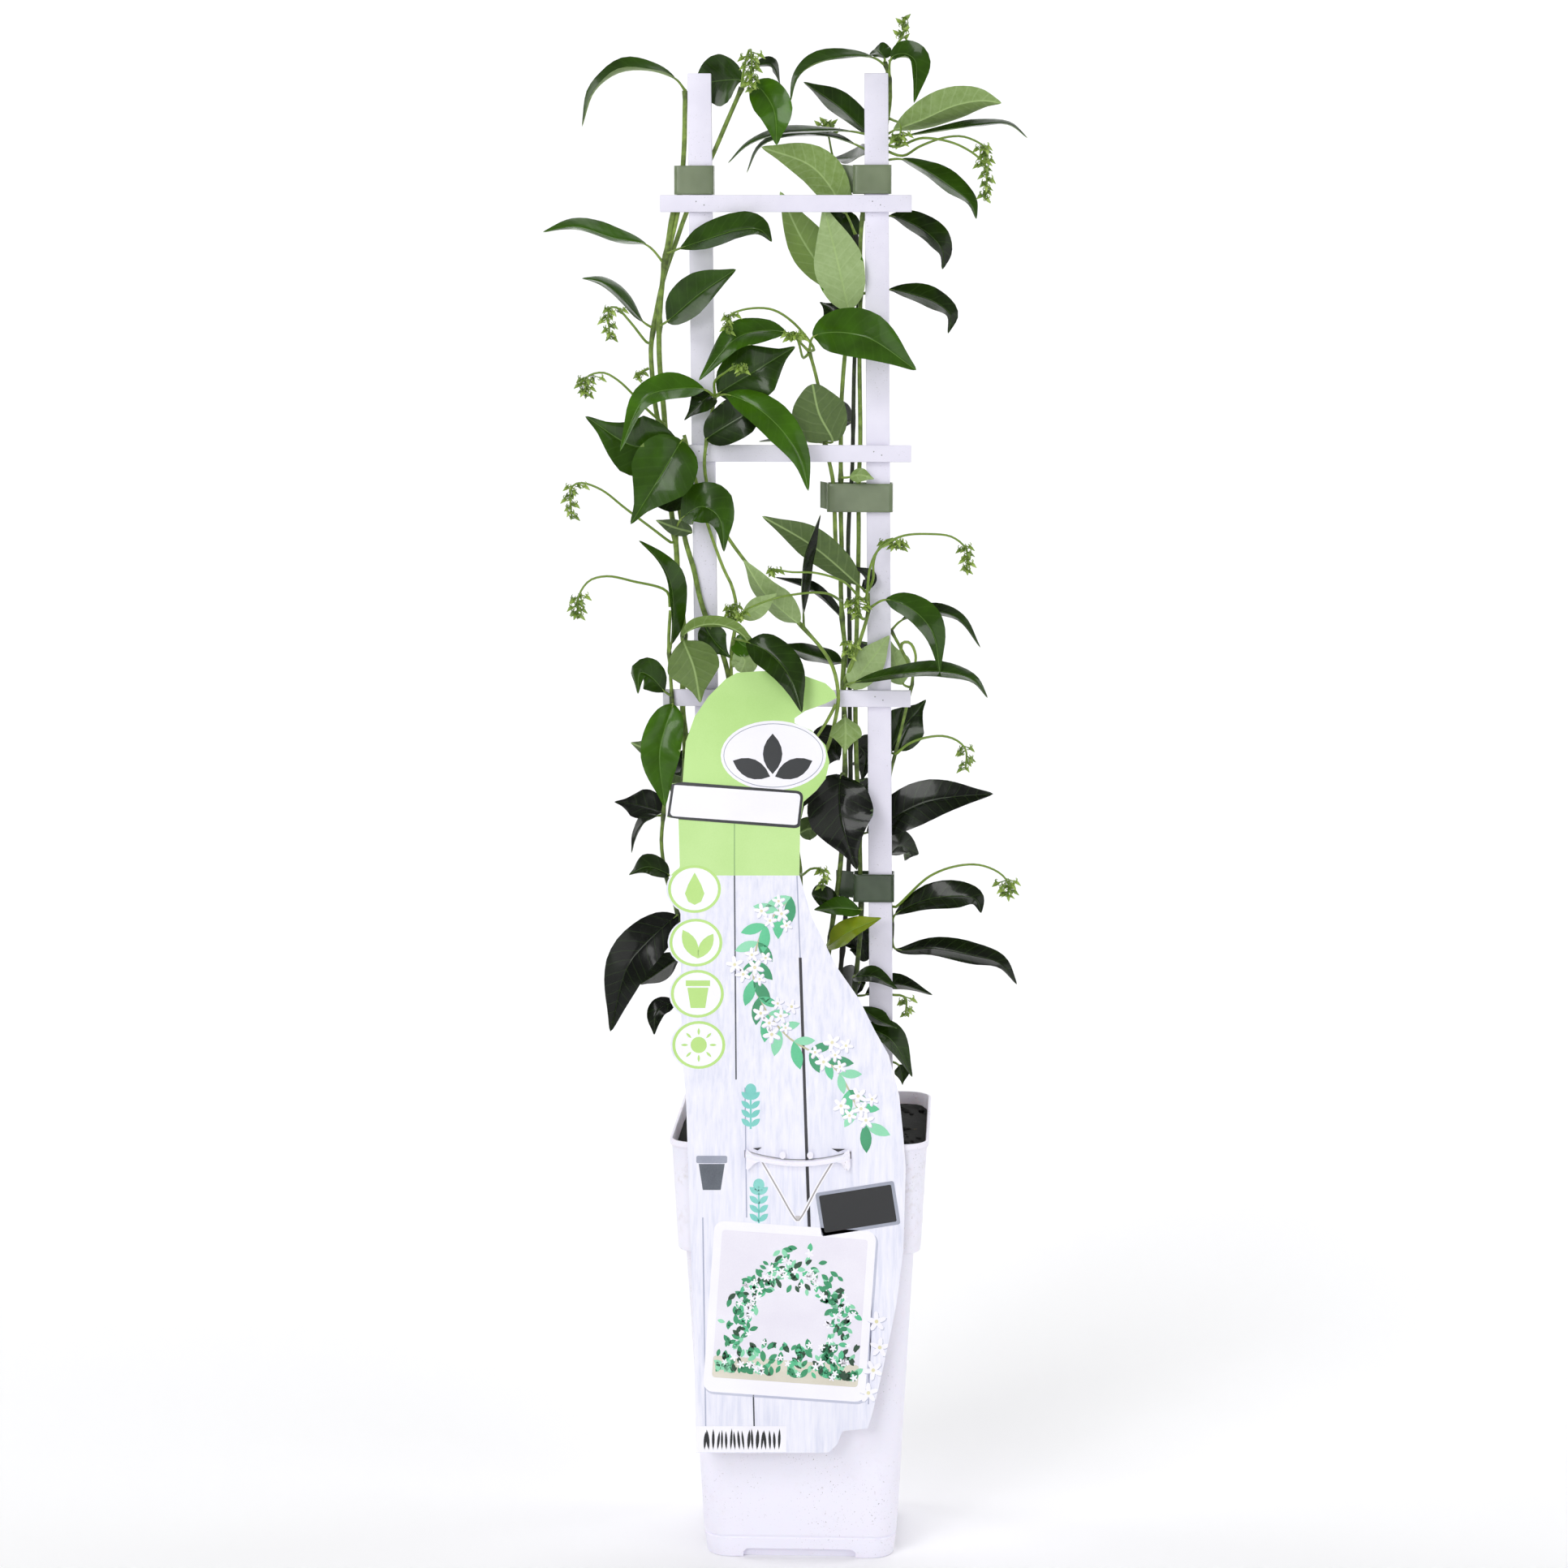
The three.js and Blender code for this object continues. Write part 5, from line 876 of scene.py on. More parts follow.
def pot_rings():
    """Outside and inside rings from the foot up over the rim and down to the floor."""
    r = CORNER_RADIUS
    outside = [
        (BASE_HALF - 1.2, r - 1.4, 0.0), (BASE_HALF - 0.4, r - 1, 0.15), (BASE_HALF, r - 1, 0.9),
        (SEAM_HALF - 0.7, r, SEAM_HEIGHT - 4), (SEAM_HALF - 0.3, r, SEAM_HEIGHT - 1.2),
        (SEAM_HALF - 0.9, r, SEAM_HEIGHT - 0.5), (SEAM_HALF - 0.9, r, SEAM_HEIGHT),
        (SEAM_HALF - 0.15, r, SEAM_HEIGHT + 0.6), (SEAM_HALF + 0.1, r, SEAM_HEIGHT + 1.6),
        (mix(SEAM_HALF, BODY_TOP_HALF, 0.33), r, mix(SEAM_HEIGHT, COLLAR_FOOT, 0.33)),
        (mix(SEAM_HALF, BODY_TOP_HALF, 0.66), r, mix(SEAM_HEIGHT, COLLAR_FOOT, 0.66)),
        (BODY_TOP_HALF, r, COLLAR_FOOT - 4.4), (BODY_TOP_HALF + 0.6, r, COLLAR_FOOT - 3.3),
        (COLLAR_FOOT_HALF - 1.4, r, COLLAR_FOOT - 2.7), (COLLAR_FOOT_HALF - 0.5, r, COLLAR_FOOT - 2.1),
        (COLLAR_FOOT_HALF - 0.1, r, COLLAR_FOOT - 1.2), (COLLAR_FOOT_HALF, r, COLLAR_FOOT),
        (mix(COLLAR_FOOT_HALF, RIM_HALF - 1.2, 0.5), r, mix(COLLAR_FOOT, POT_HEIGHT, 0.46)),
        (RIM_HALF - 1.2, r, POT_HEIGHT - 4.4), (RIM_HALF - 0.9, r, POT_HEIGHT - 3.9),
        (RIM_HALF - 0.25, r, POT_HEIGHT - 3.4), (RIM_HALF, r, POT_HEIGHT - 2.6),
        (RIM_HALF, r, POT_HEIGHT - 0.9), (RIM_HALF - 0.3, r, POT_HEIGHT - 0.25),
        (RIM_HALF - 0.9, r, POT_HEIGHT),
    ]
    inside = [(RIM_HALF - POT_WALL + 0.3, r - 1.6, POT_HEIGHT),
              (RIM_HALF - POT_WALL, r - 1.8, POT_HEIGHT - 0.5)]
    inside += [(inner_half(z), r - POT_WALL, z)
               for z in (POT_HEIGHT - 4, COLLAR_FOOT + 1, COLLAR_FOOT - 3, POT_HEIGHT - 153, POT_FLOOR)]
    return [square_ring(*ring) for ring in outside + inside]


# the clip's small parts on the front-view grid: outlines of its feet, and the nubs' u and v
CLIP_FEET = (
    [(919.5, 1415.5), (928, 1423), (937, 1428), (936.5, 1431), (929, 1434), (924.5, 1439), (921, 1442),
     (919, 1440)],
    [(1046, 1415.5), (1047.5, 1425), (1047.8, 1438), (1045.5, 1442.5), (1041, 1442), (1038.5, 1437),
     (1037, 1433.5), (1028, 1431.5), (1027.5, 1429), (1037, 1424)],
)
CLIP_NUBS = (964.2, 998.3)
NUB_LEVEL = 1423.5


def clip_sag(x):
    """Height of the strap's upper edge."""
    return CLIP_TOP - CLIP_SAG * (1 - (x / CLIP_HALF) ** 2)


def add_plate(surface, outline, front, back):
    """A flat plate between two depths, bounded by an outline of (u, v)."""
    surface.solid([[spot((u, v, depth)) for u, v in outline] for depth in (front, back)])


def add_clip(surface):
    """The arched strap through the card, with its raised lip, two small nubs and a foot at each end."""
    steps = 28
    back = -RIM_HALF + 1.4
    rows = []
    for i in range(steps + 1):
        x = CLIP_HALF * (2 * i / steps - 1)
        top = clip_sag(x)
        low = top - STRAP_HEIGHT
        rows.append([(x, depth, z) for depth, z in (
            (back, top), (CLIP_FRONT + 0.7, top), (CLIP_FRONT + 0.2, top - 0.2), (CLIP_FRONT, top - 0.7),
            (CLIP_FRONT, low + 0.7), (CLIP_FRONT + 0.2, low + 0.2), (CLIP_FRONT + 0.7, low), (back, low))])
    surface.solid(rows)
    for outline in CLIP_FEET:
        add_plate(surface, outline, CLIP_FRONT + 0.4, CLIP_FRONT + 1.8)
    for u in CLIP_NUBS:
        add_plate(surface, oval(u, NUB_LEVEL, 3.9, 4.6, 20), CLIP_FRONT + 0.6, CLIP_FRONT + 2.2)


def build_pot(look):
    """The moulded shell with its four feet, and the clip on its collar."""
    surface = Surface()
    surface.solid(pot_rings())
    shell = surface.build("pot_shell", [])
    # the notches between the four feet
    notches = Surface()
    profile = [(-33, -0.5), (-33, 3.5), (-31.5, 5.0), (-30, 5.5), (30, 5.5), (31.5, 5.0), (33, 3.5),
               (33, -0.5)]
    for side in range(4):
        turn = math.radians(90 * side)
        c, s = math.cos(turn), math.sin(turn)
        notches.solid([[(x * c - depth * s, x * s + depth * c, z) for x, z in profile]
                       for depth in (-BASE_HALF - 6, -BASE_HALF + 4)])
    cut_away(shell, notches.build("pot_notches", []))
    clip = Surface()
    add_clip(clip)
    strap = clip.build("pot_clip", [])
    fix_normals(strap)
    return weld("pot", [shell, strap], [pot_finish(look)], sharp_deg=38)


def soil_height(x, y):
    """The crumbly top of the potting mix, a little sunk at the wall."""
    edge = max(abs(x), abs(y)) / (inner_half(SOIL_LEVEL) - SOIL_PLAY)
    lump = noise.noise(Vector((x, y, 3.0)) / 14.0) * 1.3 + noise.noise(Vector((x, y, 9.0)) / 5.0) * 0.9
    return SOIL_LEVEL - 0.6 + lump - 1.6 * max(0.0, edge - 0.85) / 0.15


def build_soil(look):
    """The root ball that fills the pot, its uneven top, and loose crumbs and bark chips on it."""
    half = inner_half(SOIL_LEVEL) - SOIL_PLAY
    surface = Surface()
    rings = [square_ring(inner_half(z) - SOIL_PLAY, CORNER_RADIUS - POT_WALL, z)
             for z in (6.4, COLLAR_FOOT - 3, COLLAR_FOOT + 1, SOIL_LEVEL - 4)]
    edge = square_ring(half, CORNER_RADIUS - POT_WALL, SOIL_LEVEL)
    for scale in [1.0, 0.97] + [0.93 - 0.045 * k for k in range(20)]:
        rings.append([(x * scale, y * scale, soil_height(x * scale, y * scale)) for x, y, _ in edge])
    surface.solid(rings)
    chance = random.Random(5)
    for _ in range(look.crumb_count):
        x, y = (chance.uniform(-half + 3, half - 3) for _ in range(2))
        if abs(x) + abs(y) > 1.75 * half - 8:
            continue
        size = chance.uniform(0.8, 2.3)
        add_crumb(surface, Vector((x, y, soil_height(x, y) + size * 0.25)), size, chance)
    piece = surface.build("soil", [soil_finish()], sharp_deg=50)
    fix_normals(piece)
    return piece


def add_crumb(surface, middle, size, chance):
    """One six-sided crumb, flattened and turned by chance."""
    squash = (chance.uniform(0.7, 1.5), chance.uniform(0.6, 1.2), chance.uniform(0.4, 0.8))
    turn = chance.uniform(0, math.pi)
    rings = []
    for level, width in ((-0.8, 0.5), (-0.2, 1.0), (0.45, 0.8), (0.9, 0.25)):
        ring = []
        for k in range(6):
            a = turn + k * math.pi / 3
            r = size * width * chance.uniform(0.75, 1.2)
            ring.append(middle + Vector((math.cos(a) * r * squash[0], math.sin(a) * r * squash[1],
                                         level * size * squash[2])))
        rings.append(ring)
    surface.solid(rings)


# ---- Trellis and ties ---------------------------------------------------------------------------


def upright_at(side, z):
    """Where the middle of an upright stands at a height; both lean outwards a little."""
    top, foot = UPRIGHTS[side]
    return mix(foot, top, (z - SOIL_LEVEL) / (TRELLIS_TOP - SOIL_LEVEL))


def build_upright(side, finish):
    foot = SOIL_LEVEL - ROOT_DEPTH
    half = UPRIGHT_WIDTH / 2
    a, b = upright_at(side, foot), upright_at(side, TRELLIS_TOP)
    corners = [(a - half, foot), (a + half, foot), (b + half, TRELLIS_TOP), (b - half, TRELLIS_TOP)]
    return bevelled_bar(f"trellis_upright_{side}", corners, UPRIGHT_THICKNESS, -UPRIGHT_THICKNESS / 2,
                        0.7, [finish])


def build_slat(name, finish, steel):
    """A cross slat in front of the uprights, with two small pins sunk in it where it crosses each."""
    level = SLATS[name]
    middle = SLAT_CENTRE + (level - SLATS["low"]) * -0.002
    half, up = SLAT_LENGTH / 2, SLAT_HEIGHT / 2
    front = -UPRIGHT_THICKNESS / 2 - SLAT_GAP - SLAT_THICKNESS
    corners = [(middle - half, level - up), (middle + half, level - up), (middle + half, level + up),
               (middle - half, level + up)]
    parts = [bevelled_bar(f"slat_{name}", corners, SLAT_THICKNESS, front, 0.6, [finish])]
    for side in UPRIGHTS:
        pins = Surface()
        for across, up in ((-2.4, 1.2), (2.2, -0.8)):
            x, z = upright_at(side, level) + across, level + up
            course = Course([(x, front + 0.4, z), (x, front - 0.12, z)])
            tube(pins, course, course.evenly(3), [0.42, 0.42, 0.42, 0.3], 10)
        parts.append(pins.build(f"pins_{side}", []))
        for face in parts[-1].data.polygons:
            face.material_index = 1
    return weld(f"trellis_slat_{name}", parts, [finish, steel], sharp_deg=35)


# a tie's left and right side and its level on the grid, the depths it spans in millimetres, and
# the reach of its free end in grid steps
TIES = {
    "left_top": (831, 879.5, 222.0, -3.0, 9.0, 0),
    "right_top": (1051, 1098, 221.0, -3.0, 9.5, 18),
    "right_middle": (1019, 1100, 613.0, -4.0, 10.0, 9),
    "right_low": (1051, 1102, 1093.5, -3.0, 10.5, 22),
}
TIE_HEIGHT = 16.5
TIE_THICKNESS = 0.7
TIE_LEVELS = (0.0, 0.02, 0.1, 0.25, 0.4, 0.5, 0.6, 0.75, 0.9, 0.98, 1.0)
TIE_CREASE = 0.12
GRID_STEP = 0.472                 # millimetres for a grid step at the ties


def rounded_oval(x0, x1, y0, y1, radius):
    """Points round a flat oval loop, anticlockwise from its front right."""
    per_corner, per_side = 6, 10
    ring = []
    corners = ((x1 - radius, y0 + radius, -90), (x1 - radius, y1 - radius, 0),
               (x0 + radius, y1 - radius, 90), (x0 + radius, y0 + radius, 180))
    for k, (cx, cy, start) in enumerate(corners):
        for i in range(per_corner + 1):
            a = math.radians(start + 90 * i / per_corner)
            ring.append((cx + radius * math.cos(a), cy + radius * math.sin(a)))
        nx, ny, next_start = corners[(k + 1) % 4]
        a = math.radians(next_start)
        goal = (nx + radius * math.cos(a), ny + radius * math.sin(a))
        here = ring[-1]
        ring += [(mix(here[0], goal[0], i / per_side), mix(here[1], goal[1], i / per_side))
                 for i in range(1, per_side)]
    return ring


def build_tie(name, finish, height):
    """One turn of tape: an oval band with slack creases, and a free end at its left."""
    left, right, v, front, back, tail = TIES[name]
    middle = spot(((left + right) / 2, v, 0.0))
    half = (right - left) * GRID_STEP / 2
    x0, x1, z = middle.x - half, middle.x + half, middle.z - height / 2
    t = TIE_THICKNESS
    outer = rounded_oval(x0, x1, front - t, back + t, 2.2)
    inner = rounded_oval(x0 + t, x1 - t, front, back, 1.5)
    surface = Surface()
    rows = []

    def crease(x, y, level):
        return TIE_CREASE * noise.noise(Vector((x * 0.25, y * 0.25, level * 2.0 + v)))

    for level in TIE_LEVELS:
        soft = 0.2 if level in (0.0, 1.0) else 0.0
        rows.append([(x, y + crease(x, y, level) + (soft if y < 3 else -soft), z + height * level)
                     for x, y in outer])
    for level in reversed(TIE_LEVELS):
        rows.append([(x, y + crease(x, y, level), z + height * level) for x, y in inner])
    surface.grid(rows + [rows[0]], closed=True)
    if tail:
        y = back - 1.8
        columns = 10
        rows = []
        for k in range(columns + 1):
            part = k / columns
            x = mix(x0 + 1.2, x0 - tail * GRID_STEP, part)
            low, high = z + mix(0.4, 1.8, part), z + height + mix(-0.4, 0.6, part)
            bow = 0.5 * math.sin(part * 3.0) * (0.4 + 0.6 * part)
            rows.append([(x, y + bow, low), (x, y + bow - 0.1, (low + high) / 2), (x, y + bow, high),
                         (x, y + bow + 0.6, high), (x, y + bow + 0.6, low)])
        surface.solid(rows)
    piece = surface.build(f"tape_tie_{name}", [finish], sharp_deg=50)
    fix_normals(piece)
    return piece


# ---- Leafy stems --------------------------------------------------------------------------------

BLADE_OUTLINE = [(0.0, 0.04), (0.05, 0.2), (0.1, 0.42), (0.17, 0.67), (0.26, 0.86), (0.36, 0.97),
                 (0.45, 1.0), (0.56, 0.93), (0.66, 0.76), (0.76, 0.52), (0.85, 0.28), (0.92, 0.14),
                 (0.97, 0.06), (1.0, 0.0)]
BLADE_COLUMNS = (-1.0, -0.82, -0.6, -0.38, -0.18, -0.06, 0.0, 0.06, 0.18, 0.38, 0.6, 0.82, 1.0)
BLADE_ROWS = 22
MIDRIB_GROOVE = 0.28              # depth of the sunk midrib
MIDRIB_KEEL = 0.25                # how far the midrib stands out beneath, at the base
PUCKER = 0.06                     # height of the swell between two side veins
FOLD_BELLY = 0.06                 # how far each half sags below a straight fold, as a share
PETIOLE_RADII = (1.05, 0.85, 0.75, 0.7, 0.7, 0.68, 0.6, 0.3)


def outline_at(part):
    """Share of the full width at part of the length of an even blade."""
    for (a, low), (b, high) in zip(BLADE_OUTLINE, BLADE_OUTLINE[1:]):
        if part <= b:
            return mix(low, high, (part - a) / (b - a))
    return 0.0


def blade_share(part, slender):
    """Share of the full width at part of the length, by the blade's width for its length.

    The roundest blades are oval, broad ones draw in to a long drip tip, and narrow ones taper.
    """
    round_blade = math.sqrt(max(0.0, 1 - (2 * part - 1) ** 2))
    blunt = min(1.0, max(0.18, (slender - 0.78) / 0.15))
    drip = min(1.0, max(0.0, (slender - 0.5) / 0.1)) * (blunt < 0.2)
    near_tip = min(1.0, max(0.0, (part - 0.55) / 0.3))
    return mix(outline_at(part), round_blade, blunt) * (1 - 0.42 * drip * near_tip)


def leaf_frame(course, t, look, turn, angle):
    """Place, direction, sideways reach and facing of a leaf at t along its course."""
    along = course.along(t)
    across = along.cross(look).normalized() * turn
    facing = across.cross(along).normalized() * turn
    if facing.dot(look) < 0:
        facing.negate()
    normal = facing * math.cos(angle) + across * math.sin(angle)
    return course.at(t), along, along.cross(normal).normalized(), normal


def add_leaf(surface, stem_point, leaf, thickness, chance):
    """One blade on its petiole: glossy face in slot 0, underside in slot 1, petiole in slot 2."""
    places, width, roll, side, fold, tone = leaf
    marks = [spot(p) for p in (places[1:] if len(places) > 3 else places)]
    start = 1 / len(marks)
    course = Course([stem_point] + marks)
    chord = marks[-1] - marks[0]
    look = (EYE - marks[len(marks) // 2]).normalized()
    upward = chord.cross(look)
    lean = upward.z if abs(upward.z) > 0.3 * upward.length else upward.x
    turn = math.copysign(1.0, lean)
    angle = math.radians(roll)
    lift = math.tan(math.radians(fold))
    blade_length = sum((b - a).length for a, b in zip(marks, marks[1:]))
    slender = width / blade_length
    wave = chance.uniform(0.02, 0.05) * width
    beat, phase = chance.uniform(1.3, 2.2), chance.uniform(0, 6.28)
    curl = chance.uniform(-0.03, 0.07) * width
    front, rear, length = [], [], 0.0
    before = None
    for k in range(BLADE_ROWS + 1):
        part = 0.5 - 0.5 * math.cos(math.pi * k / BLADE_ROWS)
        part = mix(k / BLADE_ROWS, part, 0.6)
        t = mix(start, 1.0, part)
        point, along, reach, normal = leaf_frame(course, t, look, turn, angle)
        if before is not None:
            length += (point - before).length
        before = point
        half = width / 2 * blade_share(part, slender)
        upper = normal * side
        mids, reaches = [], []
        for v in BLADE_COLUMNS:
            a = abs(v)
            rise = half * lift * (a - FOLD_BELLY * math.sin(math.pi * a))
            ripple = wave * a * a * math.sin(beat * math.tau * part + phase + (1.3 if v > 0 else 0.0))
            droop = -curl * a ** 3
            groove = -MIDRIB_GROOVE * max(0.0, 1 - a / 0.1) * min(1.0, half / 4)
            pucker = PUCKER * a * (1 - a) * 4 * math.sin(length / VEIN_SPACING * math.tau - a * 4.0)
            shift = rise + (ripple + droop) * outline_at(part) + groove + pucker
            mids.append(point + reach * (v * half) + upper * shift)
            reaches.append(v * half)
        thin = [thickness / 2 * (1 - 0.75 * abs(v) ** 4)
                + (MIDRIB_KEEL if v == 0.0 else 0.0) * (1 - part) for v in BLADE_COLUMNS]
        front.append([(m + upper * thickness / 4, x, length) for m, x in zip(mids, reaches)])
        rear.append([(m - upper * h, x, length) for m, x, h in zip(mids, reaches, thin)])
    top, bottom = [], []
    last = len(front) - 1
    for r, (row, under) in enumerate(zip(front, rear)):
        top_row, bottom_row = [], []
        for c, ((place, x, y), (low, _, _)) in enumerate(zip(row, under)):
            shared = c in (0, len(row) - 1) or r in (0, last)
            i = surface.point((place + low) / 2 if shared else place, tone)
            top_row.append((i, (y, x)))
            bottom_row.append((i if shared else surface.point(low, tone), (y, x)))
        top.append(top_row)
        bottom.append(bottom_row)
    # the faces' winding, judged at the midrib a third of the way up
    third, rib = 8, len(BLADE_COLUMNS) // 2
    winding = (front[third][rib + 1][0] - front[third][rib - 1][0]).cross(
        front[third + 1][rib][0] - front[third][rib][0])
    outward = winding.dot(front[third][rib][0] - rear[third][rib][0]) > 0
    for r in range(last):
        for c in range(len(BLADE_COLUMNS) - 1):
            for sheet, slot, forward in ((top, 0, outward), (bottom, 1, not outward)):
                corners = [sheet[r][c], sheet[r][c + 1], sheet[r + 1][c + 1], sheet[r + 1][c]]
                if not forward:
                    corners.reverse()
                surface.face([i for i, _ in corners], slot, [uv for _, uv in corners])
    # the petiole's tone follows its leaf's, so it carries the leaf's painted shade as well as its age
    petiole = [start * k / 6 for k in range(7)] + [start + 0.05]
    tube(surface, course, petiole, PETIOLE_RADII, 8, slot=2, tone=0.1 + 0.3 * (1 - min(1.0, tone)))


def stem_courses(paths):
    """Courses of a stem and its side shoots; the first one starts in the soil."""
    points = [spot(p) for p in paths[0]]
    mouth = Vector((points[0].x, points[0].y, SOIL_LEVEL + 1))
    foot = Vector((mouth.x, mouth.y, SOIL_LEVEL - ROOT_DEPTH))
    return [Course([foot, mouth] + points[1:])] + [Course([spot(p) for p in path]) for path in paths[1:]]


def nearest_on(courses, point):
    places = [course.at(i / 260) for course in courses for i in range(261)]
    return min(places, key=lambda place: (place - point).length_squared)


def add_shoot(surface, course, radius, age, leaf_points):
    """The shoot itself, swollen a little at each node where leaves grow."""
    count = max(12, int(course.length / 5))
    marks = course.evenly(count)
    radii = []
    for k, t in enumerate(marks):
        place = course.at(t)
        near = min((place - p).length for p in leaf_points)
        taper = mix(1.1, 0.8, k / count)
        radii.append(radius * taper * (1 + 0.45 * math.exp(-(near / 2.6) ** 2)
                                       + 0.05 * noise.noise(place / 6.0)))
    first = len(surface.points)
    tube(surface, course, marks, radii, 10, slot=2, tone=age)
    # old wood is darker towards the soil, and every node is ringed dark
    for i in range(first, len(surface.points)):
        place = surface.points[i]
        near = min((place - p).length for p in leaf_points)
        surface.tones[i] = age + 0.35 * max(0.0, 1 - (place.z - SOIL_LEVEL) / 260) \
            + 0.4 * math.exp(-(near / 3.0) ** 2)


def build_stem(name, finishes, thickness):
    """A stem with its side shoots and all its leaves."""
    stem = STEMS[name]
    chance = random.Random(name)
    courses = stem_courses(stem["paths"])
    surface = Surface()
    roots = [nearest_on(courses, spot(leaf[0][0])) for leaf in stem["leaves"]]
    for k, course in enumerate(courses):
        age = stem["age"] if k == 0 else max(0.0, stem["age"] - 0.1)
        add_shoot(surface, course, stem["radius"] * (0.8 if k else 1.0), age, roots)
    for leaf, root in zip(stem["leaves"], roots):
        add_leaf(surface, root, leaf, thickness, chance)
    return surface.build(name, finishes, sharp_deg=55)


# ---- Flower bud sprays --------------------------------------------------------------------------

# a bud and its pedicel: the share of the way from root to tip, and the radius there in millimetres
BUD_PROFILE = [(0.0, 0.38), (0.25, 0.38), (0.42, 0.45), (0.5, 0.85), (0.58, 1.15), (0.68, 1.15),
               (0.8, 0.75), (0.92, 0.36), (1.0, 0.05)]
BUD_WAIST = 0.6                   # share of the way at which the bud starts
BUD_TIP = 3.4
SEPALS = 5
SEPAL_MARKS = (0.0, 0.3, 0.6, 0.8, 1.0)
SEPAL_RADII = (0.42, 0.4, 0.3, 0.2, 0.05)
HEAD_START = 3.0
GOLDEN_ANGLE = 2.4


def draws(seed):
    """The seeded draws that set each head of buds."""
    state = seed
    while True:
        state = (state * 1664525 + 1013904223) % 4294967296
        yield state / 4294967296


def add_bud(surface, root, waist, tip, tone, size):
    """A pointed bud on its pedicel, with five recurved sepals round its waist."""
    along = (tip - waist).normalized()
    side = Vector((0.3, 1, 0.2)).cross(along).normalized()
    other = along.cross(side)
    stem_part = (waist - root).length / ((waist - root).length + (tip - waist).length)
    rows = []
    for part, radius in BUD_PROFILE:
        if part < BUD_WAIST:
            middle = root.lerp(waist, part / BUD_WAIST)
        else:
            middle = waist.lerp(tip, (part - BUD_WAIST) / (1 - BUD_WAIST))
        ring = []
        for k in range(8):
            a = math.tau * k / 8 + part * 1.6
            r = radius * size * (1 + (0.12 if k % 2 else -0.06) * (part > 0.45))
            ring.append(middle + (side * math.cos(a) + other * math.sin(a)) * r)
        rows.append(ring)
    for (part, _), row in zip(BUD_PROFILE, surface.solid(rows)):
        for i in row:
            surface.tones[i] = tone + 0.4 * (part - BUD_WAIST)
    for k in range(SEPALS):
        a = math.tau * k / SEPALS + stem_part * 9
        out = side * math.cos(a) + other * math.sin(a)
        neck = waist - along * 0.9
        course = Course([neck + out * 0.6 * size, neck + out * 1.6 * size + along * 0.3,
                         neck + out * 2.3 * size - along * 0.5, neck + out * 2.1 * size - along * 1.4])
        tube(surface, course, SEPAL_MARKS, SEPAL_RADII, 4, tone=tone - 0.15 + 0.06 * k)


def build_spray(name, finish):
    """A stalk that ends at its shoot, and buds in a spiral round its head."""
    stem_name, count, spread, drop, places = SPRAYS[name]
    chance = draws(len(name) * 97 + count * 13 + round(spread))
    own = random.Random(name)
    stem = STEMS[stem_name]
    points = [spot(p) for p in places]
    centre = nearest_on(stem_courses(stem["paths"]), points[0])
    outward = (points[0] - centre).normalized()
    clear = stem["radius"] + 0.85
    if (centre - points[0]).length > clear + 1:
        points.insert(0, centre + outward * clear)
    points.append(points[-1] + Vector((0, 0, -0.85 * drop)))
    course = Course(points)
    fine = 200
    even = course.evenly(fine)
    head = abs(drop) + HEAD_START
    length = course.length
    surface = Surface()
    steps = max(8, int(length / 3))
    tube(surface, course, course.evenly(steps), [mix(0.85, 0.55, k / steps) for k in range(steps + 1)], 7)
    for i in range(count):
        level = (i + 0.6) / count
        angle = i * GOLDEN_ANGLE + 0.6 * next(chance)
        part = max(0.2, 1 - head / length * (1 - level))
        root = course.at(even[min(fine, round(part * fine))])
        reach = spread / 2 * (0.75 + 0.25 * next(chance)) * (1 - 0.4 * level)
        side = Vector((math.cos(angle), 0.8 * math.sin(angle), -0.35 * math.copysign(1, drop)))
        waist = root + side * reach
        direction = Vector((side.x, side.y, side.z * 2.4)).normalized()
        add_bud(surface, root, waist, waist + direction * BUD_TIP, own.uniform(0.45, 0.8),
                own.uniform(0.85, 1.0))
        # a smaller bud beside it fills the head
        a = angle + own.uniform(0.9, 1.5)
        aside = Vector((math.cos(a), 0.8 * math.sin(a), -0.7 * math.copysign(1, drop)))
        waist = root + aside * reach * own.uniform(0.45, 0.75)
        add_bud(surface, root, waist, waist + aside.normalized() * BUD_TIP * 0.8, own.uniform(0.3, 0.7),
                own.uniform(0.6, 0.75))
    return surface.build(name, [finish], sharp_deg=60)


# ---- Card label ---------------------------------------------------------------------------------
# Die-cut edges on the front-view grid as (v, u), with four round tabs down the left side. Printed
# areas are thin films of ink that follow the bend of the card.

CARD_LEFT = [(827, 936), (829, 908), (837, 894), (858, 873), (883, 856), (914, 845), (964, 841),
             (965.5, 828), (1007, 822), (1009, 836), (1080, 838), (1300, 840), (1345, 845), (1500, 850),
             (1680, 856), (1790, 858)]
CARD_RIGHT = [(827, 950), (829, 978), (833, 992), (842, 1017), (852, 1028), (860, 1031), (867, 1017),
              (876, 992), (885, 979), (891, 979), (900, 1000), (918, 1017), (939, 1022), (960, 1017),
              (974, 1006), (988, 990), (1012, 986), (1078, 985), (1130, 1000), (1190, 1030), (1230, 1058),
              (1270, 1078), (1300, 1095), (1350, 1108), (1400, 1113), (1440, 1116), (1540, 1113),
              (1605, 1105), (1640, 1098), (1700, 1085), (1745, 1074), (1760, 1069), (1763, 1038),
              (1780, 1031), (1790, 1021)]
TAB_CENTRES = (1095.5, 1161.5, 1224.5, 1287.5)
TAB_MIDDLE = 854.7                # u of the first tab's centre
TAB_SHIFT = 0.028                 # how far each lower tab moves to the right, per grid step down
TAB_ACROSS = 33.8
TAB_UP = 30.4
TAB_LEVELS = (0, 0.3, 0.55, 0.72, 0.85, 0.93, 0.98, 1)           # where the tabs' edge is followed
CARD_HEAD = 827
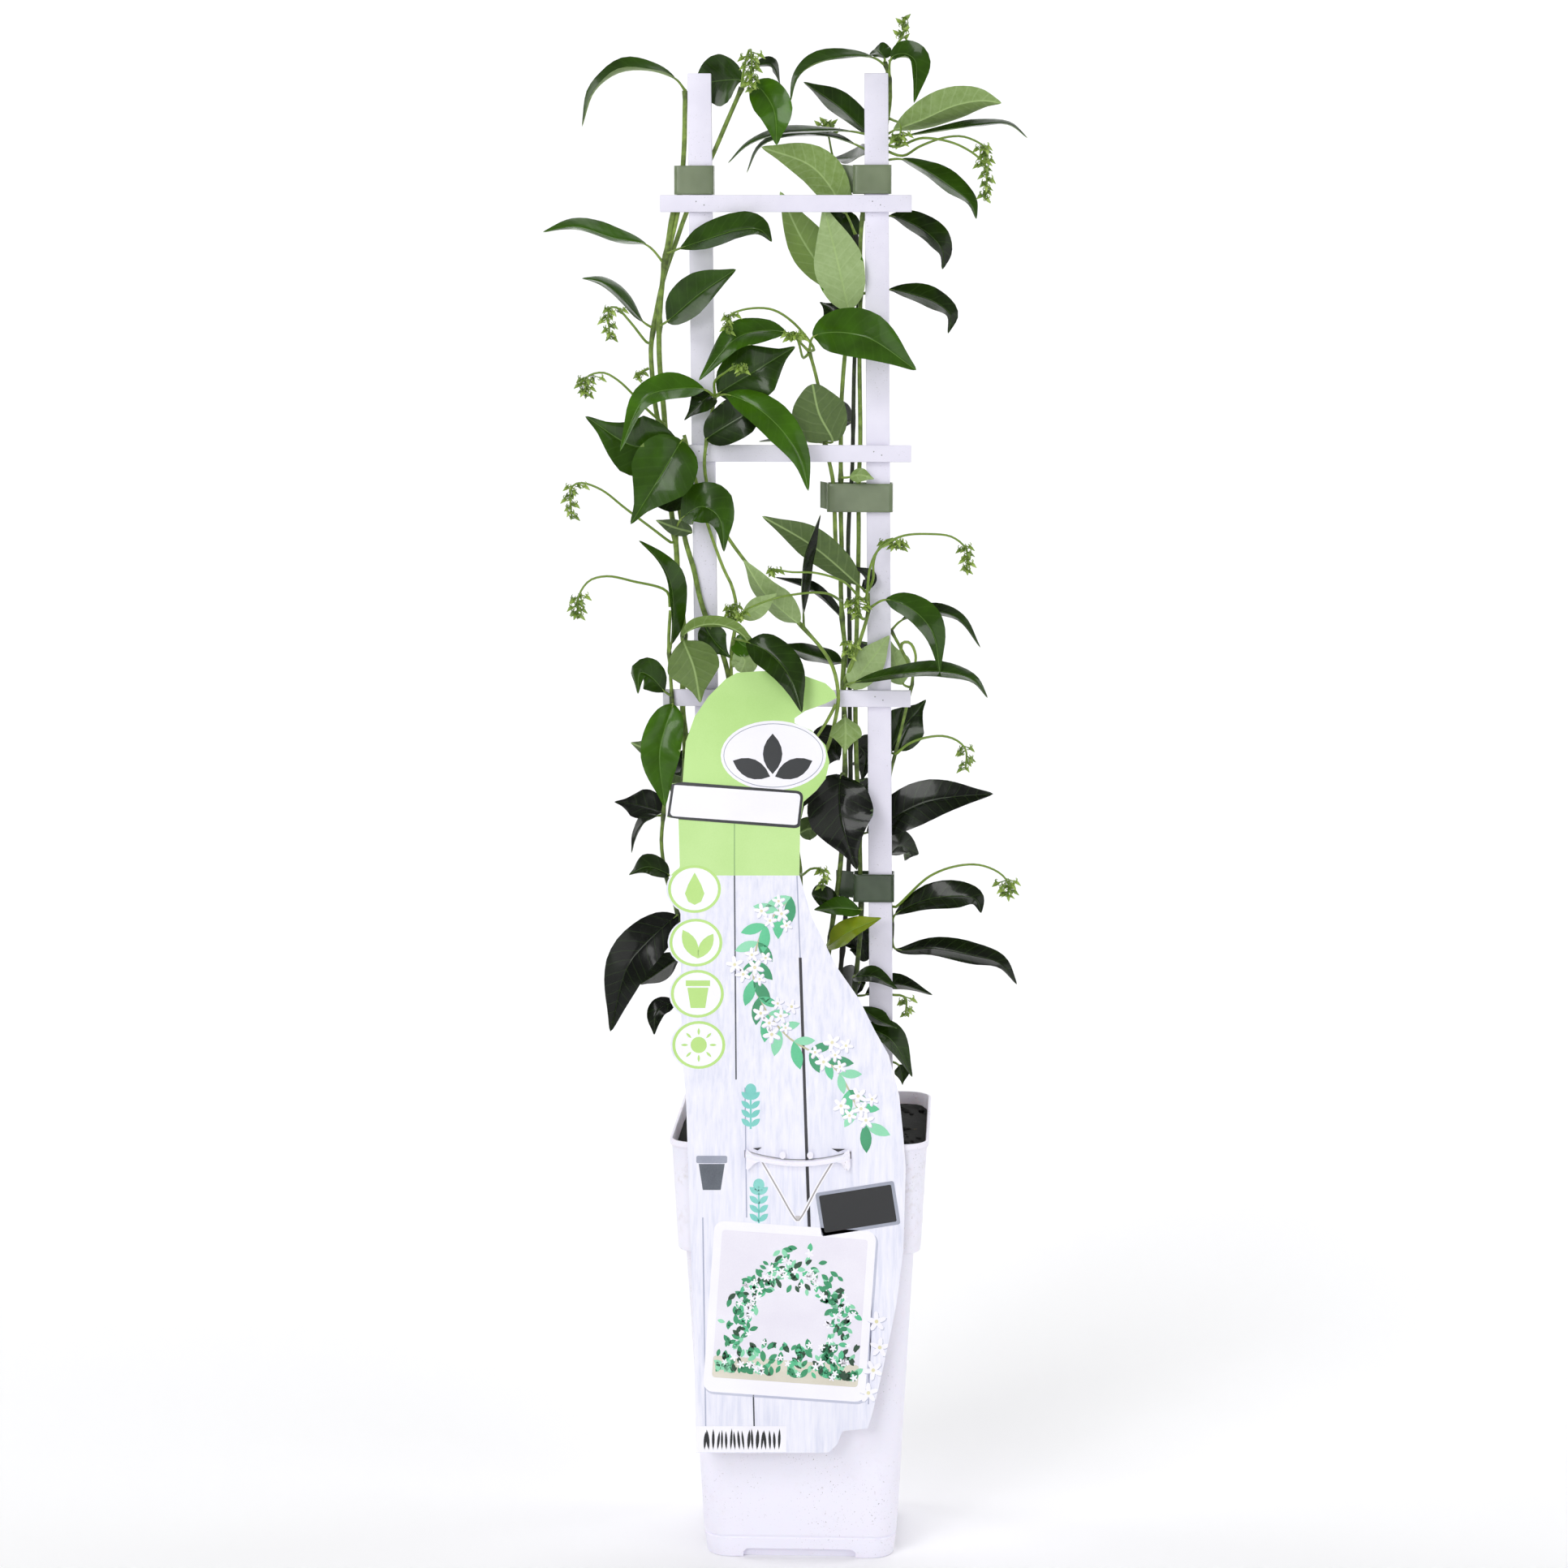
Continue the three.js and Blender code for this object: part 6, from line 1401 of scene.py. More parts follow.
PRINT_HEAD = 827.5                # v of the highest and the lowest print
PRINT_FOOT = 1789.5
PANEL_TOP = 1011                  # v where the green head meets the fresher panel
PANEL_FOOT = 1079                 # v where the panel meets the boards
SLOT_ROOM = 0.6                   # room above the strap in the card's slot
SLOT_HEIGHT = 4.4
INK_STEP = 0.05                   # millimetres between two layers of print
INK_ROOT = 0.02                   # how deep a film starts in the card


def card_depth(z):
    """Depth of the bent card's middle at a height."""
    rise = max(0.0, (z - CARD_BEND) / (CARD_TOP - CARD_BEND))
    return CARD_DEPTH + CARD_LEAN * rise ** 1.3


def on_card(u, v, lift=0.0):
    """A place on the card's front, lifted off it by some millimetres."""
    depth = CARD_DEPTH
    for _ in range(7):
        point = spot((u, v, depth))
        depth = card_depth(point.z)
    slope = card_depth(point.z + 1) - card_depth(point.z)
    return point + Vector((0, -1, slope)).normalized() * (lift + CARD_THICKNESS / 2)


def edge_at(edge, v):
    """u of a die-cut edge at v."""
    for (v0, u0), (v1, u1) in zip(edge, edge[1:]):
        if v <= v1:
            return mix(u0, u1, (v - v0) / (v1 - v0))
    return edge[-1][1]


def tab_edge(v):
    """u of the round tabs' outer edge at v."""
    edge = math.inf
    for centre in TAB_CENTRES:
        if abs(v - centre) < TAB_UP:
            middle = TAB_MIDDLE + (centre - TAB_CENTRES[0]) * TAB_SHIFT
            edge = min(edge, middle - TAB_ACROSS * math.sqrt(1 - ((v - centre) / TAB_UP) ** 2))
    return edge


def card_span(v):
    """u of the card's left and right edge at v."""
    return min(edge_at(CARD_LEFT, v), tab_edge(v)), edge_at(CARD_RIGHT, v)


def film(name, outline, finish, layer):
    """A printed area: a thin closed sheet over the card, bounded by an outline of (u, v)."""
    lift, thickness = INK_STEP + INK_STEP * layer, INK_STEP * layer + INK_ROOT
    shape = bmesh.new()
    corners = [shape.verts.new((u, v, 0)) for u, v in outline]
    shape.faces.new(corners)
    low, high = min(v for _, v in outline), max(v for _, v in outline)
    step = 12.0
    cut = math.floor(low / step) * step + step
    while cut < high:
        bmesh.ops.bisect_plane(shape, geom=shape.verts[:] + shape.edges[:] + shape.faces[:],
                               plane_co=(0, cut, 0), plane_no=(0, 1, 0))
        cut += step
    bmesh.ops.triangulate(shape, faces=shape.faces[:])
    grown = bmesh.ops.extrude_face_region(shape, geom=shape.faces[:])
    raised = {v for v in grown["geom"] if isinstance(v, bmesh.types.BMVert)}
    for vertex in shape.verts:
        u, v = vertex.co.x, vertex.co.y
        vertex.co = on_card(u, v, lift if vertex in raised else lift - thickness) * MM
    bmesh.ops.recalc_face_normals(shape, faces=shape.faces)
    return piece_from(shape, name, [finish])


def oval(u, v, across, up, count=36):
    angles = [math.tau * k / count for k in range(count)]
    return [(u + across * math.cos(a), v + up * math.sin(a)) for a in angles]


def petals(u, v, reach, turn):
    """A star-like outline of a flower with five petals."""
    count, per_petal, waist = 5, 6, 0.35
    ring = []
    for k in range(count * per_petal):
        a = math.tau * k / (count * per_petal) + turn
        wave = 0.5 + 0.5 * math.cos(a * count - turn * count)
        r = reach * (waist + (1 - waist) * wave ** 0.8)
        ring.append((u + r * math.cos(a), v + r * math.sin(a)))
    return ring


def leaflet(u, v, length, width, turn):
    """A small pointed leaf outline that starts at (u, v)."""
    c, s = math.cos(turn), math.sin(turn)
    ring = []
    for k in range(7):
        part = k / 6
        ring.append((part * length, width / 2 * math.sin(math.pi * part) ** 0.8))
    for k in range(5, 0, -1):
        part = k / 6
        ring.append((part * length, -width / 2 * math.sin(math.pi * part) ** 0.8))
    return [(u + x * c - y * s, v + x * s + y * c) for x, y in ring]


def tilted(points, u, v, degrees):
    """Outline points turned about (u, v)."""
    a = math.radians(degrees)
    return [(u + (x - u) * math.cos(a) - (y - v) * math.sin(a),
             v + (x - u) * math.sin(a) + (y - v) * math.cos(a)) for x, y in points]


def oblong(u0, v0, u1, v1, radius=0.0):
    if not radius:
        return [(u0, v0), (u1, v0), (u1, v1), (u0, v1)]
    ring = []
    for cu, cv, start in ((u1 - radius, v0 + radius, -90), (u1 - radius, v1 - radius, 0),
                          (u0 + radius, v1 - radius, 90), (u0 + radius, v0 + radius, 180)):
        for i in range(6):
            a = math.radians(start + 18 * i)
            ring.append((cu + radius * math.cos(a), cv + radius * math.sin(a)))
    return ring


def rounded(corners, radius):
    """A four-sided outline whose corners are rounded off."""
    ring = []
    count = len(corners)
    for k, corner in enumerate(corners):
        before, after = Vector(corners[k - 1]), Vector(corners[(k + 1) % count])
        here = Vector(corner)
        a = here + (before - here).normalized() * radius
        b = here + (after - here).normalized() * radius
        for i in range(6):
            part = i / 5
            ring.append(tuple(a.lerp(here, part).lerp(here.lerp(b, part), part)))
    return ring


def ribbon(course, count, width):
    """The outline of a narrow band along a course."""
    left, right = [], []
    for t in course.evenly(count):
        place, along = course.at(t), course.along(t)
        aside = Vector((-along.y, along.x)) * width / 2
        left.append((place.x + aside.x, place.y + aside.y))
        right.append((place.x - aside.x, place.y - aside.y))
    return left + right[::-1]


def card_levels():
    """Every v at which the card has a row of points: its edges' corners, the tabs, and even steps."""
    tabs = {centre + way * part * TAB_UP
            for centre in TAB_CENTRES for part in TAB_LEVELS for way in (-1, 1)}
    even = {CARD_HEAD + 9.5 * k for k in range(102)}
    levels = sorted({v for v, _ in CARD_LEFT + CARD_RIGHT} | tabs | even)
    return [v for k, v in enumerate(levels) if k == 0 or v - levels[k - 1] > 0.3]


def build_card_sheet(finishes):
    """The card itself: boards below, pale green panel, green domed head; slotted for the clip."""
    levels = card_levels()
    columns = 14
    surface = Surface()
    front, rear = [], []
    for v in levels:
        left, right = card_span(v)
        row = [mix(left, right, k / columns) for k in range(columns + 1)]
        front.append([surface.point(on_card(u, v)) for u in row])
        rear.append([surface.point(on_card(u, v, -CARD_THICKNESS)) for u in row])
    head, panel, boards, stock = range(4)
    for r in range(len(levels) - 1):
        middle = (levels[r] + levels[r + 1]) / 2
        finish = head if middle < PANEL_TOP else panel if middle < PANEL_FOOT else boards
        for c in range(columns):
            surface.face([front[r][c], front[r + 1][c], front[r + 1][c + 1], front[r][c + 1]], finish)
            surface.face([rear[r][c], rear[r][c + 1], rear[r + 1][c + 1], rear[r + 1][c]], stock)
        for c in (0, columns):
            surface.face([front[r][c], rear[r][c], rear[r + 1][c], front[r + 1][c]], stock)
    for r in (0, len(levels) - 1):
        for c in range(columns):
            surface.face([front[r][c], rear[r][c], rear[r][c + 1], front[r][c + 1]], stock)
    sheet = surface.build("card_sheet", finishes, smooth=False)
    # the slot that the clip's arched strap passes through
    slot = Surface()
    rows = []
    for k in range(17):
        x = (CLIP_HALF + 0.7) * (2 * k / 16 - 1)
        top = clip_sag(min(max(x, -CLIP_HALF), CLIP_HALF)) + SLOT_ROOM
        rows.append([(x, CARD_DEPTH - 3, top), (x, CARD_DEPTH + 3, top),
                     (x, CARD_DEPTH + 3, top - SLOT_HEIGHT), (x, CARD_DEPTH - 3, top - SLOT_HEIGHT)])
    slot.solid(rows)
    cut_away(sheet, slot.build("card_slot", []))
    sheet.name = "card_label"
    return sheet


def clip_to_card(outline, margin=0.0):
    """Keeps an outline within the card's own edges."""
    kept = []
    for u, v in outline:
        v = min(max(v, PRINT_HEAD), PRINT_FOOT)
        left, right = card_span(v)
        kept.append((min(max(u, left + margin), right - margin), v))
    return kept


INK_COLOURS = {
    "white": ("#FAF9FF", "#F4F2FC"),
    "slate": ("#1F2328", "#171A1F"),
    "slate_dark": ("#14161B", "#0C0E12"),
    "slate_soft": ("#6F7681", "#4B515B"),
    "grey": ("#A9ADBD", "#8F94A6"),
    "mint": ("#5FCB97", "#49B583"),
    "mint_dark": ("#38A06F", "#2A8659"),
    "mint_deep": ("#1F5235", "#163B26"),
    "mint_light": ("#95DFB8", "#7DD0A5"),
    "ring": ("#BCE384", "#B0DA76"),
    "cream": ("#E9E4BE", "#DCD6A8"),
    "twig": ("#C8C6A2", "#B2B08A"),
    "gap": ("#4A4E5C", "#2C303B"),
    "gap_deep": ("#201E29", "#15131C"),
    # the two cut inks are painted shadow in the flap's die cut
    "cut": ("#A9A4A3", "#94908F"),
    "cut_tip_shadow": ("#CFCBCC", "#BEBABC"),
    "gap_soft": ("#B6B9D0", "#9CA0BC"),
    "panel_gap": ("#9CC281", "#8AB26E"),
    "shade": ("#C9CBDD", "#B9BCD2"),
    "teal": ("#8FD8D0", "#6FC9BF"),
    "wall": ("#F1EEF8", "#E7E3F0"),
    "ground": ("#E4DFD2", "#D3CDBD"),
}


class Prints:
    """The card's printed films, gathered in groups by the first word of their names."""

    def __init__(self):
        self.inks = {name: card_finish(f"Card ink {name}", light, dark)
                     for name, (light, dark) in INK_COLOURS.items()}
        self.groups = {}
        self.chance = random.Random(21)

    def area(self, name, outline, ink, layer=1, margin=0.0):
        group = self.groups.setdefault("card_print_" + name.split("_")[0], [])
        group.append(film(name, clip_to_card(outline, margin), self.inks[ink], layer))

    def blossom(self, name, u, v, size, layer):
        turn = self.chance.uniform(0, 1.2)
        self.area(f"{name}_rim", petals(u + 0.8, v + 1.0, size, turn), "shade", layer)
        self.area(f"{name}_star", petals(u, v, size, turn), "white", layer + 1)
        self.area(f"{name}_eye", oval(u, v, size * 0.18, size * 0.18, 10), "cream", layer + 2)


def print_head(card):
    """A white oval with a thin inner line and three leaves, and a blank banner below it."""
    u, v = 953, 931
    card.area("oval_white", oval(u, v, 65, 43), "white", 1)
    card.area("oval_line", oval(u, v, 61.5, 39.5, 60), "grey", 2)
    card.area("oval_inner", oval(u, v, 60.6, 38.6, 60), "white", 3)
    for name, shift, rise, degrees in (("left", -4, 26, 203), ("right", 2, 26, -23), ("up", -1, 23, -90)):
        leaf = leaflet(u + shift, v + rise, 50, 24, math.radians(degrees))
        card.area(f"oval_leaf_{name}", leaf, "slate", 4)
    edge = [(819, 963), (990, 975), (987, 1021), (816, 1009)]
    banner = [(828, 967), (986.5, 978), (983.5, 1017), (825.5, 1005.5)]
    card.area("banner_edge", rounded(edge, 9), "slate", 4)
    card.area("banner", rounded(banner, 6), "white", 5, margin=3.2)


def print_badges(card):
    """Four round badges on the tabs, with a drop, a pair of leaves, a pot and a sun."""
    for k, centre in enumerate(TAB_CENTRES):
        middle = TAB_MIDDLE + (centre - TAB_CENTRES[0]) * TAB_SHIFT
        card.area(f"badge_ring_{k}", oval(middle + 1, centre, TAB_ACROSS - 1.2, TAB_UP - 1), "ring", 1)
        card.area(f"badge_{k}", oval(middle + 1, centre, TAB_ACROSS - 4.8, TAB_UP - 4.3), "white", 2)
    card.area("badge_drop", [(856, 1075), (864, 1090), (868, 1101), (864, 1111), (856, 1115),
                             (848, 1111), (844, 1101), (848, 1090)], "ring", 3)
    card.area("badge_leaf_a", leaflet(860, 1181, 40, 17, math.radians(-118)), "ring", 3)
    card.area("badge_leaf_b", leaflet(860, 1181, 36, 15, math.radians(-58)), "ring", 3)
    card.area("badge_rim", oblong(845, 1208, 875, 1215), "ring", 3)
    card.area("badge_pot", [(847, 1217), (873, 1217), (869, 1242), (851, 1242)], "ring", 3)
    u, v = 861, 1287.5
    card.area("badge_sun", oval(u, v, 10, 10, 20), "ring", 3)
    for k in range(8):
        a = math.tau * k / 8
        ray = leaflet(u + 13 * math.cos(a), v + 12 * math.sin(a), 9, 3, a)
        card.area(f"badge_ray_{k}", ray, "ring", 3)


# gaps between the printed boards: v of both ends, u of both ends, width and ink
BOARD_GAPS = (
    (1011, 1079, 905, 905, 1.4, "panel_gap"),
    (1079, 1330, 905, 907, 1.8, "gap"),
    (1079, 1180, 982, 986, 1.6, "gap_soft"),
    (1180, 1390, 986, 993, 3.6, "gap_deep"),
    (1390, 1520, 993, 997.4, 3.8, "gap_deep"),
    (1340, 1500, 918, 920, 1.5, "gap_soft"),
    (1500, 1786, 866, 870, 1.6, "gap_soft"),
    (1706, 1786, 928, 930, 1.8, "gap"),
    (1540, 1730, 1076, 1070, 1.6, "gap_soft"),
)


def print_boards(card):
    """The dark gaps between the boards."""
    for k, (top, low, u_top, u_low, wide, ink) in enumerate(BOARD_GAPS):
        half = wide / 2
        card.area(f"board_gap_{k}", [(u_top - half, top), (u_top + half, top), (u_low + half, low),
                                     (u_low - half, low)], ink, 1)


def print_garland(card):
    """A garland down the boards: a twig, mint leaves, and heads of starry flowers."""
    chance = card.chance
    course = Course([(975, 1105, 0), (938, 1150, 0), (930, 1215, 0), (968, 1275, 0), (1028, 1315, 0),
                     (1066, 1385, 0)])
    card.area("garland_twig", ribbon(course, 24, 2.2), "twig", 2)
    for k, t in enumerate(course.evenly(15)):
        place = course.at(t)
        for side in (1, -1):
            turn = chance.uniform(0.4, 1.1) * side + math.atan2(*reversed(course.along(t).xy))
            size = chance.uniform(25, 38)
            ink = ("mint", "mint_dark", "mint_light")[chance.randrange(3)]
            leaf = leaflet(place.x, place.y, size, size * 0.4, turn)
            card.area(f"garland_leaf_{k}_{side + 1}", leaf, ink, 3)
    heads = ((958, 1126, 5), (925, 1192, 6), (957, 1252, 7), (1024, 1300, 6), (1056, 1366, 6))
    for head, (u, v, count) in enumerate(heads):
        for k in range(count):
            a, far = k * GOLDEN_ANGLE, 5.0 + 7.5 * math.sqrt(k)
            card.blossom(f"garland_{head}_{k}", u + far * math.cos(a), v + far * math.sin(a),
                         chance.uniform(8, 12), 4)


def print_motifs(card):
    """Plain garden motifs on the boards: two teal sprigs and a grey pot, and a bare dark tag."""
    for k, (u, v) in enumerate(((925, 1345), (935, 1462))):
        card.area(f"motif_stem_{k}", oblong(u - 1.2, v, u + 1.2, v + 46), "teal", 1)
        for row in range(4):
            for side, degrees in ((1, -40), (-1, 220)):
                leaf = leaflet(u, v + 10 + row * 11, 15, 7, math.radians(degrees))
                card.area(f"motif_leaf_{k}_{row}_{side + 1}", leaf, "teal", 1)
        card.area(f"motif_head_{k}", oval(u, v - 2, 7, 8, 18), "teal", 1)
    card.area("motif_rim", oblong(858, 1424, 896, 1433, 2), "grey", 1)
    card.area("motif_pot", [(861, 1434), (893, 1434), (888, 1466), (866, 1466)], "slate_soft", 1)
    u, v, lean = 1057, 1489, -9
    card.area("tag_edge", tilted(oblong(1008, 1462, 1106, 1516, 3), u, v, lean), "grey", 2)
    card.area("tag", tilted(oblong(1012, 1466, 1102, 1512, 2), u, v, lean), "slate_dark", 3)


def print_picture(card):
    """A framed picture of a leafy arch over a low hedge, set a little askew."""
    chance = card.chance
    centre = 973

    def framed(ring):
        return tilted(ring, centre, 1616, 4)

    card.area("picture_rim", framed(oblong(874, 1512, 1076, 1724, 13)), "shade", 1)
    card.area("picture_frame", framed(oblong(873, 1510, 1073, 1721, 12)), "white", 2)
    card.area("picture_wall", framed(oblong(883, 1521, 1063, 1703, 4)), "wall", 3)
    card.area("picture_ground", framed(oblong(883, 1676, 1063, 1703, 4)), "ground", 4)
    greens = ("mint", "mint_dark", "mint_deep", "mint_dark", "mint_light")
    for k in range(230):
        a = math.pi * chance.random()
        thick = chance.gauss(0, 1)
        u = centre - math.cos(a) * (66 + 9 * thick)
        v = 1694 - math.sin(a) ** 0.6 * (132 + 10 * thick)
        u, v = min(max(u, 892), 1054), min(max(v, 1530), 1692)
        size = chance.uniform(8, 13)
        leaf = leaflet(u, v, size, size * 0.5, chance.uniform(0, 6.28))
        card.area(f"picture_leaf_{k}", framed(leaf), greens[k % 5], 5 + k % 2)
        if k % 5 == 0:
            flower = petals(u, v, chance.uniform(3.5, 6), turn=a)
            card.area(f"picture_flower_{k}", framed(flower), "white", 7)
    for k in range(150):
        u, v = 885 + 176 * chance.random(), 1700 - 42 * chance.random() ** 1.6
        size = chance.uniform(9, 15)
        leaf = leaflet(u, min(v, 1696), size, size * 0.5, chance.uniform(3.6, 5.8))
        card.area(f"picture_hedge_{k}", framed(leaf), greens[(k * 3) % 5], 5 + k % 2)
        if k % 7 == 0:
            flower = petals(u, v - 6, chance.uniform(3.5, 6), turn=k)
            card.area(f"picture_bloom_{k}", framed(flower), "white", 7)


def print_flap(card):
    """The die-cut flap below the clip, and the open ends of the slot above it.

    The cut shows as a fine grey line of painted shadow beside a white paper edge, a patch of painted
    shadow fills the flap's tip, and the open ends of the slot are dark patches of painted shade.
    """
    cut = Course([(936, 1426, 0), (958, 1464, 0), (978.5, 1499.5, 0), (983, 1504, 0), (987.5, 1499, 0),
                  (1008, 1461, 0), (1028, 1428, 0)])
    tip = [(979.5, 1498), (986.5, 1498), (984.4, 1502.6), (981.8, 1502.6)]
    left = [(928, 1414.7), (933, 1414.2), (938.5, 1413.6), (935.5, 1416), (933.4, 1417.2)]
    right = [(1025, 1415.2), (1041.5, 1415.6), (1036, 1417.8), (1032.6, 1419)]
    card.area("flap_edge", ribbon(cut, 60, 5.2), "white", 4)
    # the grey line along the cut is painted shadow, and so is the patch at the flap's tip
    card.area("flap_cut", ribbon(cut, 60, 1.7), "cut", 5)
    card.area("flap_tip", tip, "cut_tip_shadow", 6)
    # the open ends of the slot are painted dark as shade
    card.area("slit_left", left, "gap_deep", 6)
    card.area("slit_right", right, "gap_deep", 6)


def print_foot(card):
    """A white foot strip with a row of dark blades, and loose blossoms beside the picture."""
    chance = card.chance
    card.area("strip_low", oblong(857, 1757, 969, 1789), "white", 2)
    for k in range(18):
        blade = leaflet(868 + 5.4 * k, 1786, chance.uniform(22, 27), chance.uniform(2.6, 4.4),
                        math.radians(-90 + chance.uniform(-7, 7)))
        card.area(f"strip_leaf_{k}", blade, "slate_dark", 3)
    for k, (u, v) in enumerate(((1080, 1628), (1084, 1660), (1076, 1688), (1070, 1716))):
        card.blossom(f"side_{k}", u, v, 13, 3)


def build_card_prints():
    """All printed areas, one piece for each group."""
    card = Prints()
    for part in (print_head, print_badges, print_boards, print_garland, print_motifs, print_picture,
                 print_flap, print_foot):
        part(card)
    return [join_pieces(group, films) for group, films in card.groups.items()]


def join_pieces(name, parts):
    """Several mesh objects as one, each face keeping its own finish."""
    shape = bmesh.new()
    finishes = []
    for part in parts:
        start = len(shape.faces)
        shape.from_mesh(part.data)
        finish = part.data.materials[0]
        if finish not in finishes:
            finishes.append(finish)
        shape.faces.ensure_lookup_table()
        for face in shape.faces[start:]:
            face.material_index = finishes.index(finish)
        bpy.data.objects.remove(part)
    return piece_from(shape, name, finishes)


# ---- Stage --------------------------------------------------------------------------------------


def build_stage(look):
    """A pale sweep, soft lights, and a camera at the front."""
    material, tree, surface = new_material("Pale studio sweep", Roughness=0.75)
    cloud = add(tree, "MapRange", (grain(tree, 900), 0.3, 0.7, 0.0, 0.04))
    tree.links.new(layered(tree, tuple(look.sweep_colour) + (1.0,), (cloud, "#EDEDF0")),
                   surface.inputs["Base Color"])
    sweep = Surface()
    profile = [(-4000, 0), (1200, 0)]
    profile += [(1200 + 1200 * math.sin(a), 1200 - 1200 * math.cos(a))
                for a in (math.radians(10 * k) for k in range(1, 10))]
    profile.append((2400, 4000))
    sweep.grid([[(x, y, z - 0.05) for x in (6000, -6000)] for y, z in profile])
    floor = sweep.build("studio_sweep", [material])

    for name, place, aim, size, power in (
            ("key", (-1.3, -2.2, 2.6), (0, 0, 0.5), 1.1, look.key_power),
            ("fill", (2.2, -1.8, 1.5), (0, 0, 0.45), 2.0, look.key_power * 0.6),
            ("front", (-0.8, -2.5, 1.25), (0, 0, 0.4), 0.8, look.key_power * 0.55),
            ("low", (0.3, -2.4, 0.3), (0, 0, 0.1), 1.0, look.key_power * 0.2),
            ("back", (0.4, 1.6, 2.4), (0, 0, 0.6), 1.8, look.key_power * 0.5),
            ("wall_left", (-2.2, 0.7, 1.7), (0.2, 2.4, 0.8), 1.6, look.wall_power),
            ("wall_right", (2.2, 0.7, 1.7), (-0.2, 2.4, 0.8), 1.6, look.wall_power)):
        lamp = bpy.data.lights.new(name, "AREA")
        lamp.size = size
        lamp.energy = power
        light = bpy.data.objects.new(name, lamp)
        light.location = place
        light.rotation_euler = (Vector(aim) - Vector(place)).to_track_quat("-Z", "Y").to_euler()
        bpy.context.collection.objects.link(light)

    world = bpy.data.worlds.new("studio")
    world.use_nodes = True
    world.node_tree.nodes["Background"].inputs["Color"].default_value = (1, 1, 1, 1)
    world.node_tree.nodes["Background"].inputs["Strength"].default_value = look.ambient
    bpy.context.scene.world = world
    bpy.context.scene.view_settings.view_transform = "Standard"

    lens = bpy.data.cameras.new("front")
    lens.sensor_width = EYE_SENSOR
    lens.lens = EYE_LENS
    lens.clip_end = 100.0
    camera = bpy.data.objects.new("front", lens)
    camera.location = EYE * MM
    camera.rotation_euler = (-TO_EYE).to_track_quat("-Z", "Y").to_euler()
    bpy.context.collection.objects.link(camera)
    bpy.context.scene.camera = camera


# ---- Add-on -------------------------------------------------------------------------------------


class JASMINE_PG_look(bpy.types.PropertyGroup):
    leaf_thickness: FloatProperty(
        name="Leaf thickness", description="Thickness of a leaf blade", default=LEAF_THICKNESS * MM,
        min=0.0002, max=0.0015, precision=5, unit="LENGTH")
    tape_height: FloatProperty(
        name="Tape height", description="Height of the tape of each tie", default=TIE_HEIGHT * MM,
        min=0.005, max=0.03, precision=4, unit="LENGTH")
    crumb_count: IntProperty(
        name="Soil crumbs", description="How many loose crumbs are strewn on the soil",
        default=CRUMB_COUNT, min=0, max=1000)
    pot_colour: FloatVectorProperty(
        name="Pot colour", description="Colour of the moulded pot", subtype="COLOR", size=3, min=0, max=1,
        default=linear("#F4F1FE")[:3])
    leaf_roughness: FloatProperty(
        name="Leaf roughness", description="How dull the upper side of the leaves is", default=0.24,
        min=0.05, max=1.0, subtype="FACTOR")
    sweep_colour: FloatVectorProperty(
        name="Backdrop colour", description="Colour of the studio sweep", subtype="COLOR", size=3, min=0,
        max=1, default=linear("#FBFBFC")[:3])
    key_power: FloatProperty(
        name="Key light", description="Power of the main light", default=26.5, min=0.0, soft_max=500.0,
        unit="POWER")
    wall_power: FloatProperty(
        name="Backdrop light", description="Power of each light on the backdrop", default=22.0, min=0.0,
        soft_max=500.0, unit="POWER")
    ambient: FloatProperty(
        name="Ambient light", description="Strength of the even light all round", default=0.3, min=0.0,
        soft_max=3.0)


class PieceOperator:
    """Common part of the operators that build pieces."""
    bl_options = {"REGISTER", "UNDO"}

    @property
    def look(self):
        return bpy.context.scene.jasmine_look


class JASMINE_OT_pot(PieceOperator, bpy.types.Operator):
    """Build the square pot with its label clip"""
    bl_idname = "jasmine.pot"
    bl_label = "Pot"

    def execute(self, context):
        settle(build_pot(self.look), "pot_plastic", "pot")
        return {"FINISHED"}


class JASMINE_OT_soil(PieceOperator, bpy.types.Operator):
    """Build the potting mix that fills the pot"""
    bl_idname = "jasmine.soil"
    bl_label = "Potting mix"

    def execute(self, context):
        settle(build_soil(self.look), "potting_soil", "soil")
        return {"FINISHED"}


class JASMINE_OT_trellis(PieceOperator, bpy.types.Operator):
    """Build the two uprights and the three slats"""
    bl_idname = "jasmine.trellis"
    bl_label = "Trellis"

    def execute(self, context):
        plastic = trellis_finish()
        steel = new_material("Dull staple wire", Metallic=0.85, Roughness=0.45,
                             Base_Color=linear("#8E8F92"))[0]
        for side in UPRIGHTS:
            node = f"trellis_upright_{side}"
            settle(build_upright(side, plastic), "trellis_plastic", node)
        for name in SLATS:
            settle(build_slat(name, plastic, steel), "trellis_plastic", f"trellis_slat_{name}")
        return {"FINISHED"}


class JASMINE_OT_ties(PieceOperator, bpy.types.Operator):
    """Build the four tape ties"""
    bl_idname = "jasmine.ties"
    bl_label = "Tape ties"

    def execute(self, context):
        grey = tape_finish("Grey-green tie tape", "#8B9A78", "#7A8968")
        dark = tape_finish("Dark green tie tape", "#4B5E42", "#35452F")
        for name in TIES:
            finish = dark if name == "right_low" else grey
            tie = build_tie(name, finish, self.look.tape_height / MM)
            settle(tie, "tape", f"tape_tie_{name}")
        return {"FINISHED"}


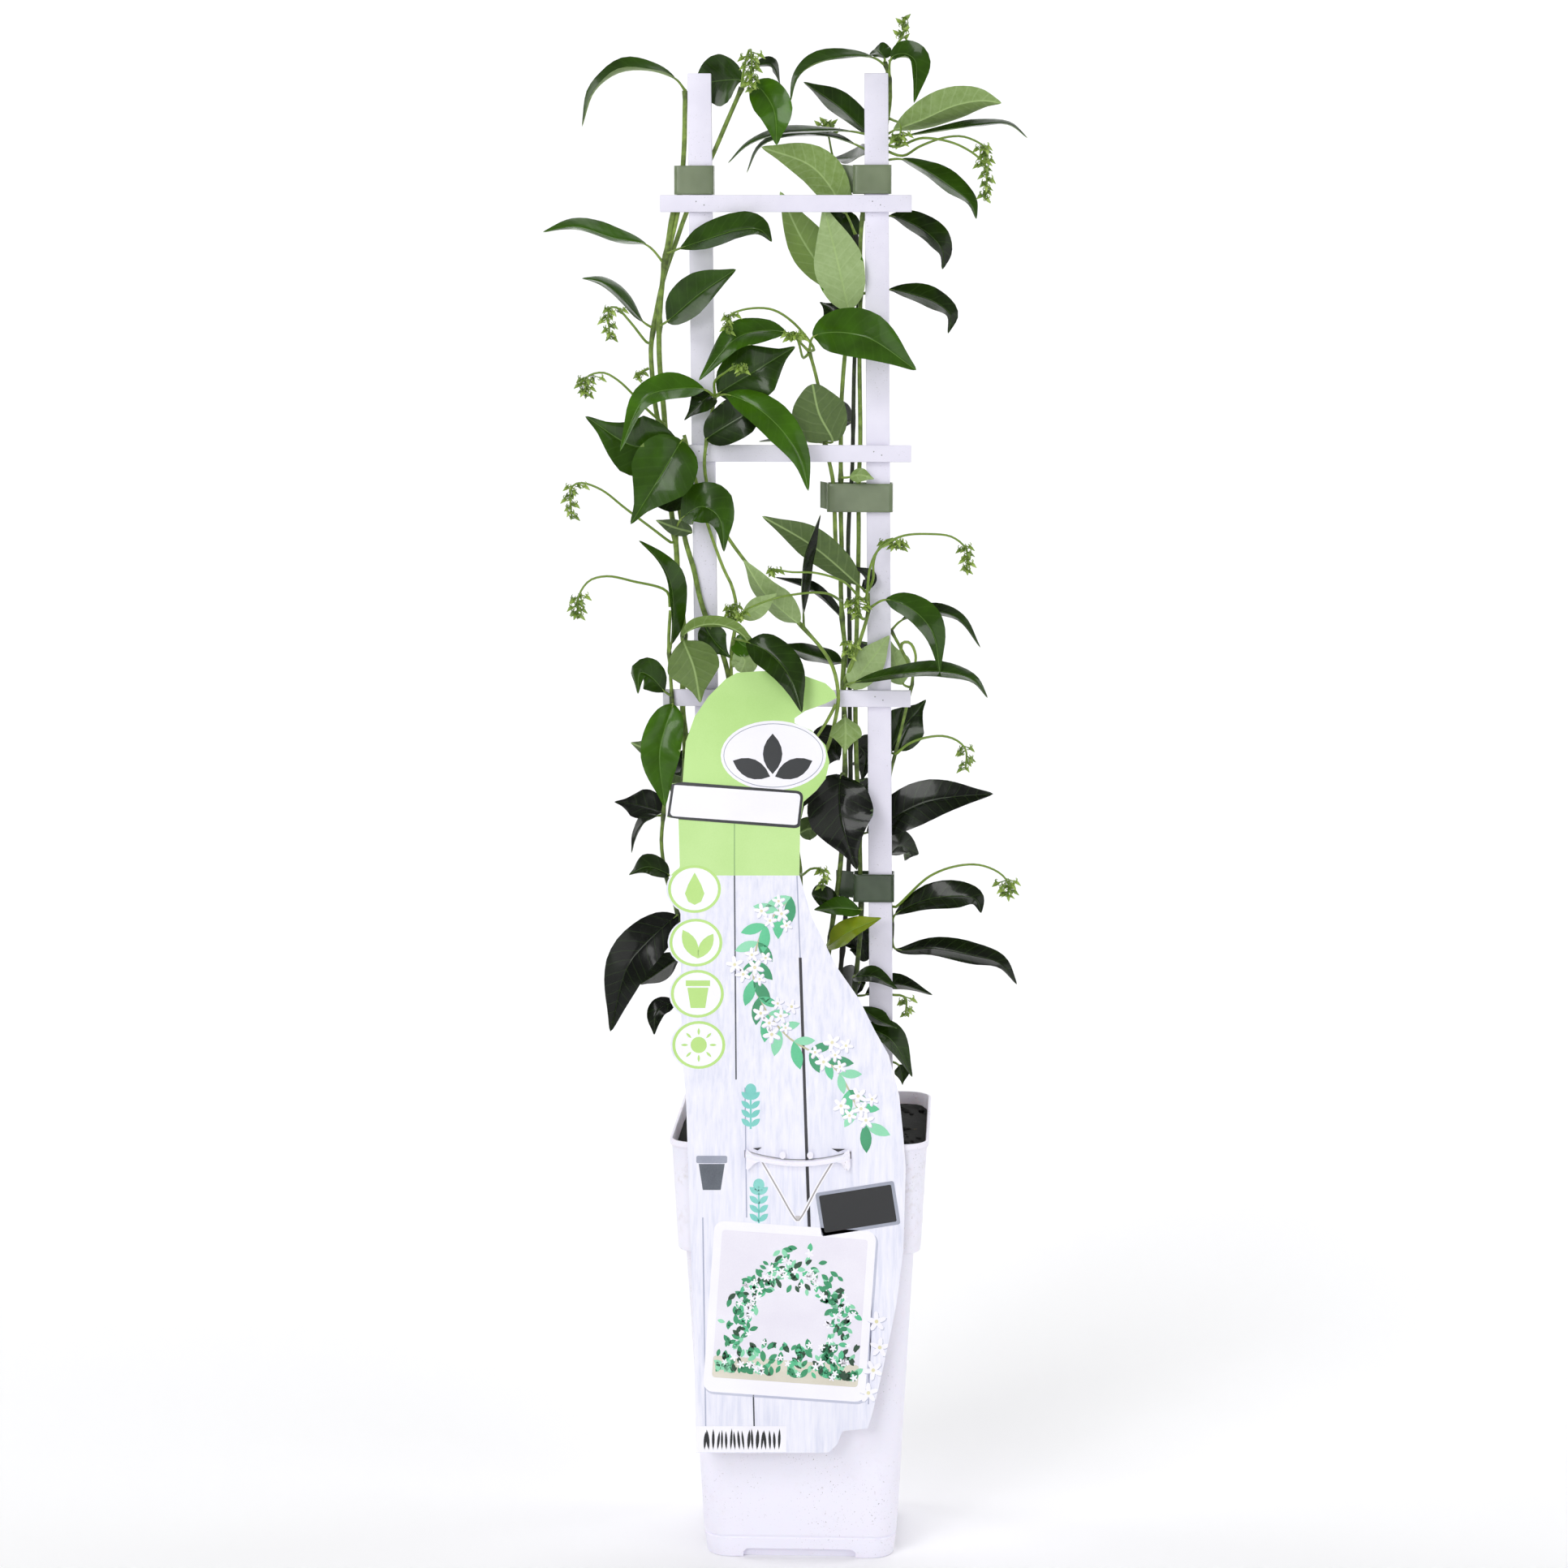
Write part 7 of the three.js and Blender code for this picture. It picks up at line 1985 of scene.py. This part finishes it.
class JASMINE_OT_card(PieceOperator, bpy.types.Operator):
    """Build the die-cut card label and its printed areas"""
    bl_idname = "jasmine.card"
    bl_label = "Card label"

    def execute(self, context):
        finishes = [card_finish("Card printed leaf green", "#BEE58E", "#B2DC80"),
                    card_finish("Card printed fresh green", "#C3E797", "#B8DF89"),
                    plank_finish(),
                    card_finish("Bare card stock", "#F5F4F2", "#E9E8E4")]
        settle(build_card_sheet(finishes), "card", "card_label")
        for piece in build_card_prints():
            settle(piece, "card", "card_label")
        return {"FINISHED"}


class JASMINE_OT_stems(PieceOperator, bpy.types.Operator):
    """Build the twining stems with their leaves"""
    bl_idname = "jasmine.stems"
    bl_label = "Leafy stems"

    def execute(self, context):
        finishes = [leaf_upper_finish(self.look), leaf_under_finish(), shoot_finish()]
        for name in STEMS:
            settle(build_stem(name, finishes, self.look.leaf_thickness / MM), "foliage", name)
        return {"FINISHED"}


class JASMINE_OT_sprays(PieceOperator, bpy.types.Operator):
    """Build the sprays of flower buds"""
    bl_idname = "jasmine.sprays"
    bl_label = "Bud sprays"

    def execute(self, context):
        finish = bud_finish()
        for name in SPRAYS:
            settle(build_spray(name, finish), "buds", name)
        return {"FINISHED"}


class JASMINE_OT_stage(PieceOperator, bpy.types.Operator):
    """Build the backdrop, lights and camera"""
    bl_idname = "jasmine.stage"
    bl_label = "Studio"

    def execute(self, context):
        build_stage(self.look)
        return {"FINISHED"}


OPERATORS = (JASMINE_OT_pot, JASMINE_OT_soil, JASMINE_OT_trellis, JASMINE_OT_ties, JASMINE_OT_card,
             JASMINE_OT_stems, JASMINE_OT_sprays, JASMINE_OT_stage)


class JASMINE_PT_panel(bpy.types.Panel):
    """Lists the builders of the potted jasmine"""
    bl_label = "Potted jasmine"
    bl_idname = "JASMINE_PT_panel"
    bl_space_type = "VIEW_3D"
    bl_region_type = "UI"
    bl_category = "Jasmine"

    def draw(self, context):
        layout = self.layout
        for name in JASMINE_PG_look.__annotations__:
            layout.prop(context.scene.jasmine_look, name)
        for operator in OPERATORS:
            layout.operator(operator.bl_idname)


CLASSES = (JASMINE_PG_look, *OPERATORS, JASMINE_PT_panel)


def register():
    for entry in CLASSES:
        bpy.utils.register_class(entry)
    bpy.types.Scene.jasmine_look = PointerProperty(type=JASMINE_PG_look)


def unregister():
    del bpy.types.Scene.jasmine_look
    for entry in reversed(CLASSES):
        bpy.utils.unregister_class(entry)


def main():
    register()
    for operator in OPERATORS:
        category, name = operator.bl_idname.split(".")
        getattr(getattr(bpy.ops, category), name)()
    bpy.context.view_layer.update()


if __name__ == "__main__":
    main()
